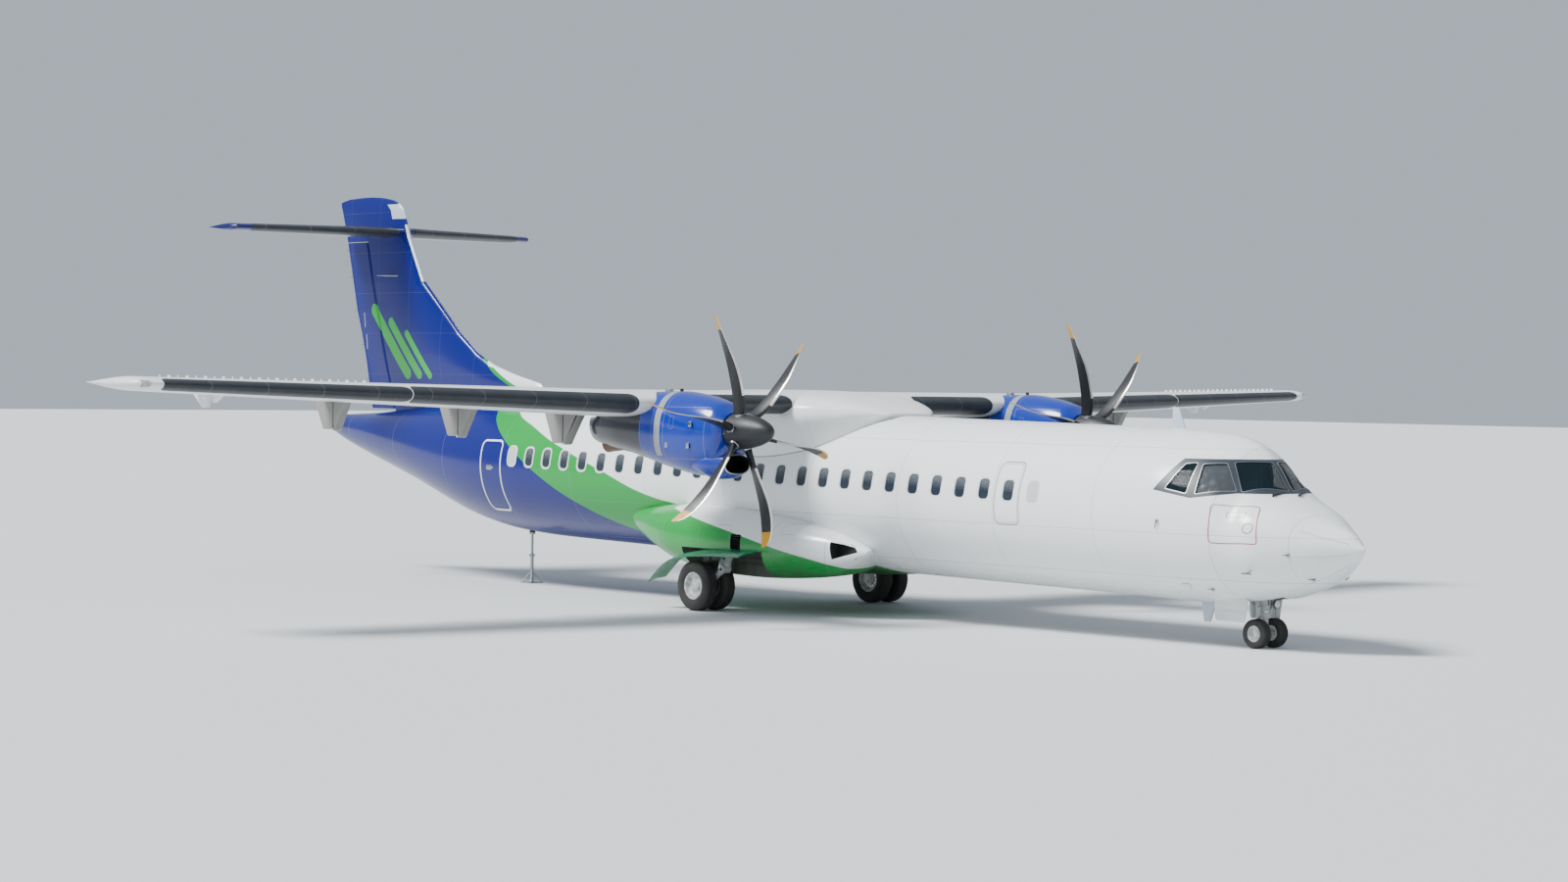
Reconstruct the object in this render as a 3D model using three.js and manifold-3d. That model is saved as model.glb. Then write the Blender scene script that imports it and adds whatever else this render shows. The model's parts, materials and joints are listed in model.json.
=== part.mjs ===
// A high-wing, twin-turboprop regional airliner parked on its gear, at full size in millimetres.
// The nose points along -Y, the port side is +X and the ground is Z = 0. The aircraft sits about one
// degree nose down, as it does on its springs, so its centreline rises a little towards the tail.

import * as THREE from 'three';
import { mergeVertices } from 'three/addons/utils/BufferGeometryUtils.js';
import Module from 'manifold-3d';

const wasm = await Module();
wasm.setup();

// Overall sizes
const LENGTH = 27166;
const HALF_SPAN = 13525;
const SEAT = 0.3; // gap between pieces that touch
const PLAY = 12; // gap round a piece that moves

// Fuselage joints, as stations aft of the nose tip
const RADOME_END = 820;
const FLIGHT_DECK_END = 3560;
const FRONT_END = 7400;
const CENTRE_END = 16900;
const REAR_END = 21900;

// Wing
const ROOT_X = 1550;
const PANEL_X = 4900; // where the constant-chord centre wing ends
const FLAP_END_X = 9700;
const AILERON_END_X = 13100;
const FLAP_CUT = 0.72; // share of the chord ahead of the flaps
const AILERON_CUT = 0.74;

// Powerplant
const PROP_X = 4050;
const PROP_STATION = 9424;
const PROP_Z = 3142;
const PROP_R = 1965;
const BLADES = 6;
const SPINNER_TIP = 8720;
const SPINNER_BASE = 9600;
const SPINNER_R = 290;

// Landing gear
const MAIN_STATION = 12660;
const MAIN_X = 2050;
const MAIN_TYRE_R = 430;
const MAIN_TYRE_W = 250;
const MAIN_TWIN = 400; // between the twin tyres' middles
const NOSE_STATION = 1890;
const NOSE_TYRE_R = 225;
const NOSE_TYRE_W = 190;
const NOSE_TWIN = 400;

// Tail
const TAILPLANE_Z = 6864;
const TAILPLANE_HALF = 3655;

// Colours of the finishes
const paint = (color, roughness = 0.35, metalness = 0) =>
  new THREE.MeshStandardMaterial({ color, roughness, metalness });
const WHITE = paint(0xf2f3f1);
const BLUE = paint(0x16308c);
const GREEN = paint(0x3f9a4b);
const GREY = paint(0xc9ccca, 0.5);
const DARK = paint(0x24262a, 0.6);
const RUBBER = paint(0x1b1b1c, 0.9);
const METAL = paint(0xb8bbbd, 0.3, 1);
const GLASS = paint(0x1d2226, 0.05);

const aircraft = new THREE.Group();

function place(name, shape, material) {
  const geometry = shape instanceof THREE.BufferGeometry ? shape : geometryOf(shape);
  const mesh = new THREE.Mesh(geometry, material);
  mesh.name = name;
  aircraft.add(mesh);
  return mesh;
}

// Point of the aircraft: across, station aft of the nose tip, height
const at = (x, station, z) => new THREE.Vector3(x, station - LENGTH / 2, z);

const solidFrom = (positions, triangles) => new wasm.Manifold(new wasm.Mesh({
  numProp: 3,
  vertProperties: new Float32Array(positions),
  triVerts: new Uint32Array(triangles),
}));

function solidOf(geometry) {
  const bare = geometry.clone();
  bare.deleteAttribute('normal');
  bare.deleteAttribute('uv');
  const merged = mergeVertices(bare, 1e-3);
  return solidFrom(merged.attributes.position.array, merged.index.array);
}

function geometryOf(solid) {
  const mesh = solid.getMesh();
  const geometry = new THREE.BufferGeometry();
  geometry.setAttribute('position', new THREE.BufferAttribute(mesh.vertProperties, 3));
  geometry.setIndex(new THREE.BufferAttribute(mesh.triVerts, 1));
  return geometry;
}

// Closed body through rings of equal point count, whose first and last points are neighbours. The
// ends are closed by strips between the points that face each other.
function loft(rings) {
  const count = rings[0].length;
  const positions = rings.flat().flatMap((p) => [p.x, p.y, p.z]);
  const index = [];
  for (let r = 0; r < rings.length - 1; r++) {
    for (let i = 0; i < count; i++) {
      const a = r * count + i;
      const b = r * count + ((i + 1) % count);
      index.push(a, b, b + count, a, b + count, a + count);
    }
  }
  const last = (rings.length - 1) * count;
  for (let i = 0, j = count - 1; i + 1 < j; i++, j--) {
    index.push(i, j, i + 1, last + i, last + i + 1, last + j);
    if (i + 1 < j - 1) index.push(i + 1, j, j - 1, last + i + 1, last + j - 1, last + j);
  }
  const geometry = new THREE.BufferGeometry();
  geometry.setAttribute('position', new THREE.Float32BufferAttribute(positions, 3));
  geometry.setIndex(index);
  return solidOf(facingOut(geometry));
}

function facingOut(geometry) {
  const p = geometry.attributes.position;
  const index = geometry.index.array;
  const [a, b, c] = [new THREE.Vector3(), new THREE.Vector3(), new THREE.Vector3()];
  let volume = 0;
  for (let t = 0; t < index.length; t += 3) {
    a.fromBufferAttribute(p, index[t]);
    b.fromBufferAttribute(p, index[t + 1]);
    c.fromBufferAttribute(p, index[t + 2]);
    volume += a.dot(b.cross(c));
  }
  if (volume < 0) {
    for (let t = 0; t < index.length; t += 3) [index[t], index[t + 1]] = [index[t + 1], index[t]];
  }
  return geometry;
}

// Copy of a solid moved by a matrix
function moved(solid, matrix) {
  const geometry = facingOut(geometryOf(solid).applyMatrix4(matrix));
  return solidFrom(geometry.attributes.position.array, geometry.index.array);
}

// Copy on the other side of the aircraft
const mirrored = (solid) => moved(solid, new THREE.Matrix4().makeScale(-1, 1, 1));

// Both sides of a piece that is modelled on the port side
function placeBoth(name, solid, material, starboardMaterial = material) {
  place(`${name}_port`, solid, material);
  place(`${name}_starboard`, mirrored(solid), starboardMaterial);
}

// Block between two corners, each given as across, station and height
function block([x0, s0, z0], [x1, s1, z1]) {
  const box = new THREE.BoxGeometry(Math.abs(x1 - x0), Math.abs(s1 - s0), Math.abs(z1 - z0));
  const middle = at((x0 + x1) / 2, (s0 + s1) / 2, (z0 + z1) / 2);
  return solidOf(box.translate(middle.x, middle.y, middle.z));
}

// Round bar between two points, its radius changing from the first to the second
function bar(from, to, radius, endRadius = radius, sides = 12) {
  const [a, b] = [at(...from), at(...to)];
  const along = b.clone().sub(a);
  const shape = new THREE.CylinderGeometry(endRadius, radius, along.length(), sides);
  shape.applyQuaternion(
    new THREE.Quaternion().setFromUnitVectors(new THREE.Vector3(0, 1, 0), along.clone().normalize()));
  const middle = a.add(b).multiplyScalar(0.5);
  return solidOf(shape.translate(middle.x, middle.y, middle.z));
}

// Solid of revolution about an axis along X, from its profile of [distance along X, radius]
function turnedAcross(profile, middle, sides) {
  const points = profile.map(([along, radius]) => new THREE.Vector2(radius, along));
  const shape = new THREE.LatheGeometry(points, sides);
  shape.rotateZ(-Math.PI / 2);
  shape.translate(middle.x, middle.y, middle.z);
  return solidOf(facingOut(mergeVertices(bareGeometry(shape), 1e-3)));
}

// The same about an axis along Y, from [distance aft, radius]
function turnedAlong(profile, middle, sides) {
  const points = profile.map(([along, radius]) => new THREE.Vector2(radius, along));
  const shape = new THREE.LatheGeometry(points, sides);
  shape.translate(middle.x, middle.y, middle.z);
  return solidOf(facingOut(mergeVertices(bareGeometry(shape), 1e-3)));
}

function bareGeometry(geometry) {
  geometry.deleteAttribute('normal');
  geometry.deleteAttribute('uv');
  return geometry;
}

// Plate of a side-view outline of [station, height], between two distances across
function sidePlate(outline, x0, x1) {
  const shape = new THREE.Shape(outline.map(([s, z]) => new THREE.Vector2(s - LENGTH / 2, z)));
  const plate = new THREE.ExtrudeGeometry(shape, { depth: x1 - x0, bevelEnabled: false });
  plate.rotateY(Math.PI / 2).rotateX(Math.PI / 2);
  plate.translate(x0, 0, 0);
  return solidOf(plate);
}

// Value of a table's column at a station, along a smooth curve that never overshoots its points
function smoothColumn(table, column, s) {
  const last = table.length - 1;
  if (s <= table[0][0]) return table[0][column];
  if (s >= table[last][0]) return table[last][column];
  const slope = (i) => (table[i + 1][column] - table[i][column]) / (table[i + 1][0] - table[i][0]);
  const tangent = (i) => {
    if (i === 0) return slope(0);
    if (i === last) return slope(last - 1);
    const [before, after] = [slope(i - 1), slope(i)];
    return before * after <= 0 ? 0 : (2 * before * after) / (before + after);
  };
  const i = table.findIndex((row) => row[0] > s) - 1;
  const h = table[i + 1][0] - table[i][0];
  const t = (s - table[i][0]) / h;
  return (2 * t ** 3 - 3 * t ** 2 + 1) * table[i][column] + (t ** 3 - 2 * t ** 2 + t) * h * tangent(i)
    + (3 * t ** 2 - 2 * t ** 3) * table[i + 1][column] + (t ** 3 - t ** 2) * h * tangent(i + 1);
}

// Power curve that gives sections between an ellipse (2) and a box
const squared = (v, fullness) => Math.sign(v) * Math.abs(v) ** (2 / fullness);

// Fuselage sections: station, half width, top, widest height, bottom, fullness of the upper half
const BODY = [
  [0, 20, 1600, 1575, 1550, 2],
  [60, 85, 1645, 1568, 1465, 2],
  [250, 275, 1796, 1566, 1285, 1.9],
  [600, 615, 1954, 1602, 1042, 2],
  [1000, 890, 2154, 1675, 881, 2.4],
  [1400, 1080, 2377, 1730, 765, 2.05],
  [1750, 1140, 2826, 1785, 709, 1.45],
  [2100, 1245, 3100, 1840, 685, 1.65],
  [2600, 1340, 3241, 1900, 645, 1.9],
  [3300, 1405, 3300, 1960, 636, 2],
  [4200, 1432, 3318, 1994, 659, 2],
  [9770, 1432, 3400, 2070, 745, 2],
  [16800, 1432, 3530, 2220, 905, 2],
  [19100, 1385, 3560, 2270, 955, 2],
  [20300, 1305, 3560, 2310, 1025, 2],
  [21000, 1235, 3540, 2345, 1120, 2],
  [21700, 1145, 3500, 2400, 1260, 2],
  [22450, 1030, 3450, 2480, 1470, 2],
  [23400, 875, 3380, 2600, 1765, 2],
  [24400, 690, 3290, 2720, 2035, 2],
  [25400, 500, 3205, 2830, 2290, 2],
  [26480, 270, 3155, 2900, 2590, 2],
  [26860, 185, 3140, 2930, 2720, 2],
  [LENGTH, 60, 2925, 2865, 2825, 2],
];
const BODY_SIDES = 28;

function bodySection(s, grow = 0) {
  const [half, top, widest, bottom, fullness] = [1, 2, 3, 4, 5].map((c) => smoothColumn(BODY, c, s));
  return { half: half + grow, top: top + grow, widest, bottom: bottom - grow, fullness };
}

function bodyRing(s, grow) {
  const c = bodySection(s, grow);
  return Array.from({ length: BODY_SIDES }, (_, i) => {
    const angle = ((i + 0.5) * 2 * Math.PI) / BODY_SIDES;
    const up = Math.cos(angle);
    const reach = up > 0 ? c.top - c.widest : c.widest - c.bottom;
    const fullness = up > 0 ? c.fullness : 2;
    return at(c.half * squared(Math.sin(angle), fullness), s, c.widest + reach * squared(up, fullness));
  });
}

// Stations of the rings that every stretch shares, so that pieces cut by a grown stretch keep their gap
const TABLE_STATIONS = BODY.map((row) => row[0]);
const RING_STATIONS = [
  ...TABLE_STATIONS,
  ...TABLE_STATIONS.slice(1).map((s, i) => (s + TABLE_STATIONS[i]) / 2).filter((s) => s < 2200),
  RADOME_END, FLIGHT_DECK_END, FRONT_END, CENTRE_END, REAR_END,
].sort((p, q) => p - q);

// Stretch of the fuselage between two stations, grown or shrunk by a wall
function bodyStretch(from, to, grow = 0) {
  const inside = RING_STATIONS.filter((s) => s > from + 5 && s < to - 5);
  return loft([from, ...inside, to].map((s) => bodyRing(s, grow)));
}

// Half width of the fuselage skin at a station and height
function skinX(s, z, grow = 0) {
  const c = bodySection(s, grow);
  const rise = z > c.widest ? (z - c.widest) / (c.top - c.widest) : (c.widest - z) / (c.widest - c.bottom);
  const fullness = z > c.widest ? c.fullness : 2;
  return c.half * (1 - Math.min(1, rise) ** fullness) ** (1 / fullness);
}

// Doors: name, side (+1 port), stations fore and aft, sill and head heights, door thickness
const DOOR_WALL = 70;
const DOORS = {
  passenger_door: [1, 19560, 20310, 1400, 3090],
  service_door: [-1, 19590, 20200, 1490, 2710],
  cargo_door: [1, 3900, 5175, 1400, 2930],
};
const doorCut = ([side, fore, aft, sill, head], margin = 0) =>
  block([side * 600, fore - margin, sill - margin], [side * 1700, aft + margin, head + margin]);
const doorPanel = (door, wall = DOOR_WALL) => {
  const [, fore, aft] = door;
  const shell = bodyStretch(fore - 300, aft + 300).subtract(bodyStretch(fore - 310, aft + 310, -wall));
  return shell.intersect(doorCut(door));
};

// Hinge rod along a door's lower or upper edge, on the skin line, in the gap between door and frame.
// Its ends turn in open bores in the frame.
const ROD_R = PLAY / 2;
const ROD_INSET = 9; // the rod's axis lies this far inside the smooth skin
const ROD_REACH = 60; // how far it runs past the door
function hingeRod([side, fore, aft], edge, radius = ROD_R, reach = ROD_REACH) {
  const z = edge + Math.sign(edge - 2200) * (ROD_R - SEAT);
  const slope = (skinX(aft, z) - skinX(fore, z)) / (aft - fore);
  const end = (s) => [side * (skinX(fore, z) - ROD_INSET + slope * (s - fore)), s, z];
  return bar(end(fore - reach), end(aft + reach), radius, radius, 10);
}
const SWING_ROOM = 12; // more room behind the passenger door, as its hinge line runs inwards aft
const rodBore = (door, edge) => hingeRod(door, edge, ROD_R + 0.6, ROD_REACH + 1);

// Spaces inside the fuselage
const FLOOR_Z = 1395;
const SPACE_WALL = 75;
const space = (from, to, floor) => bodyStretch(from, to, -SPACE_WALL)
  .intersect(block([-1500, from - 50, floor], [1500, to + 50, 4000]));
const vestibule = space(19250, 20560, FLOOR_Z - 5);
const cargoBay = space(FLIGHT_DECK_END + 160, 5420, FLOOR_Z - 5);
const flightDeck = space(1120, 3380, 1480);

// Nose gear bay
const BAY_HALF = 270;
const noseBay = block([-BAY_HALF, 1330, 300], [BAY_HALF, 2560, 1180]);

// Cockpit glazing: one band of panes and posts that wraps round the flight deck, in the side view
const GLAZING_WALL = 60;
const GLAZING = [[1150, 2365], [1800, 2365], [2380, 2285], [3050, 2392], [2745, 2872], [1150, 2872]];
const glazingPrism = (grow) => sidePlate(GLAZING.map(([s, z]) => [
  s + (s > 2500 ? grow : s < 1200 ? -grow : 0), z + (z > 2500 ? grow : -grow)]), -1600, 1600);
const glazing = bodyStretch(1300, 3200)
  .subtract(bodyStretch(1200, 3300, -GLAZING_WALL))
  .intersect(glazingPrism(0));

const nose = bodyStretch(RADOME_END + SEAT, FLIGHT_DECK_END)
  .subtract(flightDeck)
  .subtract(noseBay)
  .subtract(glazingPrism(SEAT * 4));
place('radome', bodyStretch(0, RADOME_END), WHITE);
place('fuselage_nose', nose, WHITE);
place('fuselage_front', bodyStretch(FLIGHT_DECK_END + SEAT, FRONT_END)
  .subtract(cargoBay)
  .subtract(doorCut(DOORS.cargo_door, PLAY))
  .subtract(rodBore(DOORS.cargo_door, 2930)), WHITE);
place('fuselage_rear', bodyStretch(CENTRE_END + SEAT, REAR_END)
  .subtract(vestibule)
  .subtract(doorCut(DOORS.passenger_door, PLAY))
  .subtract(doorCut([1, 19560, 20310 + SWING_ROOM, 1400, 3090], PLAY))
  .subtract(rodBore(DOORS.passenger_door, 1400))
  .subtract(doorCut(DOORS.service_door, SEAT)), GREEN);
place('tail_cone', bodyStretch(REAR_END + SEAT, LENGTH), BLUE);
place('passenger_door', doorPanel(DOORS.passenger_door).add(hingeRod(DOORS.passenger_door, 1400)), GREEN);
place('service_door', doorPanel(DOORS.service_door), GREEN);
place('cargo_door', doorPanel(DOORS.cargo_door).add(hingeRod(DOORS.cargo_door, 2930)), WHITE);

place('cockpit_glazing', glazing, GLASS);

// Flight deck: a floor with the instrument panel, coaming and pedestal, and two seats on their rails
const DECK_FLOOR = 1480 + SEAT;
const panel = block([-900, 1480, DECK_FLOOR + 120], [900, 1600, 2230])
  .add(block([-940, 1400, 2200], [940, 1760, 2290]))
  .add(block([-150, 1560, DECK_FLOOR], [150, 2150, 2010]))
  .intersect(bodyStretch(1120, 3380, -SPACE_WALL - SEAT * 1.5));
place('instrument_panel', panel, DARK);
const seatAt = (x) => block([x - 230, 2230, 1830], [x + 230, 2720, 1930])
  .add(block([x - 225, 2640, 1880], [x + 225, 2740, 2520]))
  .add(block([x - 110, 2400, DECK_FLOOR], [x + 110, 2640, 1860]));
const seatRails = block([-620, 2380, DECK_FLOOR], [620, 2660, DECK_FLOOR + 25]);
place('pilot_seats', seatAt(-520).add(seatAt(520)).add(seatRails), GREY);

// Wing sections: across, leading edge, trailing edge, height, thickness, share of chord to the rear face
const WING = [
  [0, 11170, 13770, 3565, 450, FLAP_CUT],
  [PANEL_X, 11170, 13770, 3565, 450, FLAP_CUT],
  [FLAP_END_X, 11802, 13810, 3698, 320, AILERON_CUT],
  [AILERON_END_X, 12244, 13838, 3791, 228, AILERON_CUT],
  [AILERON_END_X + 1, 12244, 13838, 3791, 228, 1],
  [13400, 12290, 13840, 3800, 220, 1],
  [13480, 12420, 13810, 3805, 150, 1],
  [HALF_SPAN, 12650, 13740, 3808, 70, 1],
];
const TRAILING_EDGE = 8;

function wingSection(x) {
  const i = Math.max(1, WING.findIndex((row) => row[0] >= x));
  const t = (x - WING[i - 1][0]) / (WING[i][0] - WING[i - 1][0]);
  const [, lead, trail, z, thick, cut] = WING[i].map((v, c) => THREE.MathUtils.lerp(WING[i - 1][c], v, t));
  return { lead, chord: trail - lead, z, thick, cut };
}

// Half thickness of the aerofoil at a share of its chord, for a full thickness of 1
const aerofoil = (u) => 5
  * (0.2969 * Math.sqrt(u) - 0.126 * u - 0.3516 * u ** 2 + 0.2843 * u ** 3 - 0.1036 * u ** 4);
const halfThick = (u, thick) => Math.max(TRAILING_EDGE / 2, aerofoil(u) * thick);

const NOSE_SHARES = [0, 0.012, 0.05, 0.13, 0.27, 0.45];

// Ring of the fixed wing: upper rear edge, round the leading edge, lower rear edge
function wingRing(x, { lead, chord, z, thick, cut }, grow = 0) {
  const shares = [cut, ...NOSE_SHARES.slice(1).reverse(), ...NOSE_SHARES, cut];
  return shares.map((u, i) => {
    const up = i <= NOSE_SHARES.length - 1 ? 1 : i === NOSE_SHARES.length ? 0 : -1;
    const rear = u === cut ? grow : 0;
    return at(x, lead + u * chord + rear - (u === 0 ? grow : 0), z + up * (halfThick(u, thick) + grow));
  });
}

// Ring of a moving surface from its round nose to the trailing edge
const FLAP_SHARES = [0.08, 0.3, 0.7, 1];
function flapRing(x, { lead, chord, z, thick }, from) {
  const start = lead + from;
  const length = lead + chord - start;
  const shares = [...FLAP_SHARES.slice().reverse(), 0, ...FLAP_SHARES];
  return shares.map((v, i) => {
    const up = i < FLAP_SHARES.length ? 1 : i === FLAP_SHARES.length ? 0 : -1;
    const u = (start + v * length - lead) / chord;
    const full = halfThick(Math.min(1, u), thick);
    const round = v < 0.1 ? 0.72 : 1;
    return at(x, start + v * length, z + up * full * round);
  });
}

const wingStretch = (xs, grow = 0) => loft(xs.map((x) => wingRing(x, wingSection(x), grow)));
const FLAP_GAP = 20; // from the fixed wing's rear face to the flap's nose
const flapStretch = (x0, x1) => loft([x0, x1].map((x) => {
  const section = wingSection(x);
  return flapRing(x, section, section.cut * section.chord + FLAP_GAP);
}));

// Flap hinge fairings: across, pivot station, pivot height, width, length ahead of the pivot, and the
// hinge line's run aft and up for each millimetre outboard. The rear half swings with the flap.
const FAIRINGS = [
  [4520, 13450, 2860, 170, 470, 0, 0],
  [6690, 13480, 2985, 150, 430, 0.01646, 0.04527],
  [9120, 13520, 3095, 140, 375, 0.01646, 0.04527],
];
const FAIRING_TAIL = 570; // from the pivot aft to the fairing's tip behind the flap
const FAIRING_FLAT = 280; // length of its low edge aft of the pivot
const PIN_R = 18;
const PIN_SIDES = 16;
const PIN_BORE = 0.7; // how much wider a pin's bore is, so that its flats turn past the pin's
const CHEEK_R = 35;
const TONGUE_HALF = 26;
function fairingHalves([x, pivot, low, width, nose, aft, up]) {
  const section = wingSection(x);
  const under = section.z - halfThick(section.cut, section.thick) + 20;
  const cut = section.lead + section.cut * section.chord;
  const across = (radius, half) => bar([x - half, pivot - aft * half, low - up * half],
    [x + half, pivot + aft * half, low + up * half], radius, radius, PIN_SIDES);
  const front = sidePlate([[pivot - nose, under], [cut - SEAT, under], [cut - SEAT, under - 60],
    [pivot - PLAY, under - 60], [pivot - PLAY, low + 90], [pivot, low], [pivot - 30, low - CHEEK_R + 5],
    [pivot - 70, low - 5]],
  x - width / 2, x + width / 2)
    .add(across(CHEEK_R, width / 2))
    .subtract(across(CHEEK_R + PLAY, TONGUE_HALF + 6))
    .add(across(PIN_R, width / 2));
  const rear = sidePlate([[pivot + PLAY, low], [pivot + PLAY, section.z - 40],
    [pivot + FAIRING_TAIL, section.z - 5], [pivot + FAIRING_TAIL, section.z - 50],
    [pivot + FAIRING_FLAT, low]], x - width / 2, x + width / 2)
    .subtract(across(CHEEK_R + PLAY, width))
    .add(sidePlate([[pivot, low - 24], [pivot, low + 24], [pivot + 70, low + 90], [pivot + 110, low + 75]],
      x - TONGUE_HALF, x + TONGUE_HALF))
    .add(across(CHEEK_R - 5, TONGUE_HALF))
    .subtract(across(PIN_R + PIN_BORE, width));
  return [front, rear];
}
const [inner, middle, outer] = FAIRINGS.map(fairingHalves);

place('wing_centre', wingStretch([0, PANEL_X - SEAT]).add(inner[0])
  .add(mirrored(wingStretch([0, PANEL_X - SEAT]).add(inner[0]))), WHITE);
const AILERON_PIN = 10;
const HINGE_AFT = FLAP_GAP + 55; // from the wing's rear face to the aileron's hinge line
function aileronHinge(x) {
  const section = wingSection(x);
  return [x, section.lead + section.cut * section.chord + HINGE_AFT, section.z];
}
const pinX = AILERON_END_X + 40;
const aileronPin = (from, radius) => bar(aileronHinge(Math.min(from, AILERON_END_X)), [
  pinX, ...aileronHinge(AILERON_END_X).slice(1)], radius, radius, 10);
// Small fairing under the aileron's middle hinge, in two halves that swing clear of each other
const AILERON_FAIRING_X = 11500;
const AILERON_FAIRING_HALF = 45;
const AILERON_FAIRING_LOW = 3430;
const underAileron = (outline) => sidePlate(
  outline, AILERON_FAIRING_X - AILERON_FAIRING_HALF, AILERON_FAIRING_X + AILERON_FAIRING_HALF);
const fairingFront = underAileron([[13010, 3690], [13335, 3690], [13335, 3510]]);
const fairingRear = underAileron([[13440, 3720], [13990, 3745], [13990, 3715],
  [13640, AILERON_FAIRING_LOW], [13540, AILERON_FAIRING_LOW]]);
placeBoth('wing_outer', wingStretch([PANEL_X + SEAT, ...WING.slice(2).map((row) => row[0])])
  .add(middle[0]).add(outer[0]).add(fairingFront)
  .add(aileronPin(AILERON_END_X - 70, AILERON_PIN)), WHITE);
placeBoth('flap_inboard', flapStretch(ROOT_X + 30, PANEL_X - PLAY).add(inner[1]), GREY);
placeBoth('flap_outboard', flapStretch(PANEL_X + PLAY, FLAP_END_X - PLAY)
  .add(middle[1])
  .add(outer[1]), GREY);
placeBoth('aileron', flapStretch(FLAP_END_X + PLAY, AILERON_END_X - PLAY)
  .add(fairingRear)
  .subtract(aileronPin(AILERON_END_X - 90, AILERON_PIN + 1)), WHITE);

// Wing-to-body fairing: station, top, shoulder half width, lower edge height
const HUMP = [
  [9800, 3440, 500, 3385],
  [10150, 3560, 900, 3180],
  [10500, 3650, 1180, 2990],
  [11100, 3755, 1500, 2780],
  [12200, 3812, 1560, 2650],
  [14000, 3800, 1560, 2650],
  [15300, 3700, 1450, 2740],
  [16200, 3610, 1180, 2950],
  [16800, 3560, 700, 3330],
];
const HUMP_EDGE = 16; // how far the lower edge stands off the skin
function humpRing([s, top, shoulder, edge]) {
  const drop = top - edge;
  const skin = skinX(s, edge);
  const side = [[0.5 * shoulder, top - 0.02 * drop], [0.82 * shoulder, top - 0.09 * drop],
    [0.97 * shoulder, top - 0.24 * drop], [shoulder, top - 0.42 * drop],
    [THREE.MathUtils.lerp(shoulder, skin, 0.55), top - 0.72 * drop], [skin + HUMP_EDGE, edge]];
  return [...side.map(([x, z]) => at(x, s, z)), ...side.reverse().map(([x, z]) => at(-x, s, z))];
}
const bodyCut = (from, to) => bodyStretch(from, to, SEAT);
const wingCut = wingStretch([0, PANEL_X], SEAT);
place('fuselage_centre', bodyStretch(FRONT_END + SEAT, CENTRE_END)
  .subtract(wingCut)
  .subtract(mirrored(wingCut)), WHITE);
place('wing_fairing', loft(HUMP.map(humpRing))
  .subtract(bodyCut(9500, 17200))
  .subtract(wingCut)
  .subtract(mirrored(wingCut))
  .subtract(block([-3000, 12900, 3200], [-ROOT_X + 20, 15000, 4000]))
  .subtract(block([ROOT_X - 20, 12900, 3200], [3000, 15000, 4000])), WHITE);

// Nacelle sections: station, half width, top, widest height, bottom
const NACELLE = [
  [SPINNER_BASE + 15, 300, 3445, 3142, 2830],
  [9680, 385, 3490, 3100, 2580],
  [9830, 455, 3600, 3060, 2440],
  [10330, 530, 3720, 3050, 2405],
  [10870, 545, 3775, 3060, 2480],
  [11990, 540, 3735, 3120, 2720],
  [12600, 470, 3560, 3160, 2800],
  [12950, 360, 3350, 3170, 2870],
  [13270, 110, 3310, 3285, 3255],
];
const NACELLE_SIDES = 16;
const nacelleRing = ([s, half, top, widest, bottom]) => Array.from({ length: NACELLE_SIDES }, (_, i) => {
  const angle = ((i + 0.5) * 2 * Math.PI) / NACELLE_SIDES;
  const up = Math.cos(angle);
  const reach = up > 0 ? top - widest : widest - bottom;
  return at(PROP_X + half * squared(Math.sin(angle), 2.3), s, widest + reach * squared(up, 2.3));
});

// Engine: one block, with its reduction gearbox and the shaft that carries the propeller
const ENGINE_HALF = 330;
const SHAFT_R = 60;
const SHAFT_END = 9500;
const engineParts = (grow) => block([PROP_X - ENGINE_HALF - grow, 9860 - grow, 2590 - grow],
  [PROP_X + ENGINE_HALF + grow, 11990 + grow, 3290 + grow])
  .add(bar([PROP_X, 9700 - grow, PROP_Z], [PROP_X, 9900, PROP_Z], 230 + grow, 230 + grow, 12));
const engine = engineParts(0).add(bar([PROP_X, SHAFT_END, PROP_Z], [PROP_X, 9760, PROP_Z], SHAFT_R));
placeBoth('engine', engine, METAL);

// Chin intake under the spinner, open into the space round the shaft
const intake = block([PROP_X - 190, 9300, 2490], [PROP_X + 190, 9800, 2690])
  .add(bar([PROP_X, 9500, PROP_Z], [PROP_X, 9720, PROP_Z], SHAFT_R + PLAY + 30));
// Exhaust pipe under the rear of the nacelle, with the trough behind it that lets the gas out
const EXHAUST_FROM = 12010;
const EXHAUST_TO = 12720;
const TROUGH_TO = 13400;
const BORE_FROM = 12430;
const EXHAUST_R = 150;
const EXHAUST_WALL = 22;
const exhaustAxis = (s) => [PROP_X + 80 + (s - EXHAUST_FROM) / 18, s, 2955 - (s - EXHAUST_FROM) / 9.5];
const exhaustBar = (from, to, radius) => bar(exhaustAxis(from), exhaustAxis(to), radius);
placeBoth('nacelle', loft(NACELLE.map(nacelleRing))
  .subtract(wingCut)
  .subtract(engineParts(SEAT))
  .subtract(intake)
  .subtract(exhaustBar(EXHAUST_FROM - SEAT, TROUGH_TO, EXHAUST_R + SEAT)), BLUE);
placeBoth('exhaust', exhaustBar(EXHAUST_FROM, EXHAUST_TO, EXHAUST_R)
  .subtract(exhaustBar(BORE_FROM, TROUGH_TO, EXHAUST_R - EXHAUST_WALL)), METAL);

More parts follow.
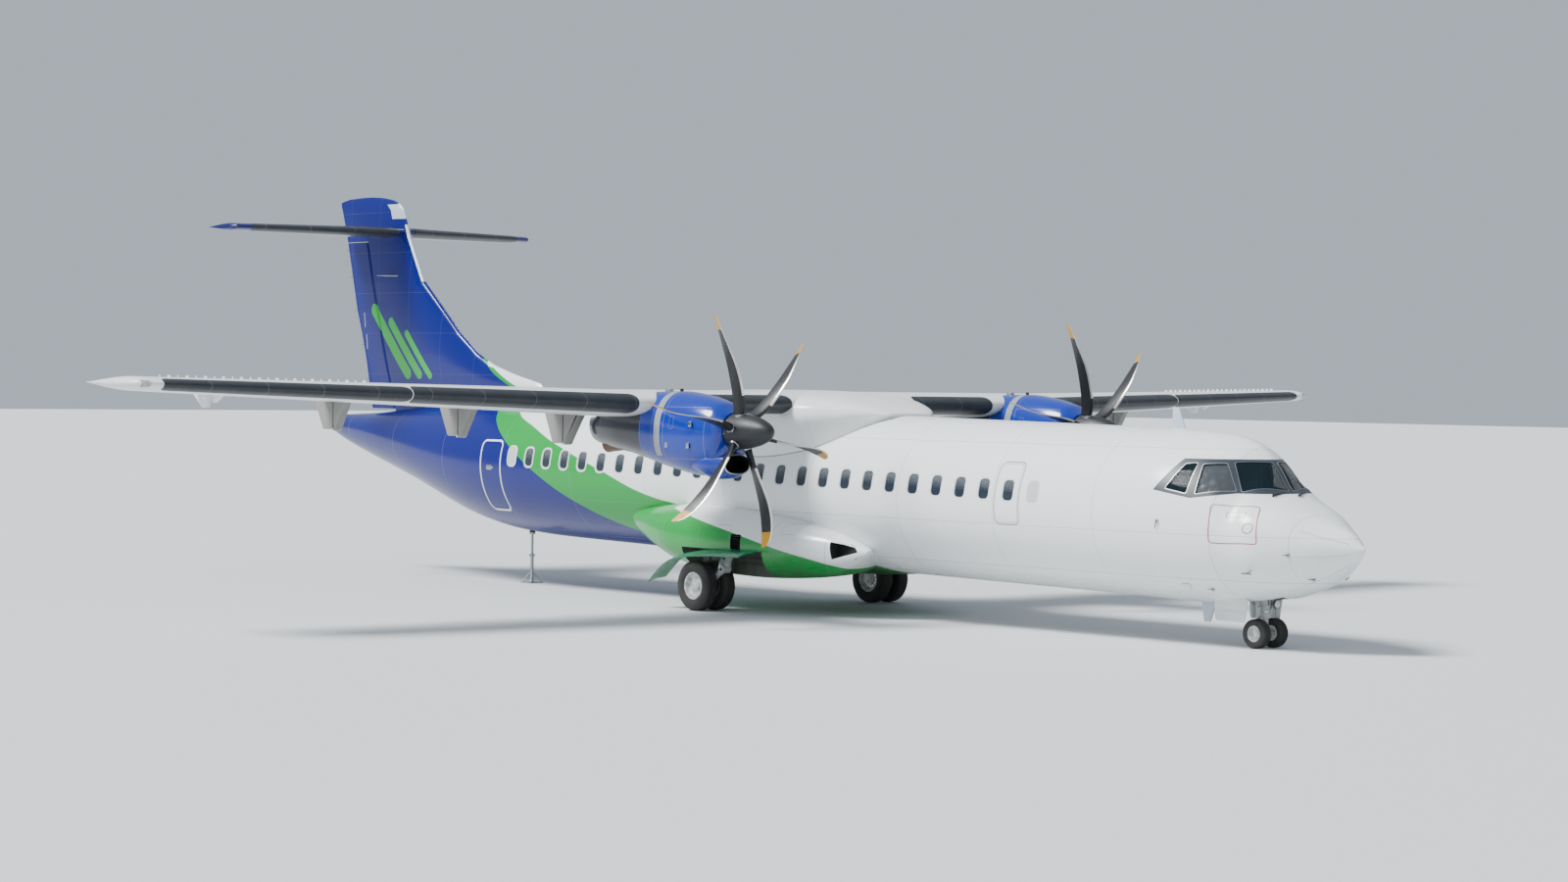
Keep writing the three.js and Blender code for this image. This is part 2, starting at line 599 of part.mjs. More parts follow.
// Propeller: six swept blades on one hub, parked in their feathered pitch.
// Blade rows: radius, chord, sweep aft of the pitch axis, pitch from the plane of rotation, thickness
const BLADE = [
  [305, 225, 0, 107, 110],
  [450, 235, -40, 107, 70],
  [800, 240, -85, 100, 40],
  [1150, 250, -100, 89, 27],
  [1450, 235, -70, 78, 20],
  [1700, 205, -15, 71, 14],
  [1860, 160, 45, 69, 11],
  [PROP_R, 80, 125, 70, 8],
];
const HUB_R = 150;
const ROOT_R = 70;
function bladeSolid() {
  const section = [[0.5, 0.1], [0.05, 0.5], [-0.5, 0.15], [-0.5, -0.15], [0.05, -0.5], [0.5, -0.1]];
  const rings = BLADE.map(([radius, chord, sweep, twist, thick]) => {
    const turn = THREE.MathUtils.degToRad(twist);
    return section.map(([along, across]) => {
      const [c, t] = [along * chord + sweep, across * thick];
      return new THREE.Vector3(
        c * Math.cos(turn) - t * Math.sin(turn), c * Math.sin(turn) + t * Math.cos(turn), radius);
    });
  });
  return loft(rings);
}
const rootBar = (radius, to) => {
  const shape = new THREE.CylinderGeometry(radius, radius, to, 8).rotateX(Math.PI / 2);
  return solidOf(shape.translate(0, 0, to / 2));
};
const turned = (solid, degrees) => moved(
  solid, new THREE.Matrix4().makeRotationY(THREE.MathUtils.degToRad(degrees)));
const hub = solidOf(new THREE.CylinderGeometry(HUB_R, HUB_R, 240, 12));
const shaftBore = solidOf(new THREE.CylinderGeometry(SHAFT_R + 2.5, SHAFT_R + 2.5, 400, 12)
  .translate(0, 200 + SHAFT_END - PROP_STATION - 15, 0));
let propeller = hub;
let rootHoles = solidOf(new THREE.CylinderGeometry(HUB_R + 10, HUB_R + 10, 400, 12).translate(0, 70, 0));
for (let k = 0; k < BLADES; k++) {
  const angle = (k * 360) / BLADES;
  propeller = propeller.add(turned(rootBar(ROOT_R, 330).add(bladeSolid()), angle));
  rootHoles = rootHoles.add(turned(rootBar(ROOT_R + SEAT, 400), angle));
}
propeller = propeller.subtract(shaftBore);
const SPINNER = [[0, 0], [0, 30], [50, 90], [180, 170], [380, 238], [640, 280],
  [SPINNER_BASE - SPINNER_TIP, SPINNER_R], [SPINNER_BASE - SPINNER_TIP, 0]];
const spinner = turnedAlong(SPINNER, new THREE.Vector3(0, SPINNER_TIP - PROP_STATION, 0), 18)
  .subtract(rootHoles);

// Angle of the first blade from straight up, towards port
const PROPELLERS = [['port', 1, -16.3], ['starboard', -1, -17.8]];
for (const [side, sign, angle] of PROPELLERS) {
  for (const [name, shape, material] of [['propeller', propeller, DARK], ['spinner', spinner, DARK]]) {
    const mesh = place(`${name}_${side}`, shape, material);
    mesh.position.copy(at(sign * PROP_X, PROP_STATION, PROP_Z));
    mesh.rotation.y = THREE.MathUtils.degToRad(angle);
  }
}

// Fin and rudder, as sections at a height: height, leading edge, trailing edge, thickness
const FIN = [
  [3150, 19500, 25700, 150],
  [3350, 19500, 25760, 150],
  [3850, 20100, 25880, 230],
  [3990, 20810, 25915, 250],
  [4190, 21580, 25960, 270],
  [4400, 22060, 26020, 280],
  [4820, 22700, 26150, 280],
  [5300, 23270, 26330, 270],
  [5870, 23970, 26480, 255],
  [6780, 24480, 26720, 220],
  [7330, 24700, 26900, 150],
  [7460, 24870, 26950, 110],
  [7530, 25080, 26950, 80],
  [7585, 25430, 26650, 50],
  [7610, 25800, 26150, 30],
];
const RUDDER_HINGE = [[3350, 25000], [6780, 25960]]; // height and station of two points of the hinge line
const RUDDER_TOP = 6700;
const RUDDER_FOOT = 3290;
const finSection = (z) => {
  const [lead, trail, thick] = [1, 2, 3].map((c) => linearColumn(FIN, c, z));
  return { lead, hinge: linearColumn(RUDDER_HINGE, 1, z), trail, thick };
};
function linearColumn(table, column, v) {
  const i = Math.min(table.length - 1, Math.max(1, table.findIndex((row) => row[0] >= v)));
  const t = (v - table[i - 1][0]) / (table[i][0] - table[i - 1][0]);
  return THREE.MathUtils.lerp(table[i - 1][column], table[i][column], t);
}
const FIN_SHARES = [0, 0.03, 0.1, 0.25, 0.5, 0.75];
function finRing(z, rear) {
  const { lead, trail, thick } = finSection(z);
  const end = rear(finSection(z));
  const half = (s) => Math.max(5, aerofoil(Math.min(1, (s - lead) / (trail - lead))) * thick);
  const stations = FIN_SHARES.map((u) => lead + u * (end - lead));
  return [
    at(half(end), end, z), ...stations.slice(1).reverse().map((s) => at(half(s), s, z)), at(0, lead, z),
    ...stations.slice(1).map((s) => at(-half(s), s, z)), at(-half(end), end, z),
  ];
}
const heights = FIN.map((row) => row[0]);
const FIN_GAP = 85; // from the rudder's hinge line to the fin's rear face
const besideRudder = [...heights.filter((z) => z < RUDDER_TOP), RUDDER_TOP];
const overRudder = [RUDDER_TOP, ...heights.filter((z) => z > RUDDER_TOP)];
const fin = loft(besideRudder.map((z) => finRing(z, (f) => f.hinge - FIN_GAP)))
  .add(loft(overRudder.map((z) => finRing(z, (f) => f.trail))));
const RUDDER_NOSE = 60;
function rudderRing(z) {
  const { lead, hinge, trail, thick } = finSection(z);
  const half = (s) => Math.max(5, aerofoil(Math.min(1, (s - lead) / (trail - lead))) * thick);
  const rows = [[trail, half(trail)], [(hinge + trail) / 2, half((hinge + trail) / 2)], [hinge, half(hinge)],
    [hinge - RUDDER_NOSE * 0.7, half(hinge) * 0.7]];
  return [...rows.map(([s, x]) => at(x, s, z)), at(0, hinge - RUDDER_NOSE, z),
    ...rows.reverse().map(([s, x]) => at(-x, s, z))];
}

// Tailplane and elevators: across, leading edge, hinge, trailing edge, thickness
const TAILPLANE = [
  [0, 24550, 26000, 26600, 230],
  [TAILPLANE_HALF - 60, 25280, 25960, 26252, 140],
  [TAILPLANE_HALF, 25420, 25980, 26210, 80],
];
const ELEVATOR_X = 190;
const ELEVATOR_END_X = TAILPLANE_HALF - 140;
const TAIL_GAP = 60;
const ELEVATOR_NOSE = 45;
function tailSection(x) {
  const [lead, hinge, trail, thick] = [1, 2, 3, 4].map((c) => linearColumn(TAILPLANE, c, x));
  const half = (s) => Math.max(4, aerofoil(Math.max(0, Math.min(1, (s - lead) / (trail - lead)))) * thick);
  return { lead, hinge, trail, half };
}
function tailRing(x, rear, grow = 0) {
  const section = tailSection(x);
  const end = rear(section);
  const stations = FIN_SHARES.map((u) => section.lead + u * (end - section.lead));
  const half = (s) => section.half(s) + grow;
  const z = TAILPLANE_Z;
  return [at(x, end + grow, z + half(end)),
    ...stations.slice(1).reverse().map((s) => at(x, s, z + half(s))), at(x, section.lead - grow, z),
    ...stations.slice(1).map((s) => at(x, s, z - half(s))), at(x, end + grow, z - half(end))];
}
function elevatorRing(x) {
  const { hinge, trail, half } = tailSection(x);
  const rows = [[trail, half(trail)], [(hinge + trail) / 2, half((hinge + trail) / 2)], [hinge, half(hinge)],
    [hinge - ELEVATOR_NOSE * 0.7, half(hinge) * 0.7]];
  return [...rows.map(([s, h]) => at(x, s, TAILPLANE_Z + h)), at(x, hinge - ELEVATOR_NOSE, TAILPLANE_Z),
    ...rows.reverse().map(([s, h]) => at(x, s, TAILPLANE_Z - h))];
}
const toHinge = (section) => section.hinge - TAIL_GAP;
const toTip = (section) => section.trail;
const tailHalf = loft([
  tailRing(0, toHinge), tailRing(ELEVATOR_END_X, toHinge), tailRing(ELEVATOR_END_X + 1, toTip),
  tailRing(TAILPLANE_HALF - 60, toTip), tailRing(TAILPLANE_HALF, toTip),
]);
const TAIL_PIN_R = 10;
const TAIL_PIN_DEPTH = 70;
const hingeOfTail = (x) => [x, tailSection(x).hinge, TAILPLANE_Z];
const tailPin = (depth, radius) => bar(
  hingeOfTail(ELEVATOR_END_X - depth), hingeOfTail(ELEVATOR_END_X + 30), radius, radius, 10);
const pinnedHalf = tailHalf.add(tailPin(TAIL_PIN_DEPTH, TAIL_PIN_R));
const tailplane = pinnedHalf.add(mirrored(pinnedHalf));
const tailSlot = loft([tailRing(0, toHinge, SEAT), tailRing(ELEVATOR_END_X, toHinge, SEAT)]);
const RUDDER_PIN_R = 20;
const RUDDER_PIN_DEPTH = 60;
const rudderPin = (depth, radius) => {
  const [low, high] = [RUDDER_TOP - depth, RUDDER_TOP + 40];
  return bar([0, finSection(low).hinge, low], [0, finSection(high).hinge, high], radius, radius, PIN_SIDES);
};
const tailBullet = bar([0, 26300, 6765], [0, 27060, 6755], 52, 36);
place('fin', fin.subtract(tailSlot)
  .subtract(mirrored(tailSlot))
  .subtract(bodyCut(19000, LENGTH))
  .add(rudderPin(RUDDER_PIN_DEPTH, RUDDER_PIN_R))
  .add(tailBullet), BLUE);
const rudderHeights = heights.filter((z) => z > RUDDER_FOOT && z < RUDDER_TOP);
place('rudder', loft([RUDDER_FOOT, ...rudderHeights, RUDDER_TOP - PLAY].map(rudderRing))
  .subtract(bodyStretch(24000, LENGTH, PLAY))
  .subtract(rudderPin(RUDDER_PIN_DEPTH + 15, RUDDER_PIN_R + PIN_BORE)), BLUE);
place('tailplane', tailplane, WHITE);
placeBoth('elevator', loft([ELEVATOR_X, ELEVATOR_END_X - PLAY].map(elevatorRing))
  .subtract(tailPin(TAIL_PIN_DEPTH + 15, TAIL_PIN_R + 1)), WHITE);

// Main gear pods on the lower fuselage, which meet under the belly: station, half width outboard,
// half width inboard, top, bottom
const POD_X = 1240;
const TO_BELLY = POD_X - SEAT;
const POD = [
  [9450, 40, 60, 1150, 1080],
  [9790, 230, 600, 1300, 850],
  [10180, 400, 1000, 1440, 700],
  [11070, 660, TO_BELLY, 1610, 610],
  [11900, 760, TO_BELLY, 1700, 580],
  [12960, 765, TO_BELLY, 1770, 610],
  [13850, 740, TO_BELLY, 1780, 740],
  [14480, 600, 900, 1750, 935],
  [14870, 460, 600, 1700, 1075],
  [15250, 300, 350, 1640, 1220],
  [15480, 170, 170, 1570, 1400],
];
const POD_SIDES = 20;
const podRing = ([s, outer, inner, top, bottom]) => Array.from({ length: POD_SIDES }, (_, i) => {
  const angle = ((i + 0.5) * 2 * Math.PI) / POD_SIDES;
  const middleZ = (top + bottom) / 2;
  const reach = Math.sin(angle) > 0 ? outer : inner;
  return at(POD_X + reach * squared(Math.sin(angle), 2.4), s,
    middleZ + (top - middleZ) * squared(Math.cos(angle), 2.4));
});
const LEG_STATION = 12180;
const LEG_TOP = [1730, LEG_STATION, 1420];
const KNEE = [MAIN_X - 20, LEG_STATION, 730];
const LEG_WELL_R = 100;
const WELL = block([1500, 11350, 200], [2500, 13420, 1060]);
const underLegTop = (margin) => block([1000, 11500, 0], [3000, 13500, LEG_TOP[2] - margin]);
const legWell = bar([2 * LEG_TOP[0] - KNEE[0], LEG_STATION, 2 * LEG_TOP[2] - KNEE[2]], KNEE, LEG_WELL_R)
  .intersect(underLegTop(0));
const podShell = loft(POD.map(podRing)).subtract(WELL).subtract(legWell);
place('gear_pod_port', podShell.subtract(bodyCut(8500, 15600)), WHITE);
place('gear_pod_starboard', mirrored(podShell).subtract(bodyCut(8500, 15600)), WHITE);

// Wheels: two rims on the axle that turns with them in the leg's bearing
const AXLE_R = 45;
const wheelPair = (tyreR, tyreW, twin, axleR) => {
  const rim = tyreR * 0.52;
  const w = tyreW / 2;
  const middle = twin / 2;
  const half = [[middle + w * 0.5, 0], [middle + w * 0.5, rim * 0.35], [middle + w * 0.3, rim * 0.6],
    [middle + w * 0.8, rim], [middle - w * 0.8, rim], [middle - w * 0.8, axleR]];
  return [...half, ...half.map(([a, r]) => [-a, r]).reverse()];
};
const tyreProfile = (tyreR, tyreW, middle) => {
  const [rim, w] = [tyreR * 0.52 + SEAT, tyreW / 2];
  const tall = tyreR - rim;
  const outline = [[-0.76 * w, rim], [-w, rim + 0.42 * tall], [-0.88 * w, rim + 0.86 * tall],
    [-0.45 * w, tyreR], [0.45 * w, tyreR], [0.88 * w, rim + 0.86 * tall],
    [w, rim + 0.42 * tall], [0.76 * w, rim], [-0.76 * w, rim]];
  return outline.map(([a, r]) => [a + middle, r]);
};
const TYRE_SIDES = 18;
const origin = new THREE.Vector3();
function wheelSet(prefix, position, tyreR, tyreW, twin, axleR) {
  const rimPair = turnedAcross(wheelPair(tyreR, tyreW, twin, axleR), origin, TYRE_SIDES);
  place(`${prefix}_rims`, rimPair, WHITE).position.copy(position);
  for (const [side, middle] of [['left', twin / 2], ['right', -twin / 2]]) {
    const tyre = place(`${prefix}_tyre_${side}`,
      turnedAcross(tyreProfile(tyreR, tyreW, middle), origin, TYRE_SIDES), RUBBER);
    tyre.position.copy(position);
  }
}
for (const [side, sign] of [['port', 1], ['starboard', -1]]) {
  const middle = at(sign * MAIN_X, MAIN_STATION, MAIN_TYRE_R);
  wheelSet(`main_wheel_${side}`, middle, MAIN_TYRE_R, MAIN_TYRE_W, MAIN_TWIN, AXLE_R);
}
const NOSE_AXLE_R = 28;
const noseAxle = at(0, NOSE_STATION, NOSE_TYRE_R);
wheelSet('nose_wheel', noseAxle, NOSE_TYRE_R, NOSE_TYRE_W, NOSE_TWIN, NOSE_AXLE_R);

// Main gear legs: a drop strut out of the pod, a trailing lever with the axle's bearing, and a shock strut
const LEG_R = [72, 62]; // at the top and at the knee
const BEARING_HALF = 55;
const alongAxle = (half, radius) => bar(
  [MAIN_X - half, MAIN_STATION, MAIN_TYRE_R], [MAIN_X + half, MAIN_STATION, MAIN_TYRE_R], radius);
const mainLeg = bar(LEG_TOP, KNEE, ...LEG_R)
  .add(bar([MAIN_X, LEG_STATION - 30, KNEE[2] + 10], [MAIN_X, MAIN_STATION, MAIN_TYRE_R], 55, 50))
  .add(bar([MAIN_X, LEG_STATION + 300, 560], [MAIN_X - 130, LEG_STATION + 50, 1035], 36, 42))
  .add(alongAxle(BEARING_HALF, AXLE_R + 30))
  .subtract(alongAxle(300, AXLE_R + 2))
  .intersect(underLegTop(SEAT));
placeBoth('main_gear_leg', mainLeg, GREY);

// Leg door: a plate over the wheels like a mudguard, curved down at its rear, on an arm from the leg.
// Rows: station, height of its inner edge
const DOOR_CURVE = [[11380, 1080], [11900, 1075], [12600, 1045], [13050, 985], [13300, 900], [13560, 720],
  [13760, 545]];
const DOOR_ACROSS = [[2030, 0], [2240, 22], [2460, 90]]; // across, drop below the inner edge
const DOOR_THICK = 26;
const doorRing = ([s, z]) => [
  ...DOOR_ACROSS.map(([x, drop]) => at(x, s, z - drop)),
  ...DOOR_ACROSS.slice().reverse().map(([x, drop]) => at(x, s, z - drop - DOOR_THICK)),
];
const doorArm = bar([MAIN_X - 20, LEG_STATION - 30, 860], [2230, LEG_STATION - 30, 1030], 24, 24, 10)
  .subtract(bar(LEG_TOP, KNEE, ...LEG_R.map((radius) => radius + SEAT)));
placeBoth('main_gear_door', loft(DOOR_CURVE.map(doorRing)).add(doorArm), WHITE, GREEN);

// Nose gear: the outer leg in its bay, and the steering strut with the axle, which turns in it
const NOSE_LEG_TOP = 1179.7;
const NOSE_LEG_FOOT = 560;
const STEER_R = 50; // the turning strut inside the leg
const STEER_SIDES = 24;
const noseLeg = bar([0, NOSE_STATION, NOSE_LEG_FOOT], [0, NOSE_STATION, NOSE_LEG_TOP], 75, 75, 12)
  .add(bar([0, NOSE_STATION + 20, 700], [0, NOSE_STATION + 480, NOSE_LEG_TOP - 60], 42, 42))
  .subtract(bar([0, NOSE_STATION, NOSE_LEG_FOOT - 50], [0, NOSE_STATION, 900],
    STEER_R + 0.8, STEER_R + 0.8, STEER_SIDES));
place('nose_gear_leg', noseLeg, GREY);
const steering = bar([0, NOSE_STATION, NOSE_TYRE_R], [0, NOSE_STATION, 890], STEER_R, STEER_R, STEER_SIDES)
  .add(bar([0, NOSE_STATION, 460], [0, NOSE_STATION, NOSE_LEG_FOOT - PLAY], 78, 78, 12))
  .add(block([-35, NOSE_STATION + 60, 480], [35, NOSE_STATION + 200, 530]))
  .add(bar([0, NOSE_STATION + 190, 500], [0, NOSE_STATION + 60, 300], 26))
  .add(bar([-60, NOSE_STATION, NOSE_TYRE_R], [60, NOSE_STATION, NOSE_TYRE_R], NOSE_AXLE_R + 22))
  .subtract(bar([-300, NOSE_STATION, NOSE_TYRE_R], [300, NOSE_STATION, NOSE_TYRE_R], NOSE_AXLE_R + 1.3));
place('nose_steering_strut', steering, METAL);
const NOSE_DOOR_X = 395;
const noseDoor = sidePlate(
  [[1900, 760], [2560, 735], [2540, 400], [1960, 390]], NOSE_DOOR_X, NOSE_DOOR_X + 18);
placeBoth('nose_gear_door', noseDoor.subtract(bodyCut(1700, 2900)), WHITE);

// Tail stand: a post with a foot plate and a padded head under the rear fuselage
const STAND_STATION = 20300;
place('tail_stand', bar([0, STAND_STATION, 20], [0, STAND_STATION, 960], 32, 32, 16)
  .add(block([-160, STAND_STATION - 160, 0], [160, STAND_STATION + 160, 22]))
  .add(bar([0, STAND_STATION, 940], [0, STAND_STATION, 1060], 60, 60, 16))
  .subtract(bodyCut(19900, 20700)), METAL);

// Blade antennas on the roof and the belly
place('antenna_top', sidePlate([[3560, 3280], [3850, 3280], [3830, 3640], [3700, 3640]], -14, 14)
  .subtract(bodyCut(3400, 4000)), WHITE);
place('antenna_belly', sidePlate([[2860, 650], [3180, 655], [3120, 330], [2990, 330]], -14, 14)
  .subtract(bodyCut(2700, 3400)), WHITE);

export default aircraft;
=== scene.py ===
"""Looks of a parked turboprop airliner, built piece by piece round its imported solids."""
import json
import math

import bmesh
import bpy
from mathutils import Matrix, Vector


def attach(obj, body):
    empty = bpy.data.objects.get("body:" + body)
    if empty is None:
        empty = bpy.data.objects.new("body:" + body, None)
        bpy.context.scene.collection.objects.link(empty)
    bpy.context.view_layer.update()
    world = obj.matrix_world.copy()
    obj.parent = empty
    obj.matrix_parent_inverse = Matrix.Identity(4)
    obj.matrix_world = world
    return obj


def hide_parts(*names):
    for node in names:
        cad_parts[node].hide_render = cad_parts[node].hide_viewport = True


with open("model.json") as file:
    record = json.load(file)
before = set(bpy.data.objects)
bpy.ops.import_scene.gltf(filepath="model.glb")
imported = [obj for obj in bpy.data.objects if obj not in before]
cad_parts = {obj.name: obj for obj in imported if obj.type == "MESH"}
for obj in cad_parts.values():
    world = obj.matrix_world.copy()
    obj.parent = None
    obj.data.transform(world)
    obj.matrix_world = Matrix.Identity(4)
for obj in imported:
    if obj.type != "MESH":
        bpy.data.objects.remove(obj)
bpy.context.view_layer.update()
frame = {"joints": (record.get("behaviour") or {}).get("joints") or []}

# The studio: a plain pale floor, a pale surround, one soft light from high behind the starboard wing
# and a weaker, broader one from the camera's side. The camera stands where the photograph's did.
scene = bpy.context.scene


def srgb(code):
    """Linear colour of an sRGB hex code."""
    parts = [int(code[i:i + 2], 16) / 255 for i in (0, 2, 4)]
    return [c / 12.92 if c <= 0.04045 else ((c + 0.055) / 1.055) ** 2.4 for c in parts] + [1.0]


def add(tree, kind, inputs=None, **settings):
    """New node with its settings, and with a value or a link for each input named."""
    new = tree.nodes.new(kind)
    for name, value in settings.items():
        setattr(new, name, value)
    for socket, value in (inputs or {}).items():
        if isinstance(value, bpy.types.NodeSocket):
            tree.links.new(value, new.inputs[socket])
        else:
            new.inputs[socket].default_value = value
    return new


def new_material(name, **sockets):
    """Material with one principled shader, its constant sockets set on the shader itself."""
    material = bpy.data.materials.new(name)
    material.use_nodes = True
    shader = material.node_tree.nodes["Principled BSDF"]
    for socket, value in sockets.items():
        shader.inputs[socket.replace("_", " ")].default_value = value
    return material, material.node_tree, shader


floor_paint, tree, shader = new_material("pale_floor_paint", Roughness=0.75, Base_Color=srgb("CDD0D1"))
FLOOR_HALF = 260
bm = bmesh.new()
bmesh.ops.create_grid(bm, x_segments=4, y_segments=4, size=FLOOR_HALF)
mesh = bpy.data.meshes.new("floor")
bm.to_mesh(mesh)
bm.free()
mesh.materials.append(floor_paint)
floor = bpy.data.objects.new("floor", mesh)
floor.location.z = -0.002
scene.collection.objects.link(floor)

surround = bpy.data.worlds.new("surround")
scene.world = surround
surround.use_nodes = True
surround.node_tree.nodes["Background"].inputs["Color"].default_value = srgb("D6E1EE")
surround.node_tree.nodes["Background"].inputs["Strength"].default_value = 0.72

for name, strength, spread, tilt, heading in (
        ("key", 6.4, 20, 38, -120), ("fill", 0.45, 60, 62, -60)):
    light = bpy.data.objects.new(name, bpy.data.lights.new(name, "SUN"))
    light.data.energy = strength
    light.data.angle = math.radians(spread)
    light.rotation_euler = (math.radians(tilt), 0, math.radians(heading))
    scene.collection.objects.link(light)

LENS = 77.29  # 3435 px of focal length across a picture 1600 px wide
EYE = (-39.461, -45.144, 3.984)
HEADING, PITCH, ROLL = (math.radians(a) for a in (41.522, -1.042, 0.774))
camera = bpy.data.objects.new("camera", bpy.data.cameras.new("camera"))
camera.data.sensor_width = 36
camera.data.lens = LENS
camera.data.clip_end = 900
camera.matrix_world = (Matrix.Translation(EYE) @ Matrix.Rotation(-HEADING, 4, "Z")
                       @ Matrix.Rotation(math.pi / 2 + PITCH, 4, "X") @ Matrix.Rotation(ROLL, 4, "Z"))
scene.collection.objects.link(camera)
scene.camera = camera

# Aircraft enamel: polyurethane sprayed on aluminium and washed now and then. It gives a hard even
# gloss that is broken by shallow waves between frames, thin joints between sheets, and grime low down.
HALF_LENGTH = 13.583
WHITE, GREEN, BLUE = srgb("ECEFEF"), srgb("00963A"), srgb("03126E")
FRAME_PITCH = 2.19  # visible butt joints of the sheets, m
JOINT_WIDTH = 0.009  # drawn twice as wide as the real gap, so that it shows
SEAM_TINT = srgb("7B8084")


def paint_base(tree):
    """Object coordinates of a material, split in three."""
    place = add(tree, "ShaderNodeTexCoord").outputs["Object"]
    split = add(tree, "ShaderNodeSeparateXYZ", {"Vector": place})
    return place, split.outputs["X"], split.outputs["Y"], split.outputs["Z"]


def vary_colour(shader, value, low, high):
    """Base colour between two colours, as a value goes from 0 to 1."""
    tree = shader.id_data
    tone = add(tree, "ShaderNodeMix", {"Factor": value, 6: srgb(low), 7: srgb(high)}, data_type="RGBA")
    tree.links.new(tone.outputs[2], shader.inputs["Base Color"])


def vary_gloss(shader, value, low, high):
    """Roughness between two figures, as a value goes from 0 to 1."""
    tree = shader.id_data
    rough = add(tree, "ShaderNodeMapRange", {"Value": value, "To Min": low, "To Max": high})
    tree.links.new(rough.outputs[0], shader.inputs["Roughness"])


def vary_grain(shader, value, strength, depth):
    """Relief of a strength and a depth in metres, where a value is high."""
    tree = shader.id_data
    bump = add(tree, "ShaderNodeBump", {"Height": value, "Strength": strength, "Distance": depth})
    tree.links.new(bump.outputs[0], shader.inputs["Normal"])


def uneven_material(name, scale, colours=None, gloss=None, grain=None, detail=None, kind="Noise", bands=None,
                    **sockets):
    """Material that one texture makes uneven in its colour, its gloss or its grain."""
    material, tree, shader = new_material(name, **sockets)
    inputs = {"Vector": paint_base(tree)[0], "Scale": scale}
    if detail is not None:
        inputs["Detail"] = detail
    texture = add(tree, f"ShaderNodeTex{kind}", inputs, **({"bands_direction": bands} if bands else {}))
    value = texture.outputs["Distance" if kind == "Voronoi" else "Fac"]
    if colours:
        vary_colour(shader, value, *colours)
    if gloss:
        vary_gloss(shader, value, *gloss)
    if grain:
        vary_grain(shader, value, *grain)
    return material


def finish_enamel(tree, shader, colour, place, joints, grime_top=1.15, grime=0.5, gloss=0.22):
    """Grime, joints and waves over a colour, on a glossy paint shader."""
    z = add(tree, "ShaderNodeSeparateXYZ", {"Vector": place}).outputs["Z"]
    cloud = add(tree, "ShaderNodeTexNoise", {"Vector": place, "Scale": 1.1, "Detail": 6.0,
                                             "Roughness": 0.62})
    stretch = add(tree, "ShaderNodeVectorMath", {0: place, 1: (5.0, 0.35, 9.0)}, operation="MULTIPLY")
    streak = add(tree, "ShaderNodeTexNoise", {"Vector": stretch.outputs[0], "Scale": 1.6, "Detail": 5.0})
    low = add(tree, "ShaderNodeMapRange", {"Value": z, "From Min": grime_top - 0.7, "From Max": grime_top,
                                           "To Min": 1.0, "To Max": 0.06}, interpolation_type="SMOOTHSTEP")
    mottle = add(tree, "ShaderNodeMath", {0: cloud.outputs["Fac"], 1: streak.outputs["Fac"]},
                 operation="MULTIPLY")
    sharp = add(tree, "ShaderNodeMapRange", {"Value": mottle.outputs[0], "From Min": 0.12, "From Max": 0.42})
    soil = add(tree, "ShaderNodeMath", {0: sharp.outputs[0], 1: low.outputs[0]}, operation="MULTIPLY")
    amount = add(tree, "ShaderNodeMath", {0: soil.outputs[0], 1: grime}, operation="MULTIPLY")
    dirty = add(tree, "ShaderNodeMix", {"Factor": amount.outputs[0], 6: colour, 7: srgb("55524A")},
                data_type="RGBA")
    lined = add(tree, "ShaderNodeMix", {"Factor": joints, 6: dirty.outputs[2], 7: SEAM_TINT},
                data_type="RGBA")
    tree.links.new(lined.outputs[2], shader.inputs["Base Color"])
    vary_gloss(shader, soil.outputs[0], gloss, gloss + 0.35)
    wave = add(tree, "ShaderNodeTexNoise", {"Vector": place, "Scale": 1.7, "Detail": 1.0})
    height = add(tree, "ShaderNodeMath", {0: joints, 1: -0.0008, 2: 0.0}, operation="MULTIPLY_ADD")
    waves = add(tree, "ShaderNodeMath", {0: wave.outputs["Fac"], 1: 0.0035, 2: height.outputs[0]},
                operation="MULTIPLY_ADD")
    vary_grain(shader, waves.outputs[0], 0.6, 1.0)


def line_at(tree, value, pitch, offset, width):
    """1 on thin lines that repeat at a pitch, 0 between them."""
    moved = add(tree, "ShaderNodeMath", {0: value, 1: offset + 40 * pitch}, operation="ADD")
    swing = add(tree, "ShaderNodeMath", {0: moved.outputs[0], 1: pitch / 2}, operation="PINGPONG")
    return add(tree, "ShaderNodeMath", {0: swing.outputs[0], 1: width / 2}, operation="LESS_THAN").outputs[0]


def either(tree, *masks):
    """The greater of several masks."""
    total = masks[0]
    for mask in masks[1:]:
        total = add(tree, "ShaderNodeMath", {0: total, 1: mask}, operation="MAXIMUM").outputs[0]
    return total


def both(tree, *masks):
    """The product of several masks."""
    total = masks[0]
    for mask in masks[1:]:
        total = add(tree, "ShaderNodeMath", {0: total, 1: mask}, operation="MULTIPLY").outputs[0]
    return total


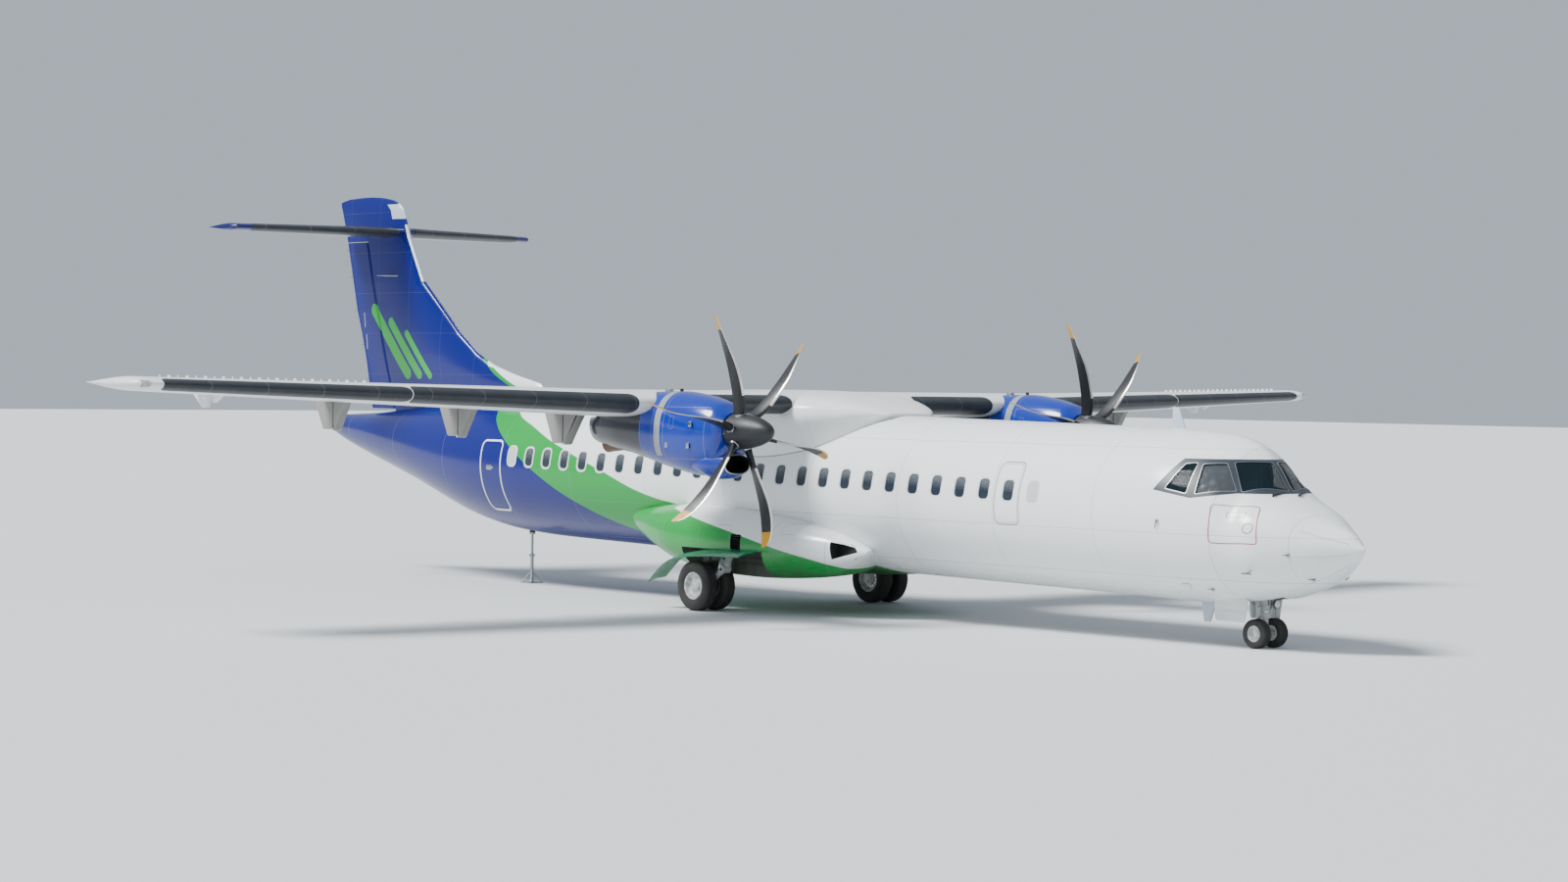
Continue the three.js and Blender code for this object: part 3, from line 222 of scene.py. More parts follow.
def rounded_frame(tree, y, z, middle, half, corner, width):
    """Line of a width along a rounded rectangle in the side view: its middle, half sizes and corner."""
    flat = add(tree, "ShaderNodeCombineXYZ", {"X": y, "Y": z}).outputs[0]
    off = add(tree, "ShaderNodeVectorMath", {0: flat, 1: (*middle, 0)}, operation="SUBTRACT").outputs[0]
    size = add(tree, "ShaderNodeVectorMath", {0: off}, operation="ABSOLUTE").outputs[0]
    past = add(tree, "ShaderNodeVectorMath", {0: size, 1: (half[0] - corner, half[1] - corner, 0)},
               operation="SUBTRACT").outputs[0]
    outer = add(tree, "ShaderNodeVectorMath", {0: past, 1: (0, 0, 0)}, operation="MAXIMUM").outputs[0]
    reach = add(tree, "ShaderNodeVectorMath", {0: outer}, operation="LENGTH").outputs["Value"]
    parts = add(tree, "ShaderNodeSeparateXYZ", {"Vector": past})
    deep = add(tree, "ShaderNodeMath", {0: parts.outputs[0], 1: parts.outputs[1]},
               operation="MAXIMUM").outputs[0]
    inner = add(tree, "ShaderNodeMath", {0: deep, 1: 0.0}, operation="MINIMUM").outputs[0]
    away = add(tree, "ShaderNodeMath", {0: reach, 1: inner}, operation="ADD").outputs[0]
    return add(tree, "ShaderNodeMath", {0: away, 1: corner, 2: width / 2}, operation="COMPARE").outputs[0]


def height_curve(tree, y, points, highest=4.0):
    """Height of a stripe's edge at a place along the hull, from points of station and height."""
    first, last = points[0][0], points[-1][0]
    share = add(tree, "ShaderNodeMapRange", {"Value": y, "From Min": first - HALF_LENGTH,
                                             "From Max": last - HALF_LENGTH})
    curve = add(tree, "ShaderNodeFloatCurve", {"Value": share.outputs[0]})
    line = curve.mapping.curves[0]
    line.points[0].location = (0, points[0][1] / highest)
    line.points[1].location = (1, points[-1][1] / highest)
    for station, z in points[1:-1]:
        line.points.new((station - first) / (last - first), z / highest)
    curve.mapping.update()
    return add(tree, "ShaderNodeMath", {0: curve.outputs[0], 1: highest}, operation="MULTIPLY").outputs[0]


# Edges of the green sweep in the side view: white above the first line, blue below the second.
WHITE_EDGE = ((9.2, 0.0), (9.6, 0.74), (9.83, 0.834), (10.16, 0.92), (11.14, 1.146), (11.78, 1.297),
              (12.65, 1.464), (14.0, 1.71), (15.11, 1.89), (16.47, 2.31), (17.12, 2.5), (17.58, 2.642),
              (18.1, 2.796), (18.84, 3.042), (19.53, 3.249), (20.2, 3.6), (20.5, 3.99))
BLUE_EDGE = ((12.8, 0.0), (13.2, 0.70), (14.3, 0.92), (15.37, 1.11), (16.16, 1.29), (17.38, 1.72),
             (18.43, 2.2), (19.256, 2.616), (19.593, 2.796), (19.987, 3.016), (20.294, 3.22), (20.55, 3.5),
             (20.7, 3.99))


def sweep_colour(tree, y, z):
    """White hull with the green sweep and the blue tail."""
    over_white = add(tree, "ShaderNodeMath", {0: height_curve(tree, y, WHITE_EDGE), 1: z},
                     operation="GREATER_THAN").outputs[0]
    over_blue = add(tree, "ShaderNodeMath", {0: height_curve(tree, y, BLUE_EDGE), 1: z},
                    operation="GREATER_THAN").outputs[0]
    green = add(tree, "ShaderNodeMix", {"Factor": over_white, 6: WHITE, 7: GREEN},
                data_type="RGBA").outputs[2]
    return add(tree, "ShaderNodeMix", {"Factor": over_blue, 6: green, 7: BLUE}, data_type="RGBA").outputs[2]


WINDOW_PITCH = 0.547
WINDOW_LAST = 19.174  # station of the rearmost one
WINDOW_SIZE = (0.25, 0.35)
WINDOW_CORNER = 0.085


def window_height(s):
    return 2.27 + (s - 5.5) * 0.0156


hull_paint, tree, shader = new_material("white_green_blue_hull_enamel", IOR=1.42, Coat_Weight=0.08,
                                        Coat_Roughness=0.08)
place, x, y, z = paint_base(tree)
colour = sweep_colour(tree, y, z)
starboard = add(tree, "ShaderNodeMath", {0: x, 1: 0.0}, operation="LESS_THAN").outputs[0]
service_line = rounded_frame(tree, y, z, (19.895 - HALF_LENGTH, 2.1), (0.345, 0.66), 0.12, 0.035)
doorway = both(tree, service_line, starboard)
shown = add(tree, "ShaderNodeMix", {"Factor": doorway, 6: colour, 7: WHITE}, data_type="RGBA").outputs[2]
boarding_line = rounded_frame(tree, y, z, (19.935 - HALF_LENGTH, 2.245), (0.42, 0.9), 0.14, 0.035)
port = add(tree, "ShaderNodeMath", {0: x, 1: 0.0}, operation="GREATER_THAN").outputs[0]
port_line = both(tree, boarding_line, port)
shown = add(tree, "ShaderNodeMix", {"Factor": port_line, 6: shown, 7: WHITE}, data_type="RGBA").outputs[2]
hatch_line = rounded_frame(tree, y, z, (6.065 - HALF_LENGTH, 2.23), (0.245, 0.465), 0.1, 0.014)
hatch_band = rounded_frame(tree, y, z, (6.065 - HALF_LENGTH, 2.23), (0.275, 0.495), 0.12, 0.02)
shown = add(tree, "ShaderNodeMix", {"Factor": hatch_band, 6: shown, 7: srgb("8E9AA4")},
            data_type="RGBA").outputs[2]
ahead = add(tree, "ShaderNodeMath", {0: y, 1: 17.2 - HALF_LENGTH}, operation="LESS_THAN").outputs[0]
butts = line_at(tree, y, FRAME_PITCH, 0.62, JOINT_WIDTH)
lap_low = add(tree, "ShaderNodeMath", {0: z, 1: 1.735, 2: 0.0035}, operation="COMPARE").outputs[0]
lap_high = add(tree, "ShaderNodeMath", {0: z, 1: 3.02, 2: 0.003}, operation="COMPARE").outputs[0]
lap_belly = add(tree, "ShaderNodeMath", {0: z, 1: 1.05, 2: 0.004}, operation="COMPARE").outputs[0]
laps = both(tree, either(tree, lap_low, lap_high, lap_belly), ahead)
joints = add(tree, "ShaderNodeMath", {0: either(tree, butts, laps, hatch_line), 1: 0.55},
             operation="MULTIPLY").outputs[0]
finish_enamel(tree, shader, shown, place, joints, 1.15, 0.42)


def plain_enamel(name, code, grime_top=1.1, grime=0.4, pitch=1.37, gloss=0.24, across=False):
    """One colour of the same enamel, with joints across the flow at a pitch."""
    material, tree, shader = new_material(name, IOR=1.42, Coat_Weight=0.08, Coat_Roughness=0.1)
    place, x, y = paint_base(tree)[:3]
    lines = line_at(tree, x if across else y, pitch, 0.31, JOINT_WIDTH * 0.7)
    joints = add(tree, "ShaderNodeMath", {0: lines, 1: 0.45}, operation="MULTIPLY").outputs[0]
    tone = add(tree, "ShaderNodeTexNoise", {"Vector": place, "Scale": 0.8, "Detail": 2.0})
    shade = [c * 0.9 for c in srgb(code)[:3]] + [1.0]
    colour = add(tree, "ShaderNodeMix", {"Factor": tone.outputs["Fac"], 6: srgb(code), 7: shade},
                 data_type="RGBA")
    finish_enamel(tree, shader, colour.outputs[2], place, joints, grime_top, grime, gloss)
    return material

# The fuselage skin: aluminium sheet flush-riveted on frames, in six ring sections butted end to end.
# Each is a wall lofted through the frames' outlines, with its windows, doors and bays cut out after.
SIDES = ((-1, "starboard"), (1, "port"))
HULL = (  # station, half width, top, widest, bottom, fullness of the upper half
    (0, 0.02, 1.6, 1.575, 1.55, 2), (0.06, 0.085, 1.645, 1.568, 1.465, 2),
    (0.25, 0.275, 1.796, 1.566, 1.285, 1.9),
    (0.6, 0.615, 1.954, 1.602, 1.042, 2), (1.0, 0.89, 2.154, 1.675, 0.881, 2.4),
    (1.4, 1.08, 2.377, 1.73, 0.765, 2.05), (1.75, 1.14, 2.826, 1.785, 0.709, 1.45),
    (2.1, 1.245, 3.1, 1.84, 0.685, 1.65), (2.6, 1.34, 3.241, 1.9, 0.645, 1.9),
    (3.3, 1.405, 3.3, 1.96, 0.636, 2),
    (4.2, 1.432, 3.318, 1.994, 0.659, 2), (9.77, 1.432, 3.4, 2.07, 0.745, 2),
    (16.8, 1.432, 3.53, 2.22, 0.905, 2),
    (19.1, 1.385, 3.56, 2.27, 0.955, 2), (20.3, 1.305, 3.56, 2.31, 1.025, 2),
    (21.0, 1.235, 3.54, 2.345, 1.12, 2),
    (21.7, 1.145, 3.5, 2.4, 1.26, 2), (22.45, 1.03, 3.45, 2.48, 1.47, 2), (23.4, 0.875, 3.38, 2.6, 1.765, 2),
    (24.4, 0.69, 3.29, 2.72, 2.035, 2), (25.4, 0.5, 3.205, 2.83, 2.29, 2),
    (26.48, 0.27, 3.155, 2.9, 2.59, 2),
    (26.86, 0.185, 3.14, 2.93, 2.72, 2), (27.166, 0.06, 2.925, 2.865, 2.825, 2))
HULL_SEGMENTS = 112
SKIN = 0.045  # sheet, stringers and lining pan together


def smooth(table, column, s):
    """Value of a table's column at a station, on a curve that never overshoots its points."""
    last = len(table) - 1
    if s <= table[0][0]:
        return table[0][column]
    if s >= table[last][0]:
        return table[last][column]

    def slope(i):
        return (table[i + 1][column] - table[i][column]) / (table[i + 1][0] - table[i][0])

    def tangent(i):
        if i in (0, last):
            return slope(min(i, last - 1))
        before, after = slope(i - 1), slope(i)
        return 0 if before * after <= 0 else 2 * before * after / (before + after)

    i = max(k for k in range(last) if table[k][0] <= s)
    step = table[i + 1][0] - table[i][0]
    t = (s - table[i][0]) / step
    return ((2 * t ** 3 - 3 * t ** 2 + 1) * table[i][column] + (t ** 3 - 2 * t ** 2 + t) * step * tangent(i)
            + (3 * t ** 2 - 2 * t ** 3) * table[i + 1][column] + (t ** 3 - t ** 2) * step * tangent(i + 1))


def power(value, fullness):
    """Point on a curve between an ellipse (2) and a box."""
    return math.copysign(abs(value) ** (2 / fullness), value)


def spot(x, s, z):
    """Point at a station of the aircraft, which runs from the nose's tip."""
    return Vector((x, s - HALF_LENGTH, z))


def hull_point(s, turn, grow=0.0):
    """Point of the hull at a station, at a share of the way round from the top."""
    half, top, widest, bottom, fullness = (smooth(HULL, c, s) for c in range(1, 6))
    across, up = math.sin(turn * math.tau), math.cos(turn * math.tau)
    n = fullness if up > 0 else 2
    reach = top + grow - widest if up > 0 else widest - bottom + grow
    return spot((half + grow) * power(across, n), s, widest + reach * power(up, n))


def skin_x(s, z, grow=0.0):
    """Half width of the hull at a station and height."""
    half, top, widest, bottom, fullness = (smooth(HULL, c, s) for c in range(1, 6))
    rise = (z - widest) / (top + grow - widest) if z > widest else (widest - z) / (widest - bottom + grow)
    n = fullness if z > widest else 2
    return (half + grow) * (1 - min(1, abs(rise)) ** n) ** (1 / n)


def loft(stations, place, segments=64, caps=True, ends=False):
    """A ring extruded from station to station and put in its place at each.

    With ends, the ring's first and last points lie at shares 0 and 1.
    """
    bm = bmesh.new()
    share = bm.verts.layers.float.new("share")
    ring = bmesh.ops.create_circle(bm, segments=segments, radius=1)["verts"]
    for i, vert in enumerate(ring):
        vert[share] = i / (segments - 1) if ends else (i + 0.5) / segments
        vert.co = place(stations[0], vert[share])
    edges = list(bm.edges)
    first_ring = edges
    for station in stations[1:]:
        grown = bmesh.ops.extrude_edge_only(bm, edges=edges)["geom"]
        ring = [g for g in grown if isinstance(g, bmesh.types.BMVert)]
        fresh = set(ring)
        edges = [g for g in grown if isinstance(g, bmesh.types.BMEdge) and set(g.verts) <= fresh]
        for vert in ring:
            vert.co = place(station, vert[share])
    if caps:
        for loop in (first_ring, edges):
            bmesh.ops.contextual_create(bm, geom=loop)
    bmesh.ops.remove_doubles(bm, verts=bm.verts, dist=2e-5)
    bmesh.ops.recalc_face_normals(bm, faces=bm.faces)
    return bm


def round_edges(bm, edges, offset, segments=2):
    """Rounds some edges of a mesh."""
    bmesh.ops.bevel(bm, geom=edges, offset=offset, affect="EDGES", segments=segments, profile=0.5,
                    material=-1)


def merge(total, part):
    """Adds a finished mesh to another one."""
    held = bpy.data.meshes.new("held")
    part.to_mesh(held)
    part.free()
    total.from_mesh(held)
    bpy.data.meshes.remove(held)


def joined(*meshes):
    """One mesh of several closed ones."""
    total = bmesh.new()
    for bm in meshes:
        merge(total, bm)
    return total


def new_piece(name, bm, material, body="airframe", stands_for=(), sharp=32):
    """Object of a finished mesh, that rides on a body and stands for solids."""
    mesh = bpy.data.meshes.new(name)
    bm.to_mesh(mesh)
    bm.free()
    mesh.materials.append(material)
    mesh.shade_smooth()
    mesh.set_sharp_from_angle(angle=math.radians(sharp))
    piece = bpy.data.objects.new(name, mesh)
    scene.collection.objects.link(piece)
    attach(piece, body)
    if stands_for:
        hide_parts(*stands_for)
    return piece


def carve(piece, cutter, operation="DIFFERENCE", sharp=32):
    """Cuts a mesh out of a piece, or keeps what lies in it, and removes the cutter."""
    mesh = bpy.data.meshes.new("cutter")
    cutter.to_mesh(mesh)
    cutter.free()
    tool = bpy.data.objects.new("cutter", mesh)
    scene.collection.objects.link(tool)
    cut = piece.modifiers.new("cut", "BOOLEAN")
    cut.operation = operation
    cut.object = tool
    cut.solver = "EXACT"
    depsgraph = bpy.context.evaluated_depsgraph_get()
    result = bpy.data.meshes.new_from_object(piece.evaluated_get(depsgraph))
    piece.modifiers.clear()
    piece.data = result
    result.set_sharp_from_angle(angle=math.radians(sharp))
    bpy.data.objects.remove(tool)
    return piece


def spaced(start, end, step):
    """Even stations from one to another, at about a step apart."""
    count = max(1, round(abs(end - start) / step))
    return [start + (end - start) * i / count for i in range(count + 1)]


def hull_stations(start, end):
    """Stations of a stretch of hull, closer together where it curves."""
    marks = [s for s in spaced(0, 0.3, 0.025) + spaced(0.35, 4.2, 0.055) + spaced(4.5, 19, 0.5)
             + spaced(19.25, 26.8, 0.25) + spaced(26.85, 27.166, 0.05) if start + 0.01 < s < end - 0.01]
    return [start, *marks, end]


def hull_wall(start, end, outer=0.0, inner=-SKIN):
    """Wall of hull between two stations, out along its outside and back along its inside."""
    out = [(s, outer) for s in hull_stations(start, end)]
    back = [(s, inner) for s in reversed(hull_stations(start, end))]
    return loft(out + back + out[:1], lambda at, turn: hull_point(at[0], turn, at[1]), HULL_SEGMENTS,
                caps=False)


def hull_body(stations, grow=0.0):
    """Closed body with the hull's outline at each station, larger than the hull by grow."""
    return loft(stations, lambda s, turn: hull_point(s, turn, grow), HULL_SEGMENTS)


def add_prism(bm, outline, x0, x1, corner=0.0, segments=5):
    """Adds to a mesh a plate of a side-view outline of station and height, its corners rounded."""
    verts = [bm.verts.new((x0, s - HALF_LENGTH, z)) for s, z in outline]
    face = bm.faces.new(verts)
    grown = bmesh.ops.extrude_face_region(bm, geom=[face])["geom"]
    moved = [g for g in grown if isinstance(g, bmesh.types.BMVert)]
    bmesh.ops.translate(bm, verts=moved, vec=(x1 - x0, 0, 0))
    fresh = set(verts) | set(moved)
    if corner:
        own = [e for e in bm.edges if set(e.verts) <= fresh]
        round_edges(bm, [e for e in own if abs(e.verts[0].co.x - e.verts[1].co.x) > 1e-6], corner, segments)
    return bm


def rectangle(s0, s1, z0, z1):
    """Corners of a rectangle in the side view."""
    return [(s0, z0), (s1, z0), (s1, z1), (s0, z1)]


def window_cutters(grow, sides=(-1, 1), first=0, last=25):
    """Cutters of the cabin windows, larger than the openings by grow."""
    bm = bmesh.new()
    for side in sides:
        for k in range(first, last + 1):
            s = WINDOW_LAST - WINDOW_PITCH * k
            width, height = (v / 2 + grow for v in WINDOW_SIZE)
            z = window_height(s)
            add_prism(bm, rectangle(s - width, s + width, z - height, z + height), side * 1.2, side * 1.6,
                      WINDOW_CORNER + grow)
    bmesh.ops.recalc_face_normals(bm, faces=bm.faces)
    return bm


def plate(outline, x0, x1, corner=0.0, segments=5):
    """Closed plate of a side-view outline between two places across, to build or to carve with."""
    bm = add_prism(bmesh.new(), outline, x0, x1, corner, segments)
    bmesh.ops.recalc_face_normals(bm, faces=bm.faces)
    return bm


JOINS = (0.82, 3.56, 7.4, 16.9, 21.9)  # stations of the butt joints
GAP = 0.0004  # between the skins of two sections
SPLIT = 0.0003  # between the parts of one skin
BOARDING = (19.56, 20.31, 1.4, 3.09)  # doors: first and last station, lowest and highest
SERVICE = (19.59, 20.2, 1.49, 2.71)
CARGO = (3.9, 5.175, 1.4, 2.93)
PLAY = 0.012  # round a part that moves
SEAL = 0.004  # round the door that is shut for good
TAIL_END = 27.166
GLAZING = ((1.15, 2.365), (1.8, 2.365), (2.38, 2.285), (3.05, 2.392), (2.745, 2.872), (1.15, 2.872))
NOSE_BAY = (1.33, 2.56, 0.3, 1.18)
CARGO_HOLE = rectangle(CARGO[0] - PLAY, CARGO[1] + PLAY, CARGO[2] - PLAY, CARGO[3] + PLAY)
BOARDING_HOLE = rectangle(BOARDING[0] - PLAY, BOARDING[1] + 2 * PLAY, BOARDING[2] - PLAY, BOARDING[3] + PLAY)

nose_skin = new_piece("nose_skin", hull_wall(JOINS[0] + GAP, JOINS[1]), hull_paint,
                      stands_for=["fuselage_nose"])
carve(nose_skin, plate(GLAZING, -1.6, 1.6))
carve(nose_skin, plate(rectangle(*NOSE_BAY), -0.27, 0.27, 0.03))
front_skin = new_piece("front_skin", hull_wall(JOINS[1] + GAP, JOINS[2]), hull_paint,
                       stands_for=["fuselage_front"])
centre_skin = new_piece("centre_skin", hull_wall(JOINS[2] + GAP, JOINS[3]), hull_paint,
                        stands_for=["fuselage_centre"])
rear_skin = new_piece("rear_skin", hull_wall(JOINS[3] + GAP, JOINS[4]), hull_paint,
                      stands_for=["fuselage_rear"])
for skin in (front_skin, centre_skin, rear_skin):
    carve(skin, window_cutters(0.0))
carve(front_skin, plate(CARGO_HOLE, 0.6, 1.7, 0.09))
carve(rear_skin, plate(BOARDING_HOLE, 0.6, 1.7, 0.13))
carve(rear_skin, plate(rectangle(SERVICE[0] - SEAL, SERVICE[1] + SEAL, SERVICE[2] - SEAL, SERVICE[3] + SEAL),
                       -1.7, -0.6, 0.12))
new_piece("tail_cone_skin", hull_body(hull_stations(JOINS[4] + GAP, TAIL_END)), hull_paint,
          stands_for=["tail_cone"])
new_piece("radome_shell", hull_body(hull_stations(0, JOINS[0] - 0.004)), hull_paint,
          stands_for=["radome"])

# Cabin windows: a stretched-acrylic pane behind each opening, held by an alloy frame with a rubber
# seal. The first and the last openings are closed by painted plugs, as there is no seat row there.
# The panes are opaque: dark grey where the unlit cabin shows behind them, painted shade, and pale where a
# blind is down.
pane_with_cabin_shade, tree, shader = new_material("cabin_window_acrylic_with_painted_shade", IOR=1.49, Roughness=0.06)
place, x, y, z = paint_base(tree)
cycle = add(tree, "ShaderNodeMath",
            {0: y, 1: 100 * WINDOW_PITCH - WINDOW_LAST + HALF_LENGTH + WINDOW_PITCH / 2},
            operation="ADD")
number = add(tree, "ShaderNodeMath", {0: cycle.outputs[0], 1: WINDOW_PITCH}, operation="DIVIDE")
whole = add(tree, "ShaderNodeMath", {0: number.outputs[0]}, operation="FLOOR")
row = add(tree, "ShaderNodeCombineXYZ", {"X": whole.outputs[0], "Y": x})
luck = add(tree, "ShaderNodeTexWhiteNoise", {"Vector": row.outputs[0]}, noise_dimensions="3D")
sill = add(tree, "ShaderNodeMath", {0: y, 1: 0.0156, 2: 2.27 + (HALF_LENGTH - 5.5) * 0.0156},
           operation="MULTIPLY_ADD")
above = add(tree, "ShaderNodeMath", {0: z, 1: sill.outputs[0]}, operation="SUBTRACT")
drop = add(tree, "ShaderNodeMapRange", {"Value": luck.outputs["Value"], "To Min": -0.04, "To Max": 0.5})
shaded = add(tree, "ShaderNodeMath", {0: above.outputs[0], 1: drop.outputs[0]}, operation="GREATER_THAN")
vary_colour(shader, shaded.outputs[0], "2A333B", "8C9397")
seal_rubber = uneven_material("pale_window_seal_rubber", 300.0, grain=(0.15, 0.001),
                              Base_Color=srgb("C9CDCF"), Roughness=0.55)
plug_paint = plain_enamel("light_grey_plug_enamel", "C6CACC", 0.0, 0.1)

border_white = plain_enamel("white_window_border_enamel", "F0F2F2", 0.0, 0.0)
WINDOW_SPAN = (5.2, 19.5)
for side, side_name in SIDES:
    panes = new_piece(f"cabin_panes_{side_name}", hull_wall(*WINDOW_SPAN, -0.016, -0.026), pane_with_cabin_shade)
    carve(panes, window_cutters(0.008, (side,), 1, 24), "INTERSECT")
    rims = new_piece(f"cabin_window_frames_{side_name}", hull_wall(*WINDOW_SPAN, -0.003, -0.034),
                     seal_rubber)
    carve(rims, window_cutters(-0.0005, (side,), 0, 25), "INTERSECT")
    carve(rims, window_cutters(-0.014, (side,), 0, 25))
    borders = new_piece(f"window_borders_{side_name}", hull_wall(*WINDOW_SPAN, 0.0012, -0.003), border_white)
    carve(borders, window_cutters(0.024, (side,), 0, 25), "INTERSECT")
    carve(borders, window_cutters(0.001, (side,), 0, 25))
    plugs = new_piece(f"window_plugs_{side_name}", hull_wall(*WINDOW_SPAN, -0.005, -0.02), plug_paint)
    carve(plugs, joined(*(window_cutters(-0.0135, (side,), k, k) for k in (0, 25))), "INTERSECT")

# Windscreen: six heated laminated panes in a dark-painted frame that follows the hull. The front two
# are flat, the side two slide, and small quarter panes close the band behind them.
PANES = (  # name, corners on the starboard side: across, station, height
    ("front", ((0.592, 2.048, 2.824), (0.05, 1.753, 2.828), (0.05, 1.426, 2.399), (0.759, 1.752, 2.383))),
    ("side", ((0.889, 2.41, 2.794), (0.669, 2.114, 2.811), (0.805, 1.815, 2.399), (1.176, 2.333, 2.338))),
    ("quarter", ((1.27, 2.85, 2.413), (0.976, 2.67, 2.795), (0.904, 2.483, 2.804), (1.22, 2.462, 2.342))))


def pane_cutter(corners, side, grow, corner=0.03):
    """Block across a pane's four corners, larger than the pane by grow."""
    bm = bmesh.new()
    points = [spot(side * x, s, z) for x, s, z in corners]
    middle = sum(points, Vector()) / 4
    normal = (points[2] - points[0]).cross(points[3] - points[1]).normalized()
    verts = []
    for point in points:
        out = point - middle
        verts.append(bm.verts.new(point + out.normalized() * grow * 1.4 - normal * 0.16))
    face = bm.faces.new(verts)
    grown = bmesh.ops.extrude_face_region(bm, geom=[face])["geom"]
    moved = [g for g in grown if isinstance(g, bmesh.types.BMVert)]
    bmesh.ops.translate(bm, verts=moved, vec=normal * 0.32)
    rims = [e for e in bm.edges if (e.verts[0] in moved) != (e.verts[1] in moved)]
    round_edges(bm, rims, corner, 4)
    bmesh.ops.recalc_face_normals(bm, faces=bm.faces)
    return bm


def all_panes(grow):
    """Cutters of all six panes in one mesh."""
    return joined(*(pane_cutter(corners, side, grow) for side in (-1, 1) for _, corners in PANES))


frame_paint = uneven_material("dark_blue_grey_windscreen_frame_paint", 14.0, colours=("1F262C", "39434B"),
                              detail=5.0, Roughness=0.4)
windscreen_glass = uneven_material("laminated_windscreen_glass", 9.0, gloss=(0.02, 0.09), detail=4.0,
                                   Base_Color=srgb("1E2A31"), IOR=1.3, Roughness=0.03, Alpha=0.5,
                                   Specular_IOR_Level=0.15)

band = new_piece("windscreen_frame", hull_wall(1.16, 3.2, 0.002, -0.04), frame_paint,
                 stands_for=["cockpit_glazing"])
carve(band, plate(GLAZING, -1.58, 1.58), "INTERSECT")
carve(band, all_panes(0.0))
glass = new_piece("windscreen_panes", hull_wall(1.16, 3.2, -0.004, -0.018), windscreen_glass)
carve(glass, all_panes(0.012), "INTERSECT")
retainers = new_piece("windscreen_retainers", hull_wall(1.16, 3.2, 0.004, -0.006), new_material(
    "satin_aluminium_retainer", Base_Color=srgb("A9ADAF"), Metallic=1.0, Roughness=0.35)[0])
carve(retainers, all_panes(0.004), "INTERSECT")
carve(retainers, all_panes(-0.006))

# Silver sunshade that the crew hangs inside the starboard sliding pane: a sheet of foil-faced foam,
# creased where it has been rolled up, and held by its own spring against the frame.
foil, tree, shader = new_material("crumpled_foil_sunshade", Metallic=0.15)
crease = add(tree, "ShaderNodeTexVoronoi", {"Vector": paint_base(tree)[0], "Scale": 9.0},
             feature="SMOOTH_F1")
vary_grain(shader, crease.outputs["Distance"], 0.5, 0.03)
vary_colour(shader, crease.outputs["Distance"], "FFFFFF", "C9D0DA")
vary_gloss(shader, crease.outputs["Distance"], 0.25, 0.5)
shade = new_piece("sunshade", hull_wall(1.7, 2.5, -0.03, -0.036), foil)
carve(shade, pane_cutter(PANES[1][1], -1, -0.006), "INTERSECT")


def add_rod(bm, start, end, radius, end_radius=None, segments=14):
    """Adds a round rod between two points, in model coordinates."""
    start, end = Vector(start), Vector(end)
    along = end - start
    turn = along.to_track_quat("Z", "Y").to_matrix().to_4x4()
    shift = Matrix.Translation((start + end) / 2) @ turn
    bmesh.ops.create_cone(bm, cap_ends=True, cap_tris=False, segments=segments, radius1=radius,
                          radius2=radius if end_radius is None else end_radius, depth=along.length,
                          matrix=shift)


def add_cube(bm, matrix, bevel=0.0):
    """Adds a cube that a matrix stretches and puts in place, its edges bevelled."""
    verts = bmesh.ops.create_cube(bm, size=1, matrix=matrix)["verts"]
    if bevel:
        round_edges(bm, list({e for v in verts for e in v.link_edges}), bevel)


def add_block(bm, low, high, bevel=0.0, turn=None):
    """Adds a block between two corners, in model coordinates, its edges bevelled."""
    size = [b - a for a, b in zip(low, high)]
    middle = Vector([(a + b) / 2 for a, b in zip(low, high)])
    add_cube(bm, Matrix.Translation(middle) @ (turn or Matrix()) @ Matrix.Diagonal((*size, 1)), bevel)


def on_hull(side, s, z, lift=0.0):
    """Point of the hull's side at a station and height, lifted off it."""
    return spot(side * (skin_x(s, z) + lift), s, z)


# Access panels on the starboard side of the nose: a service hatch, a round ground-power port and an
# oval one over it, each with a thin red outline painted round its edge.
outline_red = uneven_material("faded_red_outline_enamel", 12.0, colours=("8C2F38", "A9676A"), detail=4.0,
                              Roughness=0.4)


def on_skin(s0, s1, z0, z1):
    """Corners of a patch of hull for pane_cutter, from its stations and heights."""
    return [(skin_x(s, z), s, z) for s, z in ((s1, z1), (s0, z1), (s0, z0), (s1, z0))]


HATCH = ((1.117, 2.039, 2.2), (0.77, 1.364, 2.173), (1.011, 1.231, 1.625), (1.2, 2.011, 1.624))
for name, corners, corner, half in (("service_hatch_outline", HATCH, 0.05, 0.008),
                                    ("round_port_outline", on_skin(1.31, 1.458, 1.79, 1.93), 0.06, 0.007),
                                    ("oval_port_outline", on_skin(1.486, 1.796, 2.015, 2.1), 0.034, 0.005)):
    ring = new_piece(name, hull_wall(1.1, 2.2, 0.001, -0.002), outline_red)
    carve(ring, pane_cutter(corners, -1, half, corner + half), "INTERSECT")
    carve(ring, pane_cutter(corners, -1, -half, corner - half))

# Wipers: a sprung arm and a rubber blade at the foot of each front pane, turned by a shaft that comes
# up through the skin. They are steel pressings in matt black, and park low, along the frame.
matt_black = uneven_material("matt_black_enamel", 60.0, gloss=(0.42, 0.68), Base_Color=srgb("17181A"),
                             Roughness=0.55)
bm = bmesh.new()
for foot, tip in (((-0.441, 1.411, 2.332), (-0.165, 1.404, 2.373)),
                  ((0.069, 1.333, 2.328), (0.554, 1.541, 2.403))):
    foot, tip = (spot(x, s, z) for x, s, z in (foot, tip))
    off = Vector((0, -0.5, 0.87))
    add_rod(bm, foot - off * 0.02, foot + off * 0.03, 0.02)
    add_rod(bm, foot + off * 0.024, foot.lerp(tip, 0.55) + off * 0.022, 0.011, 0.008)
    add_rod(bm, foot.lerp(tip, 0.12) + off * 0.008, tip + off * 0.008, 0.008)
new_piece("wipers", bm, matt_black)

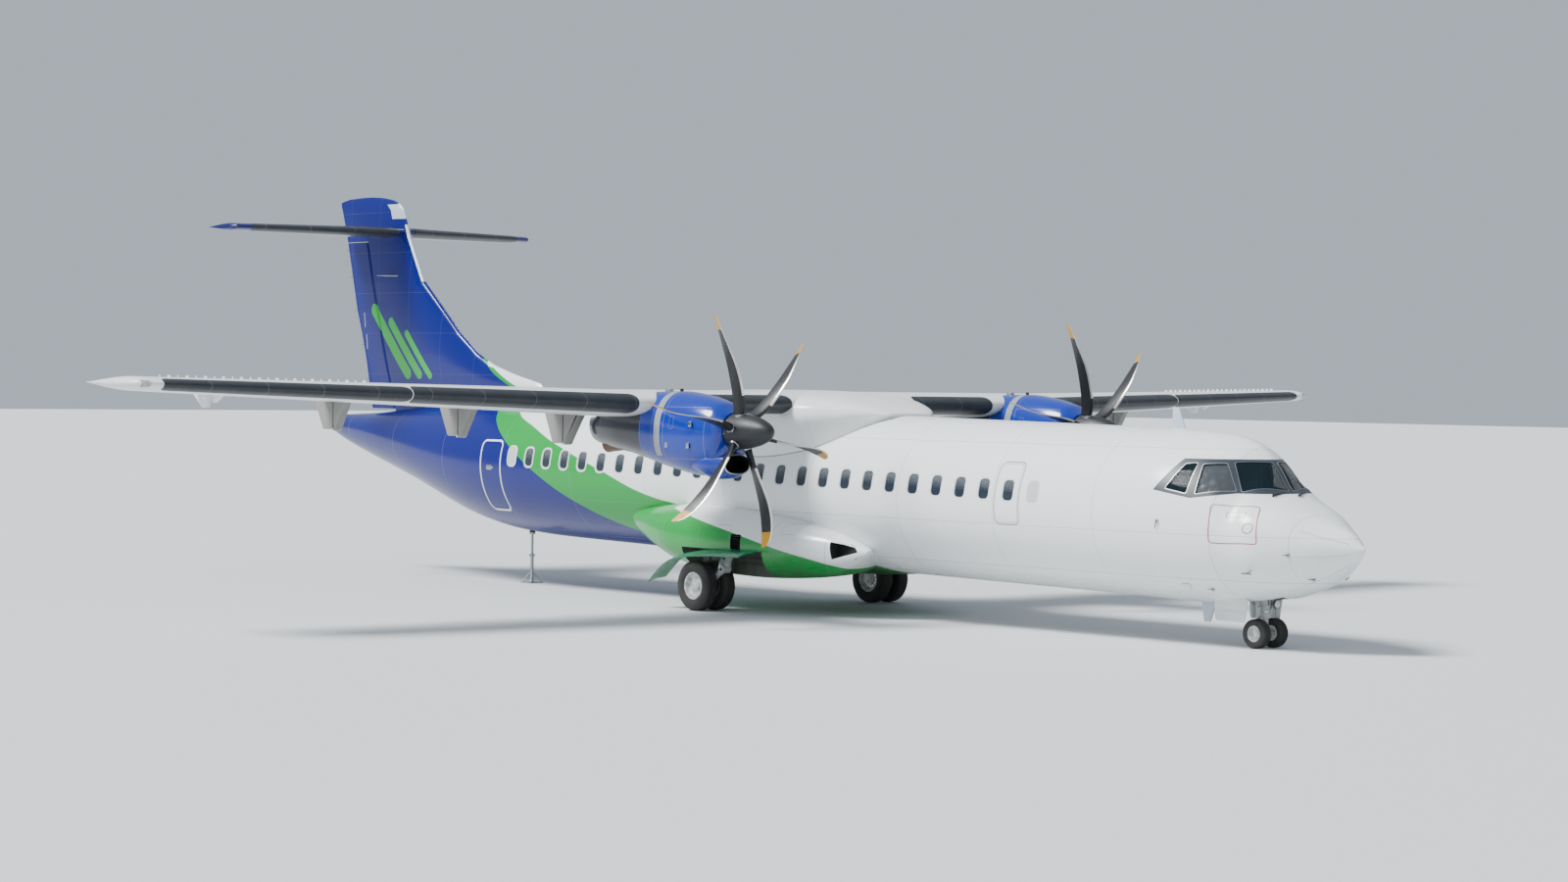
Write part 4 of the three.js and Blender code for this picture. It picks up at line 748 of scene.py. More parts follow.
# Radome fittings: a band of sealant in the joint behind the glass-fibre shell, and copper lightning
# strips glued to it lengthwise, all painted over.
seam_grey = uneven_material("grey_seam_sealant", 35.0, gloss=(0.5, 0.8), Base_Color=srgb("8A8F92"),
                            Roughness=0.6)
SEAM_FRONT, SEAM_REAR, SEAM_DEEP = JOINS[0] - 0.0035, JOINS[0] + 0.0002, -0.03
radome_seam = loft([(SEAM_FRONT, -0.002), (SEAM_REAR, -0.002), (SEAM_REAR, SEAM_DEEP),
                    (SEAM_FRONT, SEAM_DEEP),
                    (SEAM_FRONT, -0.002)], lambda at, turn: hull_point(at[0], turn, at[1]), HULL_SEGMENTS,
                   caps=False)
new_piece("radome_seam", radome_seam, seam_grey)
strip_paint = plain_enamel("grey_lightning_strip", "B9BDBE", 0.0, 0.1)
bm = bmesh.new()
stations = spaced(0.17, 0.74, 0.05)
for share in (0.16, 0.29, 0.42, 0.58, 0.71, 0.84):
    for s0, s1 in zip(stations, stations[1:]):
        add_rod(bm, hull_point(s0, share, 0.0005), hull_point(s1, share, 0.0005), 0.0035, segments=6)
new_piece("lightning_strips", bm, strip_paint)

# Flight deck: a floor and side linings of moulded panels, a bulkhead behind, the instrument panel under
# its coaming with five screens, a centre pedestal with levers, and two control wheels.
lining = uneven_material("grey_moulded_lining", 220.0, grain=(0.3, 0.001), Base_Color=srgb("8C9093"),
                         Roughness=0.6)
liner = new_piece("flight_deck_lining", hull_wall(1.13, 3.375, -0.078, -0.1), lining)
carve(liner, plate(rectangle(1.0, 3.5, 1.5, 3.6), -1.5, 1.5), "INTERSECT")
carve(liner, plate(GLAZING, -1.6, 1.6))
deck_floor = new_piece("flight_deck_floor", hull_body([1.16, 3.37], -0.08), lining)
carve(deck_floor, plate(rectangle(1.13, 3.375, 1.4815, 1.5), -1.5, 1.5), "INTERSECT")
bulkhead = new_piece("flight_deck_bulkhead", hull_body([3.345, 3.375], -0.081), lining)
carve(bulkhead, plate(rectangle(3.3, 3.4, 1.501, 3.4), -1.5, 1.5), "INTERSECT")
carve(bulkhead, plate(rectangle(3.3, 3.4, 1.55, 3.0), -0.32, 0.32))

trim_black = uneven_material("black_moulded_cockpit_trim", 400.0, grain=(0.25, 0.001), kind="Voronoi",
                             Base_Color=srgb("202225"), Roughness=0.7)
screen_glass = uneven_material("dark_display_glass", 20.0, gloss=(0.05, 0.14), Base_Color=srgb("0A0D12"),
                               Roughness=0.08)
bm = bmesh.new()
add_block(bm, spot(-0.74, 1.53, 1.62), spot(0.74, 1.6, 2.205), 0.012)
add_block(bm, spot(-0.66, 1.5, 2.208), spot(0.66, 1.76, 2.285), 0.03)
add_block(bm, spot(-0.145, 1.6, 1.502), spot(0.145, 2.15, 1.93), 0.02)
add_block(bm, spot(-0.13, 1.63, 1.93), spot(0.13, 2.05, 2.0), 0.012)
for x in (-0.09, -0.03, 0.03, 0.09):
    add_rod(bm, spot(x, 1.9, 1.99), spot(x, 1.84, 2.11), 0.008)
    add_rod(bm, spot(x - 0.012, 1.837, 2.115), spot(x + 0.012, 1.837, 2.115), 0.014)
new_piece("instrument_panel_shell", bm, trim_black, stands_for=["instrument_panel"])
bm = bmesh.new()
for x in (-0.6, -0.33, 0.0, 0.33, 0.6):
    add_block(bm, spot(x - 0.115, 1.5985, 1.9), spot(x + 0.115, 1.604, 2.13), 0.002)
add_block(bm, spot(-0.1, 1.66, 2.0), spot(0.1, 1.78, 2.004), 0.001)
new_piece("flight_displays", bm, screen_glass)
bm = bmesh.new()
for x in (-0.5, 0.5):
    add_rod(bm, spot(x, 1.6, 1.78), spot(x, 1.83, 1.9), 0.02)
    add_rod(bm, spot(x - 0.16, 1.845, 1.91), spot(x + 0.16, 1.845, 1.91), 0.013)
    for end in (-0.16, 0.16):
        add_rod(bm, spot(x + end, 1.845, 1.9), spot(x + end * 1.15, 1.83, 2.03), 0.014)
new_piece("control_wheels", bm, trim_black)

# Crew seats: foam cushions in a grey woven cover on a painted tube frame, on floor rails. The cushions
# are crowned, with a welt round their edge and stitched channels.
seat_cloth, tree, shader = new_material("grey_woven_seat_cover", Base_Color=srgb("5A6068"), Roughness=0.9,
                                        Sheen_Weight=0.3)
THREAD = 0.003  # drawn three times as coarse as the real thread, so that it shows
warp = add(tree, "ShaderNodeTexWave", {"Vector": paint_base(tree)[0], "Scale": 1 / THREAD / 6.28,
                                       "Distortion": 0.4},
           bands_direction="X")
weft = add(tree, "ShaderNodeTexWave", {"Vector": paint_base(tree)[0], "Scale": 1 / THREAD / 6.28,
                                       "Distortion": 0.4},
           bands_direction="Z")
weave = add(tree, "ShaderNodeMath", {0: warp.outputs["Fac"], 1: weft.outputs["Fac"]}, operation="MULTIPLY")
vary_grain(shader, weave.outputs[0], 0.5, 0.002)
vary_colour(shader, weave.outputs[0], "4C525A", "6C737B")


def cushion(name, low, high, thin):
    """Crowned foam cushion between two corners: a bevelled block, swollen at the middle of each face."""
    bm = bmesh.new()
    add_block(bm, low, high)
    bmesh.ops.subdivide_edges(bm, edges=bm.edges, cuts=9, use_grid_fill=True)
    middle = [(a + b) / 2 for a, b in zip(low, high)]
    half = [(b - a) / 2 for a, b in zip(low, high)]
    for vert in bm.verts:
        u = [(vert.co[i] - middle[i]) / half[i] for i in range(3)]
        for i in range(3):
            others = [abs(u[j]) for j in range(3) if j != i]
            pull = 1 - 0.16 * max(others) ** 6 if i == thin else 1 - 0.05 * max(others) ** 4
            stitched = i == thin and abs(u[thin]) > 0.9
            channel = 0.03 * math.exp(-((abs(u[0]) - 0.5) / 0.05) ** 2) if stitched else 0
            vert.co[i] = middle[i] + half[i] * u[i] * (pull - channel)
    bmesh.ops.smooth_vert(bm, verts=bm.verts, factor=0.4, use_axis_x=True, use_axis_y=True, use_axis_z=True)
    bmesh.ops.recalc_face_normals(bm, faces=bm.faces)
    piece = new_piece(name, bm, seat_cloth, sharp=80)
    soft = piece.modifiers.new("soft", "SUBSURF")
    soft.levels = soft.render_levels = 1
    return piece


for x, side_name in ((-0.52, "starboard"), (0.52, "port")):
    cushion(f"seat_cushion_{side_name}", spot(x - 0.225, 2.25, 1.84), spot(x + 0.225, 2.64, 1.935), 2)
    cushion(f"seat_back_{side_name}", spot(x - 0.215, 2.645, 1.92), spot(x + 0.215, 2.715, 2.4), 1)
    cushion(f"headrest_{side_name}", spot(x - 0.12, 2.65, 2.41), spot(x + 0.12, 2.71, 2.515), 1)
bm = bmesh.new()
for x in (-0.52, 0.52):
    add_block(bm, spot(x - 0.1, 2.41, 1.505), spot(x + 0.1, 2.63, 1.82), 0.02)
    add_block(bm, spot(x - 0.2, 2.26, 1.815), spot(x + 0.2, 2.68, 1.842), 0.01)
    add_block(bm, spot(x - 0.19, 2.712, 1.85), spot(x + 0.19, 2.738, 2.42), 0.01)
    for side in (-1, 1):
        add_block(bm, spot(x + side * 0.05 - 0.015, 2.39, 1.5), spot(x + side * 0.05 + 0.015, 2.65, 1.512),
                  0.003)
        add_block(bm, spot(x + side * 0.235 - 0.02, 2.38, 2.06), spot(x + side * 0.235 + 0.02, 2.68, 2.09),
                  0.008)
new_piece("seat_frames", bm, trim_black, stands_for=["pilot_seats"])

# Rear vestibule and cargo bay: what shows through the two doors that open. Moulded wall and ceiling
# panels, a ribbed floor mat on the floor beams, and a bulkhead at each end with a doorway.
wall_panel = uneven_material("cream_moulded_wall_panel", 160.0, grain=(0.25, 0.001),
                             Base_Color=srgb("D8D4C8"), Roughness=0.5)
mat_rubber, tree, shader = new_material("ribbed_rubber_floor_mat", Base_Color=srgb("3B3E42"), Roughness=0.85)
RIB = 0.02  # pitch of the ribs
ribs = add(tree, "ShaderNodeTexWave", {"Vector": paint_base(tree)[0], "Scale": 1 / RIB / 3.2},
           bands_direction="X")
vary_grain(shader, ribs.outputs["Fac"], 0.6, 0.003)
worn = add(tree, "ShaderNodeTexNoise", {"Vector": paint_base(tree)[0], "Scale": 3.0, "Detail": 4.0})
vary_colour(shader, worn.outputs["Fac"], "2C2F33", "54585C")
FLOOR_TOP = 1.39  # height of the cabin floor


def boxed_room(name, start, end, openings):
    """Lining, floor and end bulkheads of a space in the hull, with openings cut through its wall."""
    walls = new_piece(f"{name}_lining", hull_wall(start + 0.012, end - 0.012, -0.078, -0.092), wall_panel)
    carve(walls, plate(rectangle(start, end, FLOOR_TOP + 0.001, 3.6), -1.5, 1.5), "INTERSECT")
    for outline, x0, x1 in openings:
        carve(walls, plate(outline, x0, x1, 0.1))
    mat = new_piece(f"{name}_floor", hull_body([start + 0.002, end - 0.002], -0.05), mat_rubber)
    carve(mat, plate(rectangle(start, end, FLOOR_TOP - 0.03, FLOOR_TOP), -1.5, 1.5), "INTERSECT")
    for side, s in (("front", start), ("rear", end - 0.012)):
        wall = new_piece(f"{name}_{side}_bulkhead", hull_body([s, s + 0.0119], -0.079), wall_panel)
        carve(wall, plate(rectangle(s - 0.1, s + 0.1, FLOOR_TOP + 0.001, 3.6), -1.5, 1.5), "INTERSECT")
        carve(wall, plate(rectangle(s - 0.004, s + 0.016, FLOOR_TOP + 0.06, 3.15), -0.36, 0.36))
        new_piece(f"{name}_{side}_partition_door",
                  plate(rectangle(s + 0.002, s + 0.01, FLOOR_TOP + 0.065, 3.145), -0.355, 0.355), trim_black)


boxed_room("vestibule", 19.25, 20.56, (
    (BOARDING_HOLE, 0.6, 1.7), (rectangle(*SERVICE), -1.7, -0.6)))
boxed_room("cargo_bay", 3.72, 5.42, ((CARGO_HOLE, 0.6, 1.7),))

# Doors: milled frames under sheet skins, with a lining inside. The boarding door lies down on its lower
# edge and carries the steps; the freight door swings up; the service door plugs its opening.
HINGES = {joint["name"]: joint for joint in frame["joints"]}
bare_alloy, tree, shader = new_material("brushed_aluminium", Base_Color=srgb("B4B8BA"), Metallic=1.0)
brush = add(tree, "ShaderNodeVectorMath", {0: paint_base(tree)[0], 1: (4.0, 60.0, 60.0)},
            operation="MULTIPLY")
lines = add(tree, "ShaderNodeTexNoise", {"Vector": brush.outputs[0], "Scale": 4.0, "Detail": 4.0})
vary_gloss(shader, lines.outputs["Fac"], 0.24, 0.5)


def door_leaf(name, box, corner, side, body, solid):
    """Skin and lining of one door, cut from the hull's own shape."""
    s0, s1, z0, z1 = box
    leaf = new_piece(f"{name}_skin", hull_wall(s0 - 0.1, s1 + 0.1, 0.0, -0.05), hull_paint, body, [solid])
    carve(leaf, plate(rectangle(s0, s1, z0, z1), side * 0.6, side * 1.7, corner), "INTERSECT")
    inside = new_piece(f"{name}_lining", hull_wall(s0 - 0.1, s1 + 0.1, -0.0505, -0.069), wall_panel, body)
    carve(inside, plate(rectangle(s0 + 0.035, s1 - 0.035, z0 + 0.035, z1 - 0.035), side * 0.5, side * 1.6,
                        corner * 0.8), "INTERSECT")


def hinge_line(joint, s0, s1):
    """Ends of a door's hinge rod, on its joint's axis."""
    start, axis = Vector(HINGES[joint]["pos_m"]), Vector(HINGES[joint]["axis"])
    return [start + axis * ((s - HALF_LENGTH - start.y) / axis.y) for s in (s0, s1)]


def handle(bm, s, z, side, length):
    """Adds a flush lever in its recess, on a small hull-side plate."""
    place = on_hull(side, s, z, -0.004)
    slope = math.atan2(skin_x(s, z + 0.05) - skin_x(s, z - 0.05), 0.1) * side
    turn = Matrix.Rotation(slope, 4, "Y")
    matrix = Matrix.Translation(place) @ turn
    for size, shift in (((0.012, length + 0.05, 0.09), 0.0), ((0.02, length, 0.03), 0.004 * side)):
        add_cube(bm, matrix @ Matrix.Translation((shift, 0, 0)) @ Matrix.Diagonal((*size, 1)), 0.003)


HINGE_TRIM = 0.006  # taken off a skin along its hinge, so that it swings clear of the hull
KNUCKLES = 13  # of a piano hinge, turn about on the door and on the frame
door_leaf("boarding_door", (*BOARDING[:2], BOARDING[2] + HINGE_TRIM, BOARDING[3]), 0.12, 1, "passenger_door",
          "passenger_door")
door_leaf("freight_door", (*CARGO[:3], CARGO[3] - HINGE_TRIM), 0.08, 1, "cargo_door", "cargo_door")
door_leaf("service_door", SERVICE, 0.115, -1, "airframe", "service_door")
for name, joint, box, body in (("boarding", "passenger_door_hinge", BOARDING, "passenger_door"),
                               ("freight", "cargo_door_hinge", CARGO, "cargo_door")):
    start, end = hinge_line(joint, box[0], box[1])
    fixed, moving = bmesh.new(), bmesh.new()
    add_rod(moving, start, end, 0.0052)
    for i in range(KNUCKLES):
        a, b = start.lerp(end, (i + 0.06) / KNUCKLES), start.lerp(end, (i + 0.94) / KNUCKLES)
        add_rod(fixed if i % 2 else moving, a, b, 0.0095, segments=12)
    new_piece(f"{name}_door_hinge_leaf", moving, bare_alloy, body)
    new_piece(f"{name}_frame_hinge_knuckles", fixed, bare_alloy)
for name, body, s, z, side, length in (("service", "airframe", 19.89, 2.25, -1, 0.2),
                                       ("boarding", "passenger_door", 19.95, 2.35, 1, 0.2),
                                       ("freight", "cargo_door", 4.54, 1.62, 1, 0.24)):
    bm = bmesh.new()
    handle(bm, s, z, side, length)
    new_piece(f"{name}_door_handle", bm, bare_alloy, body)

# Boarding steps: five ribbed treads on the inside of the boarding door, level when it lies open, and a
# tube handrail along each side on welded posts.
STEP_LEAN = math.radians(40)  # the door's slope below level when it lies open
TREAD = (0.026, 0.5, 0.15)  # thickness, width and depth
steps, rails = bmesh.new(), bmesh.new()
for k in range(5):
    root = on_hull(1, 19.935, BOARDING[2] + 0.3 + 0.27 * k, -0.075)
    stand = Matrix.Translation(root + Vector((-0.052, 0, 0))) @ Matrix.Rotation(-STEP_LEAN, 4, "Y")
    add_cube(steps, stand @ Matrix.Diagonal((*TREAD, 1)), 0.006)
for s in (19.63, 20.235):
    posts = [on_hull(1, s, z, -0.07) for z in (1.75, 2.2, 2.7)]
    tops = [p + Vector((-0.13, 0, 0)) for p in posts]
    for post, top in zip(posts, tops):
        add_rod(rails, post + Vector((0.01, 0, 0)), top, 0.009)
    for a, b in zip(tops, tops[1:]):
        add_rod(rails, a, b, 0.011)
new_piece("boarding_steps", steps, mat_rubber, "passenger_door")
new_piece("boarding_handrails", rails, bare_alloy, "passenger_door")

# Freight door ribs: drawn alloy tubes riveted across the inside of the door, three lengthwise and three
# upright, that follow its curve.
bm = bmesh.new()
stations = spaced(CARGO[0] + 0.1, CARGO[1] - 0.1, 0.2)
heights = spaced(1.5, 2.8, 0.13)
for z in (1.72, 2.1, 2.5):
    for s0, s1 in zip(stations, stations[1:]):
        add_rod(bm, on_hull(1, s0, z, -0.075), on_hull(1, s1, z, -0.075), 0.011, segments=8)
for s in (4.12, 4.54, 4.96):
    for z0, z1 in zip(heights, heights[1:]):
        add_rod(bm, on_hull(1, s, z0, -0.077), on_hull(1, s, z1, -0.077), 0.013, segments=8)
new_piece("freight_door_ribs", bm, bare_alloy, "cargo_door")

# Wing: a metal box with sheet skins, built as a centre panel of even chord and two tapered outer panels.
# The flaps and ailerons hang behind its rear face.
PANEL_X, FLAP_END_X, AILERON_END_X, HALF_SPAN = 4.9, 9.7, 13.1, 13.525
WING = (  # across, leading edge, trailing edge, height, thickness, share of the chord to the rear face
    (0, 11.17, 13.77, 3.565, 0.45, 0.72), (PANEL_X, 11.17, 13.77, 3.565, 0.45, 0.72),
    (FLAP_END_X, 11.802, 13.81, 3.698, 0.32, 0.74), (AILERON_END_X, 12.244, 13.838, 3.791, 0.228, 0.74))
TIP = (  # the same past the aileron, where the chord is whole
    (AILERON_END_X, 12.244, 13.838, 3.791, 0.228), (13.3, 12.272, 13.843, 3.797, 0.224),
    (13.4, 12.33, 13.835, 3.801, 0.2), (13.47, 12.44, 13.8, 3.805, 0.145),
    (13.51, 12.57, 13.76, 3.808, 0.085),
    (HALF_SPAN, 12.68, 13.72, 3.809, 0.03))


def linear(table, column, v):
    """Value of a table's column, straight between its rows."""
    i = next((k for k in range(1, len(table)) if table[k][0] >= v), len(table) - 1)
    low, high = table[i - 1], table[i]
    t = min(1, max(0, (v - low[0]) / (high[0] - low[0])))
    return low[column] + (high[column] - low[column]) * t


def aerofoil(u):
    """Half thickness of the section at a share of its chord, for a full thickness of 1."""
    return 5 * (0.2969 * math.sqrt(u) - 0.126 * u - 0.3516 * u ** 2 + 0.2843 * u ** 3 - 0.1036 * u ** 4)


def half_thick(u, thick):
    return max(0.004 * min(1, u * 4), aerofoil(u) * thick)


def wing_point(x, share):
    """Point of the fixed wing, from its upper rear edge round the nose to its lower rear edge."""
    lead, trail, z, thick, cut = (linear(WING, c, abs(x)) for c in range(1, 6))
    v = abs(1 - 2 * share)
    u = cut * v ** 1.9
    up = 1 if share < 0.5 else -1
    return spot(x, lead + u * (trail - lead), z + up * half_thick(u, thick))


def tip_point(x, share):
    """Point of the wing tip, whose chord is whole."""
    lead, trail, z, thick = (smooth(TIP, c, abs(x)) for c in range(1, 5))
    u = abs(1 - 2 * share) ** 1.9
    up = 1 if share < 0.5 else -1
    return spot(x, lead + u * (trail - lead), z + up * half_thick(u, thick))


def flap_point(x, share):
    """Point of a flap or aileron, from its upper trailing edge round its nose."""
    lead, trail, z, thick, cut = (linear(WING, c, abs(x)) for c in range(1, 6))
    start = lead + cut * (trail - lead) + 0.02
    length = trail - start
    v = abs(1 - 2 * share) ** 1.7
    u = (start + v * length - lead) / (trail - lead)
    nose = math.sqrt(max(0.0, 1 - (1 - min(1, v / 0.12)) ** 2))
    up = 1 if share < 0.5 else -1
    return spot(x, start + v * length, z + up * half_thick(min(1, u), thick) * nose)


wing_white = plain_enamel("white_wing_enamel", "E6E9E9", 0.0, 0.35, 1.21, across=True)
WING_SEGMENTS = 72
centre_stations = [-PANEL_X + SPLIT, *spaced(-PANEL_X, PANEL_X, 0.7)[1:-1], PANEL_X - SPLIT]
new_piece("wing_centre_skin", loft(centre_stations, wing_point, WING_SEGMENTS, ends=True), wing_white,
          stands_for=["wing_centre"])

# Flap hinge fairings: pressed-alloy beam covers split at the hinge. The front half is riveted under the
# wing, the rear half swings with the flap on a pin between its cheeks.
FAIRINGS = (  # across, pivot station, pivot height, width, length ahead of the pivot
    (4.52, 13.45, 2.86, 0.17, 0.47), (6.69, 13.48, 2.985, 0.15, 0.43), (9.12, 13.52, 3.095, 0.14, 0.375))


def fairing_halves(row, side):
    """Front and rear half of one fairing, as closed plates with rounded edges."""
    x, pivot, low, width, ahead = row
    lead, trail, z, thick, cut = (linear(WING, c, x) for c in range(1, 6))
    under = z - half_thick(cut, thick) + 0.02
    rear = lead + cut * (trail - lead)
    front = [(pivot - ahead, under), (rear - SPLIT, under), (rear - SPLIT, under - 0.06),
             (pivot - PLAY, under - 0.06), (pivot - PLAY, low + 0.09), (pivot - 0.03, low - 0.03),
             (pivot - 0.07, low - 0.005)]
    back = [(pivot + PLAY, low), (pivot + PLAY, z - 0.04), (pivot + 0.57, z - 0.005),
            (pivot + 0.57, z - 0.05), (pivot + 0.28, low)]
    halves = []
    for outline in (front, back):
        bm = plate(outline, side * (x - width / 2), side * (x + width / 2))
        round_edges(bm, bm.edges[:], 0.016, 3)
        halves.append(bm)
    return halves


# Fairings and flaps: their light grey paint darkened to a warm grey, painted shade from under the wing.
fairing_paint_with_shade = plain_enamel("fairing_enamel_with_painted_shade", "8E8C88", 0.0, 0.3, 0.9)
chrome = uneven_material("hard_chrome", 25.0, gloss=(0.06, 0.2), Base_Color=srgb("D5D8DA"), Metallic=1.0,
                         Roughness=0.1)
boot_rubber, tree, shader = new_material("black_neoprene_deicing_boot", Roughness=0.45)
place, x, y, z = paint_base(tree)
bloom = add(tree, "ShaderNodeTexNoise", {"Vector": place, "Scale": 4.0, "Detail": 6.0})
tone = add(tree, "ShaderNodeMix", {"Factor": bloom.outputs["Fac"], 6: srgb("15181C"), 7: srgb("2C3238")},
           data_type="RGBA")
patch = line_at(tree, x, 0.93, 0.2, 0.012)
tinted = add(tree, "ShaderNodeMix", {"Factor": patch, 6: tone.outputs[2], 7: srgb("50575C")},
             data_type="RGBA")
tree.links.new(tinted.outputs[2], shader.inputs["Base Color"])


def boot_point(at, share):
    """Point of a rubber boot round the wing's nose: outside first, then back along its inside."""
    x, upper, lower = at
    lead, trail, z, thick = (linear(WING, c, abs(x)) for c in range(1, 5))
    outside = share < 0.5
    w = 1 - 4 * share if outside else 4 * share - 3
    lift = 0.0035 * (1 - abs(w) ** 8) if outside else -0.004
    reach = (upper if w > 0 else lower) * w * w
    half = aerofoil(reach / (trail - lead)) * thick + lift
    nose = lift * (1 - abs(w)) ** 2
    return spot(x, lead + reach - nose, z + math.copysign(half, w))


def boot(name, x0, x1, upper=0.21, lower=0.24):
    """One boot between two places along the span, with rounded corners at its ends."""
    stations = [(x, upper, lower) for x in spaced(x0, x1, 0.25)]
    for i in range(7):
        t = i / 7
        fall = 0.45 + 0.55 * math.sqrt(1 - (1 - t) ** 2)
        step = 0.12 * t * math.copysign(1, x1 - x0)
        stations += [(x, upper * fall, lower * fall) for x in (x0 + step, x1 - step)]
    order = sorted(set(stations), key=lambda at: (at[0], at[1]))
    kept = [at for at in order if abs(at[0] - x0) >= 0.119 and abs(at[0] - x1) >= 0.119 or at[1] < upper]
    return new_piece(name, loft(kept, boot_point, 48), boot_rubber)


for side, side_name in SIDES:
    xs = [side * x for x in [PANEL_X + SPLIT, *spaced(PANEL_X, AILERON_END_X, 0.6)[1:]]]
    panel = loft(xs, wing_point, WING_SEGMENTS, ends=True)
    tip = loft([side * (AILERON_END_X + 0.0002), *[side * x for x in spaced(13.15, 13.45, 0.05)],
                *[side * x for x in spaced(13.46, HALF_SPAN, 0.01)]], tip_point, WING_SEGMENTS, ends=True)
    halves = [fairing_halves(row, side) for row in FAIRINGS]
    aileron_front = add_prism(bmesh.new(), [(13.01, 3.69), (13.335, 3.69), (13.335, 3.51)],
                              side * 11.455, side * 11.545)
    new_piece(f"wing_outer_skin_{side_name}", joined(panel, tip, aileron_front), wing_white,
              stands_for=[f"wing_outer_{side_name}"])
    new_piece(f"inboard_fairing_front_{side_name}", halves[0][0], fairing_paint_with_shade)
    new_piece(f"outboard_fairing_fronts_{side_name}", joined(halves[1][0], halves[2][0]), fairing_paint_with_shade)
    inboard = loft([side * x for x in spaced(1.58, PANEL_X - PLAY, 0.55)], flap_point, 56, ends=True)
    new_piece(f"inboard_flap_skin_{side_name}", joined(inboard, halves[0][1]), fairing_paint_with_shade,
              f"flap_inboard_{side_name}", [f"flap_inboard_{side_name}"])
    outboard = loft([side * x for x in spaced(PANEL_X + PLAY, FLAP_END_X - PLAY, 0.6)], flap_point, 56,
                    ends=True)
    new_piece(f"outboard_flap_skin_{side_name}", joined(outboard, halves[1][1], halves[2][1]), fairing_paint_with_shade,
              f"flap_outboard_{side_name}", [f"flap_outboard_{side_name}"])
    aileron = loft([side * x for x in spaced(FLAP_END_X + PLAY, AILERON_END_X - PLAY, 0.6)], flap_point, 56,
                   ends=True)
    under = plate([(13.44, 3.72), (13.99, 3.745), (13.99, 3.715), (13.64, 3.43), (13.54, 3.43)],
                  side * 11.455, side * 11.545)
    round_edges(under, under.edges[:], 0.01)
    new_piece(f"aileron_skin_{side_name}", joined(aileron, under), wing_white, f"aileron_{side_name}",
              [f"aileron_{side_name}"])
    boot(f"wing_boot_inner_{side_name}", side * 1.45, side * 3.36)
    boot(f"wing_boot_middle_{side_name}", side * 4.79, side * 8.9)
    boot(f"wing_boot_outer_{side_name}", side * 8.92, side * 13.06, 0.17, 0.19)
    pins = bmesh.new()
    for x, pivot, low, width in (row[:4] for row in FAIRINGS):
        for end in (-1, 1):
            face = side * (x + end * (width / 2 + 0.001))
            add_rod(pins, spot(face - 0.004, pivot, low), spot(face + 0.004, pivot, low), 0.026,
                    segments=6)
            add_rod(pins, spot(face - 0.007, pivot, low), spot(face + 0.007, pivot, low), 0.016)
    new_piece(f"flap_hinge_bolts_{side_name}", pins, chrome)
    wicks = bmesh.new()
    for x in (10.2, 11.0, 11.9, 12.7):
        trail, z = (linear(WING, c, x) for c in (2, 3))
        add_rod(wicks, spot(side * x, trail - 0.03, z), spot(side * x, trail + 0.12, z - 0.004),
                0.005, 0.003, 8)
    new_piece(f"aileron_static_wicks_{side_name}", wicks, matt_black, f"aileron_{side_name}")
    vanes = bmesh.new()
    for k in range(24):
        x = 9.35 + 0.152 * k
        lead, trail, z, thick = (linear(WING, c, x) for c in range(1, 5))
        u = 0.32
        top = z + half_thick(u, thick)
        base = spot(side * x, lead + u * (trail - lead), top - 0.004)
        lean = Matrix.Translation(base + Vector((0, 0, 0.018))) @ Matrix.Rotation(
            math.radians(16 * side * (1 if k % 2 else -1)), 4,
            "Z") @ Matrix.Diagonal((0.002, 0.06, 0.036, 1))
        bmesh.ops.create_cube(vanes, size=1, matrix=lean)
    new_piece(f"vortex_generators_{side_name}", vanes, wing_white)

# Wing-tip lights: a clear polycarbonate cover moulded to the tip's curve and screwed down along its
# edge, over a lamp of green glass to starboard and of red glass to port.
for side, side_name, lamp in ((-1, "starboard", "1FA060"), (1, "port", "C42424")):
    cover = uneven_material(f"clear_polycarbonate_lens_{side_name}", 30.0, gloss=(0.04, 0.16), IOR=1.58,
                            Transmission_Weight=0.9)
    bulb = uneven_material(f"coloured_lamp_glass_{side_name}", 90.0, gloss=(0.08, 0.3), kind="Voronoi",
                           Base_Color=srgb(lamp), IOR=1.5)
    bm = loft([(13.2, 0.0), (13.24, 0.8), (13.29, 1.0), (13.38, 1.0), (13.43, 0.8), (13.46, 0.0)],
              lambda at, share: Vector((side * at[0], smooth(TIP, 1, at[0]) - HALF_LENGTH + 0.1
                                        - 0.112 * math.cos(share * math.tau) * at[1],
                                        smooth(TIP, 3, at[0]) + 0.062 * math.sin(share * math.tau) * at[1])),
              32)
    new_piece(f"tip_light_cover_{side_name}", bm, cover)
    bm = bmesh.new()
    bmesh.ops.create_uvsphere(bm, u_segments=20, v_segments=12, radius=0.028, matrix=Matrix.Translation(
        spot(side * 13.33, smooth(TIP, 1, 13.33) + 0.035, 3.8)))
    new_piece(f"tip_lamp_{side_name}", bm, bulb)

# Wing-to-body fairing: a glass-fibre hood laid up in one mould and screwed over the joint of wing and
# hull, with a bead of sealant along its foot.
HUMP = (  # station, top, shoulder half width, lower edge height
    (9.8, 3.44, 0.5, 3.385), (10.15, 3.56, 0.9, 3.18), (10.5, 3.65, 1.18, 2.99), (11.1, 3.755, 1.5, 2.78),
    (12.2, 3.812, 1.56, 2.65), (14.0, 3.8, 1.56, 2.65), (15.3, 3.7, 1.45, 2.74), (16.2, 3.61, 1.18, 2.95),
    (16.8, 3.56, 0.7, 3.33))


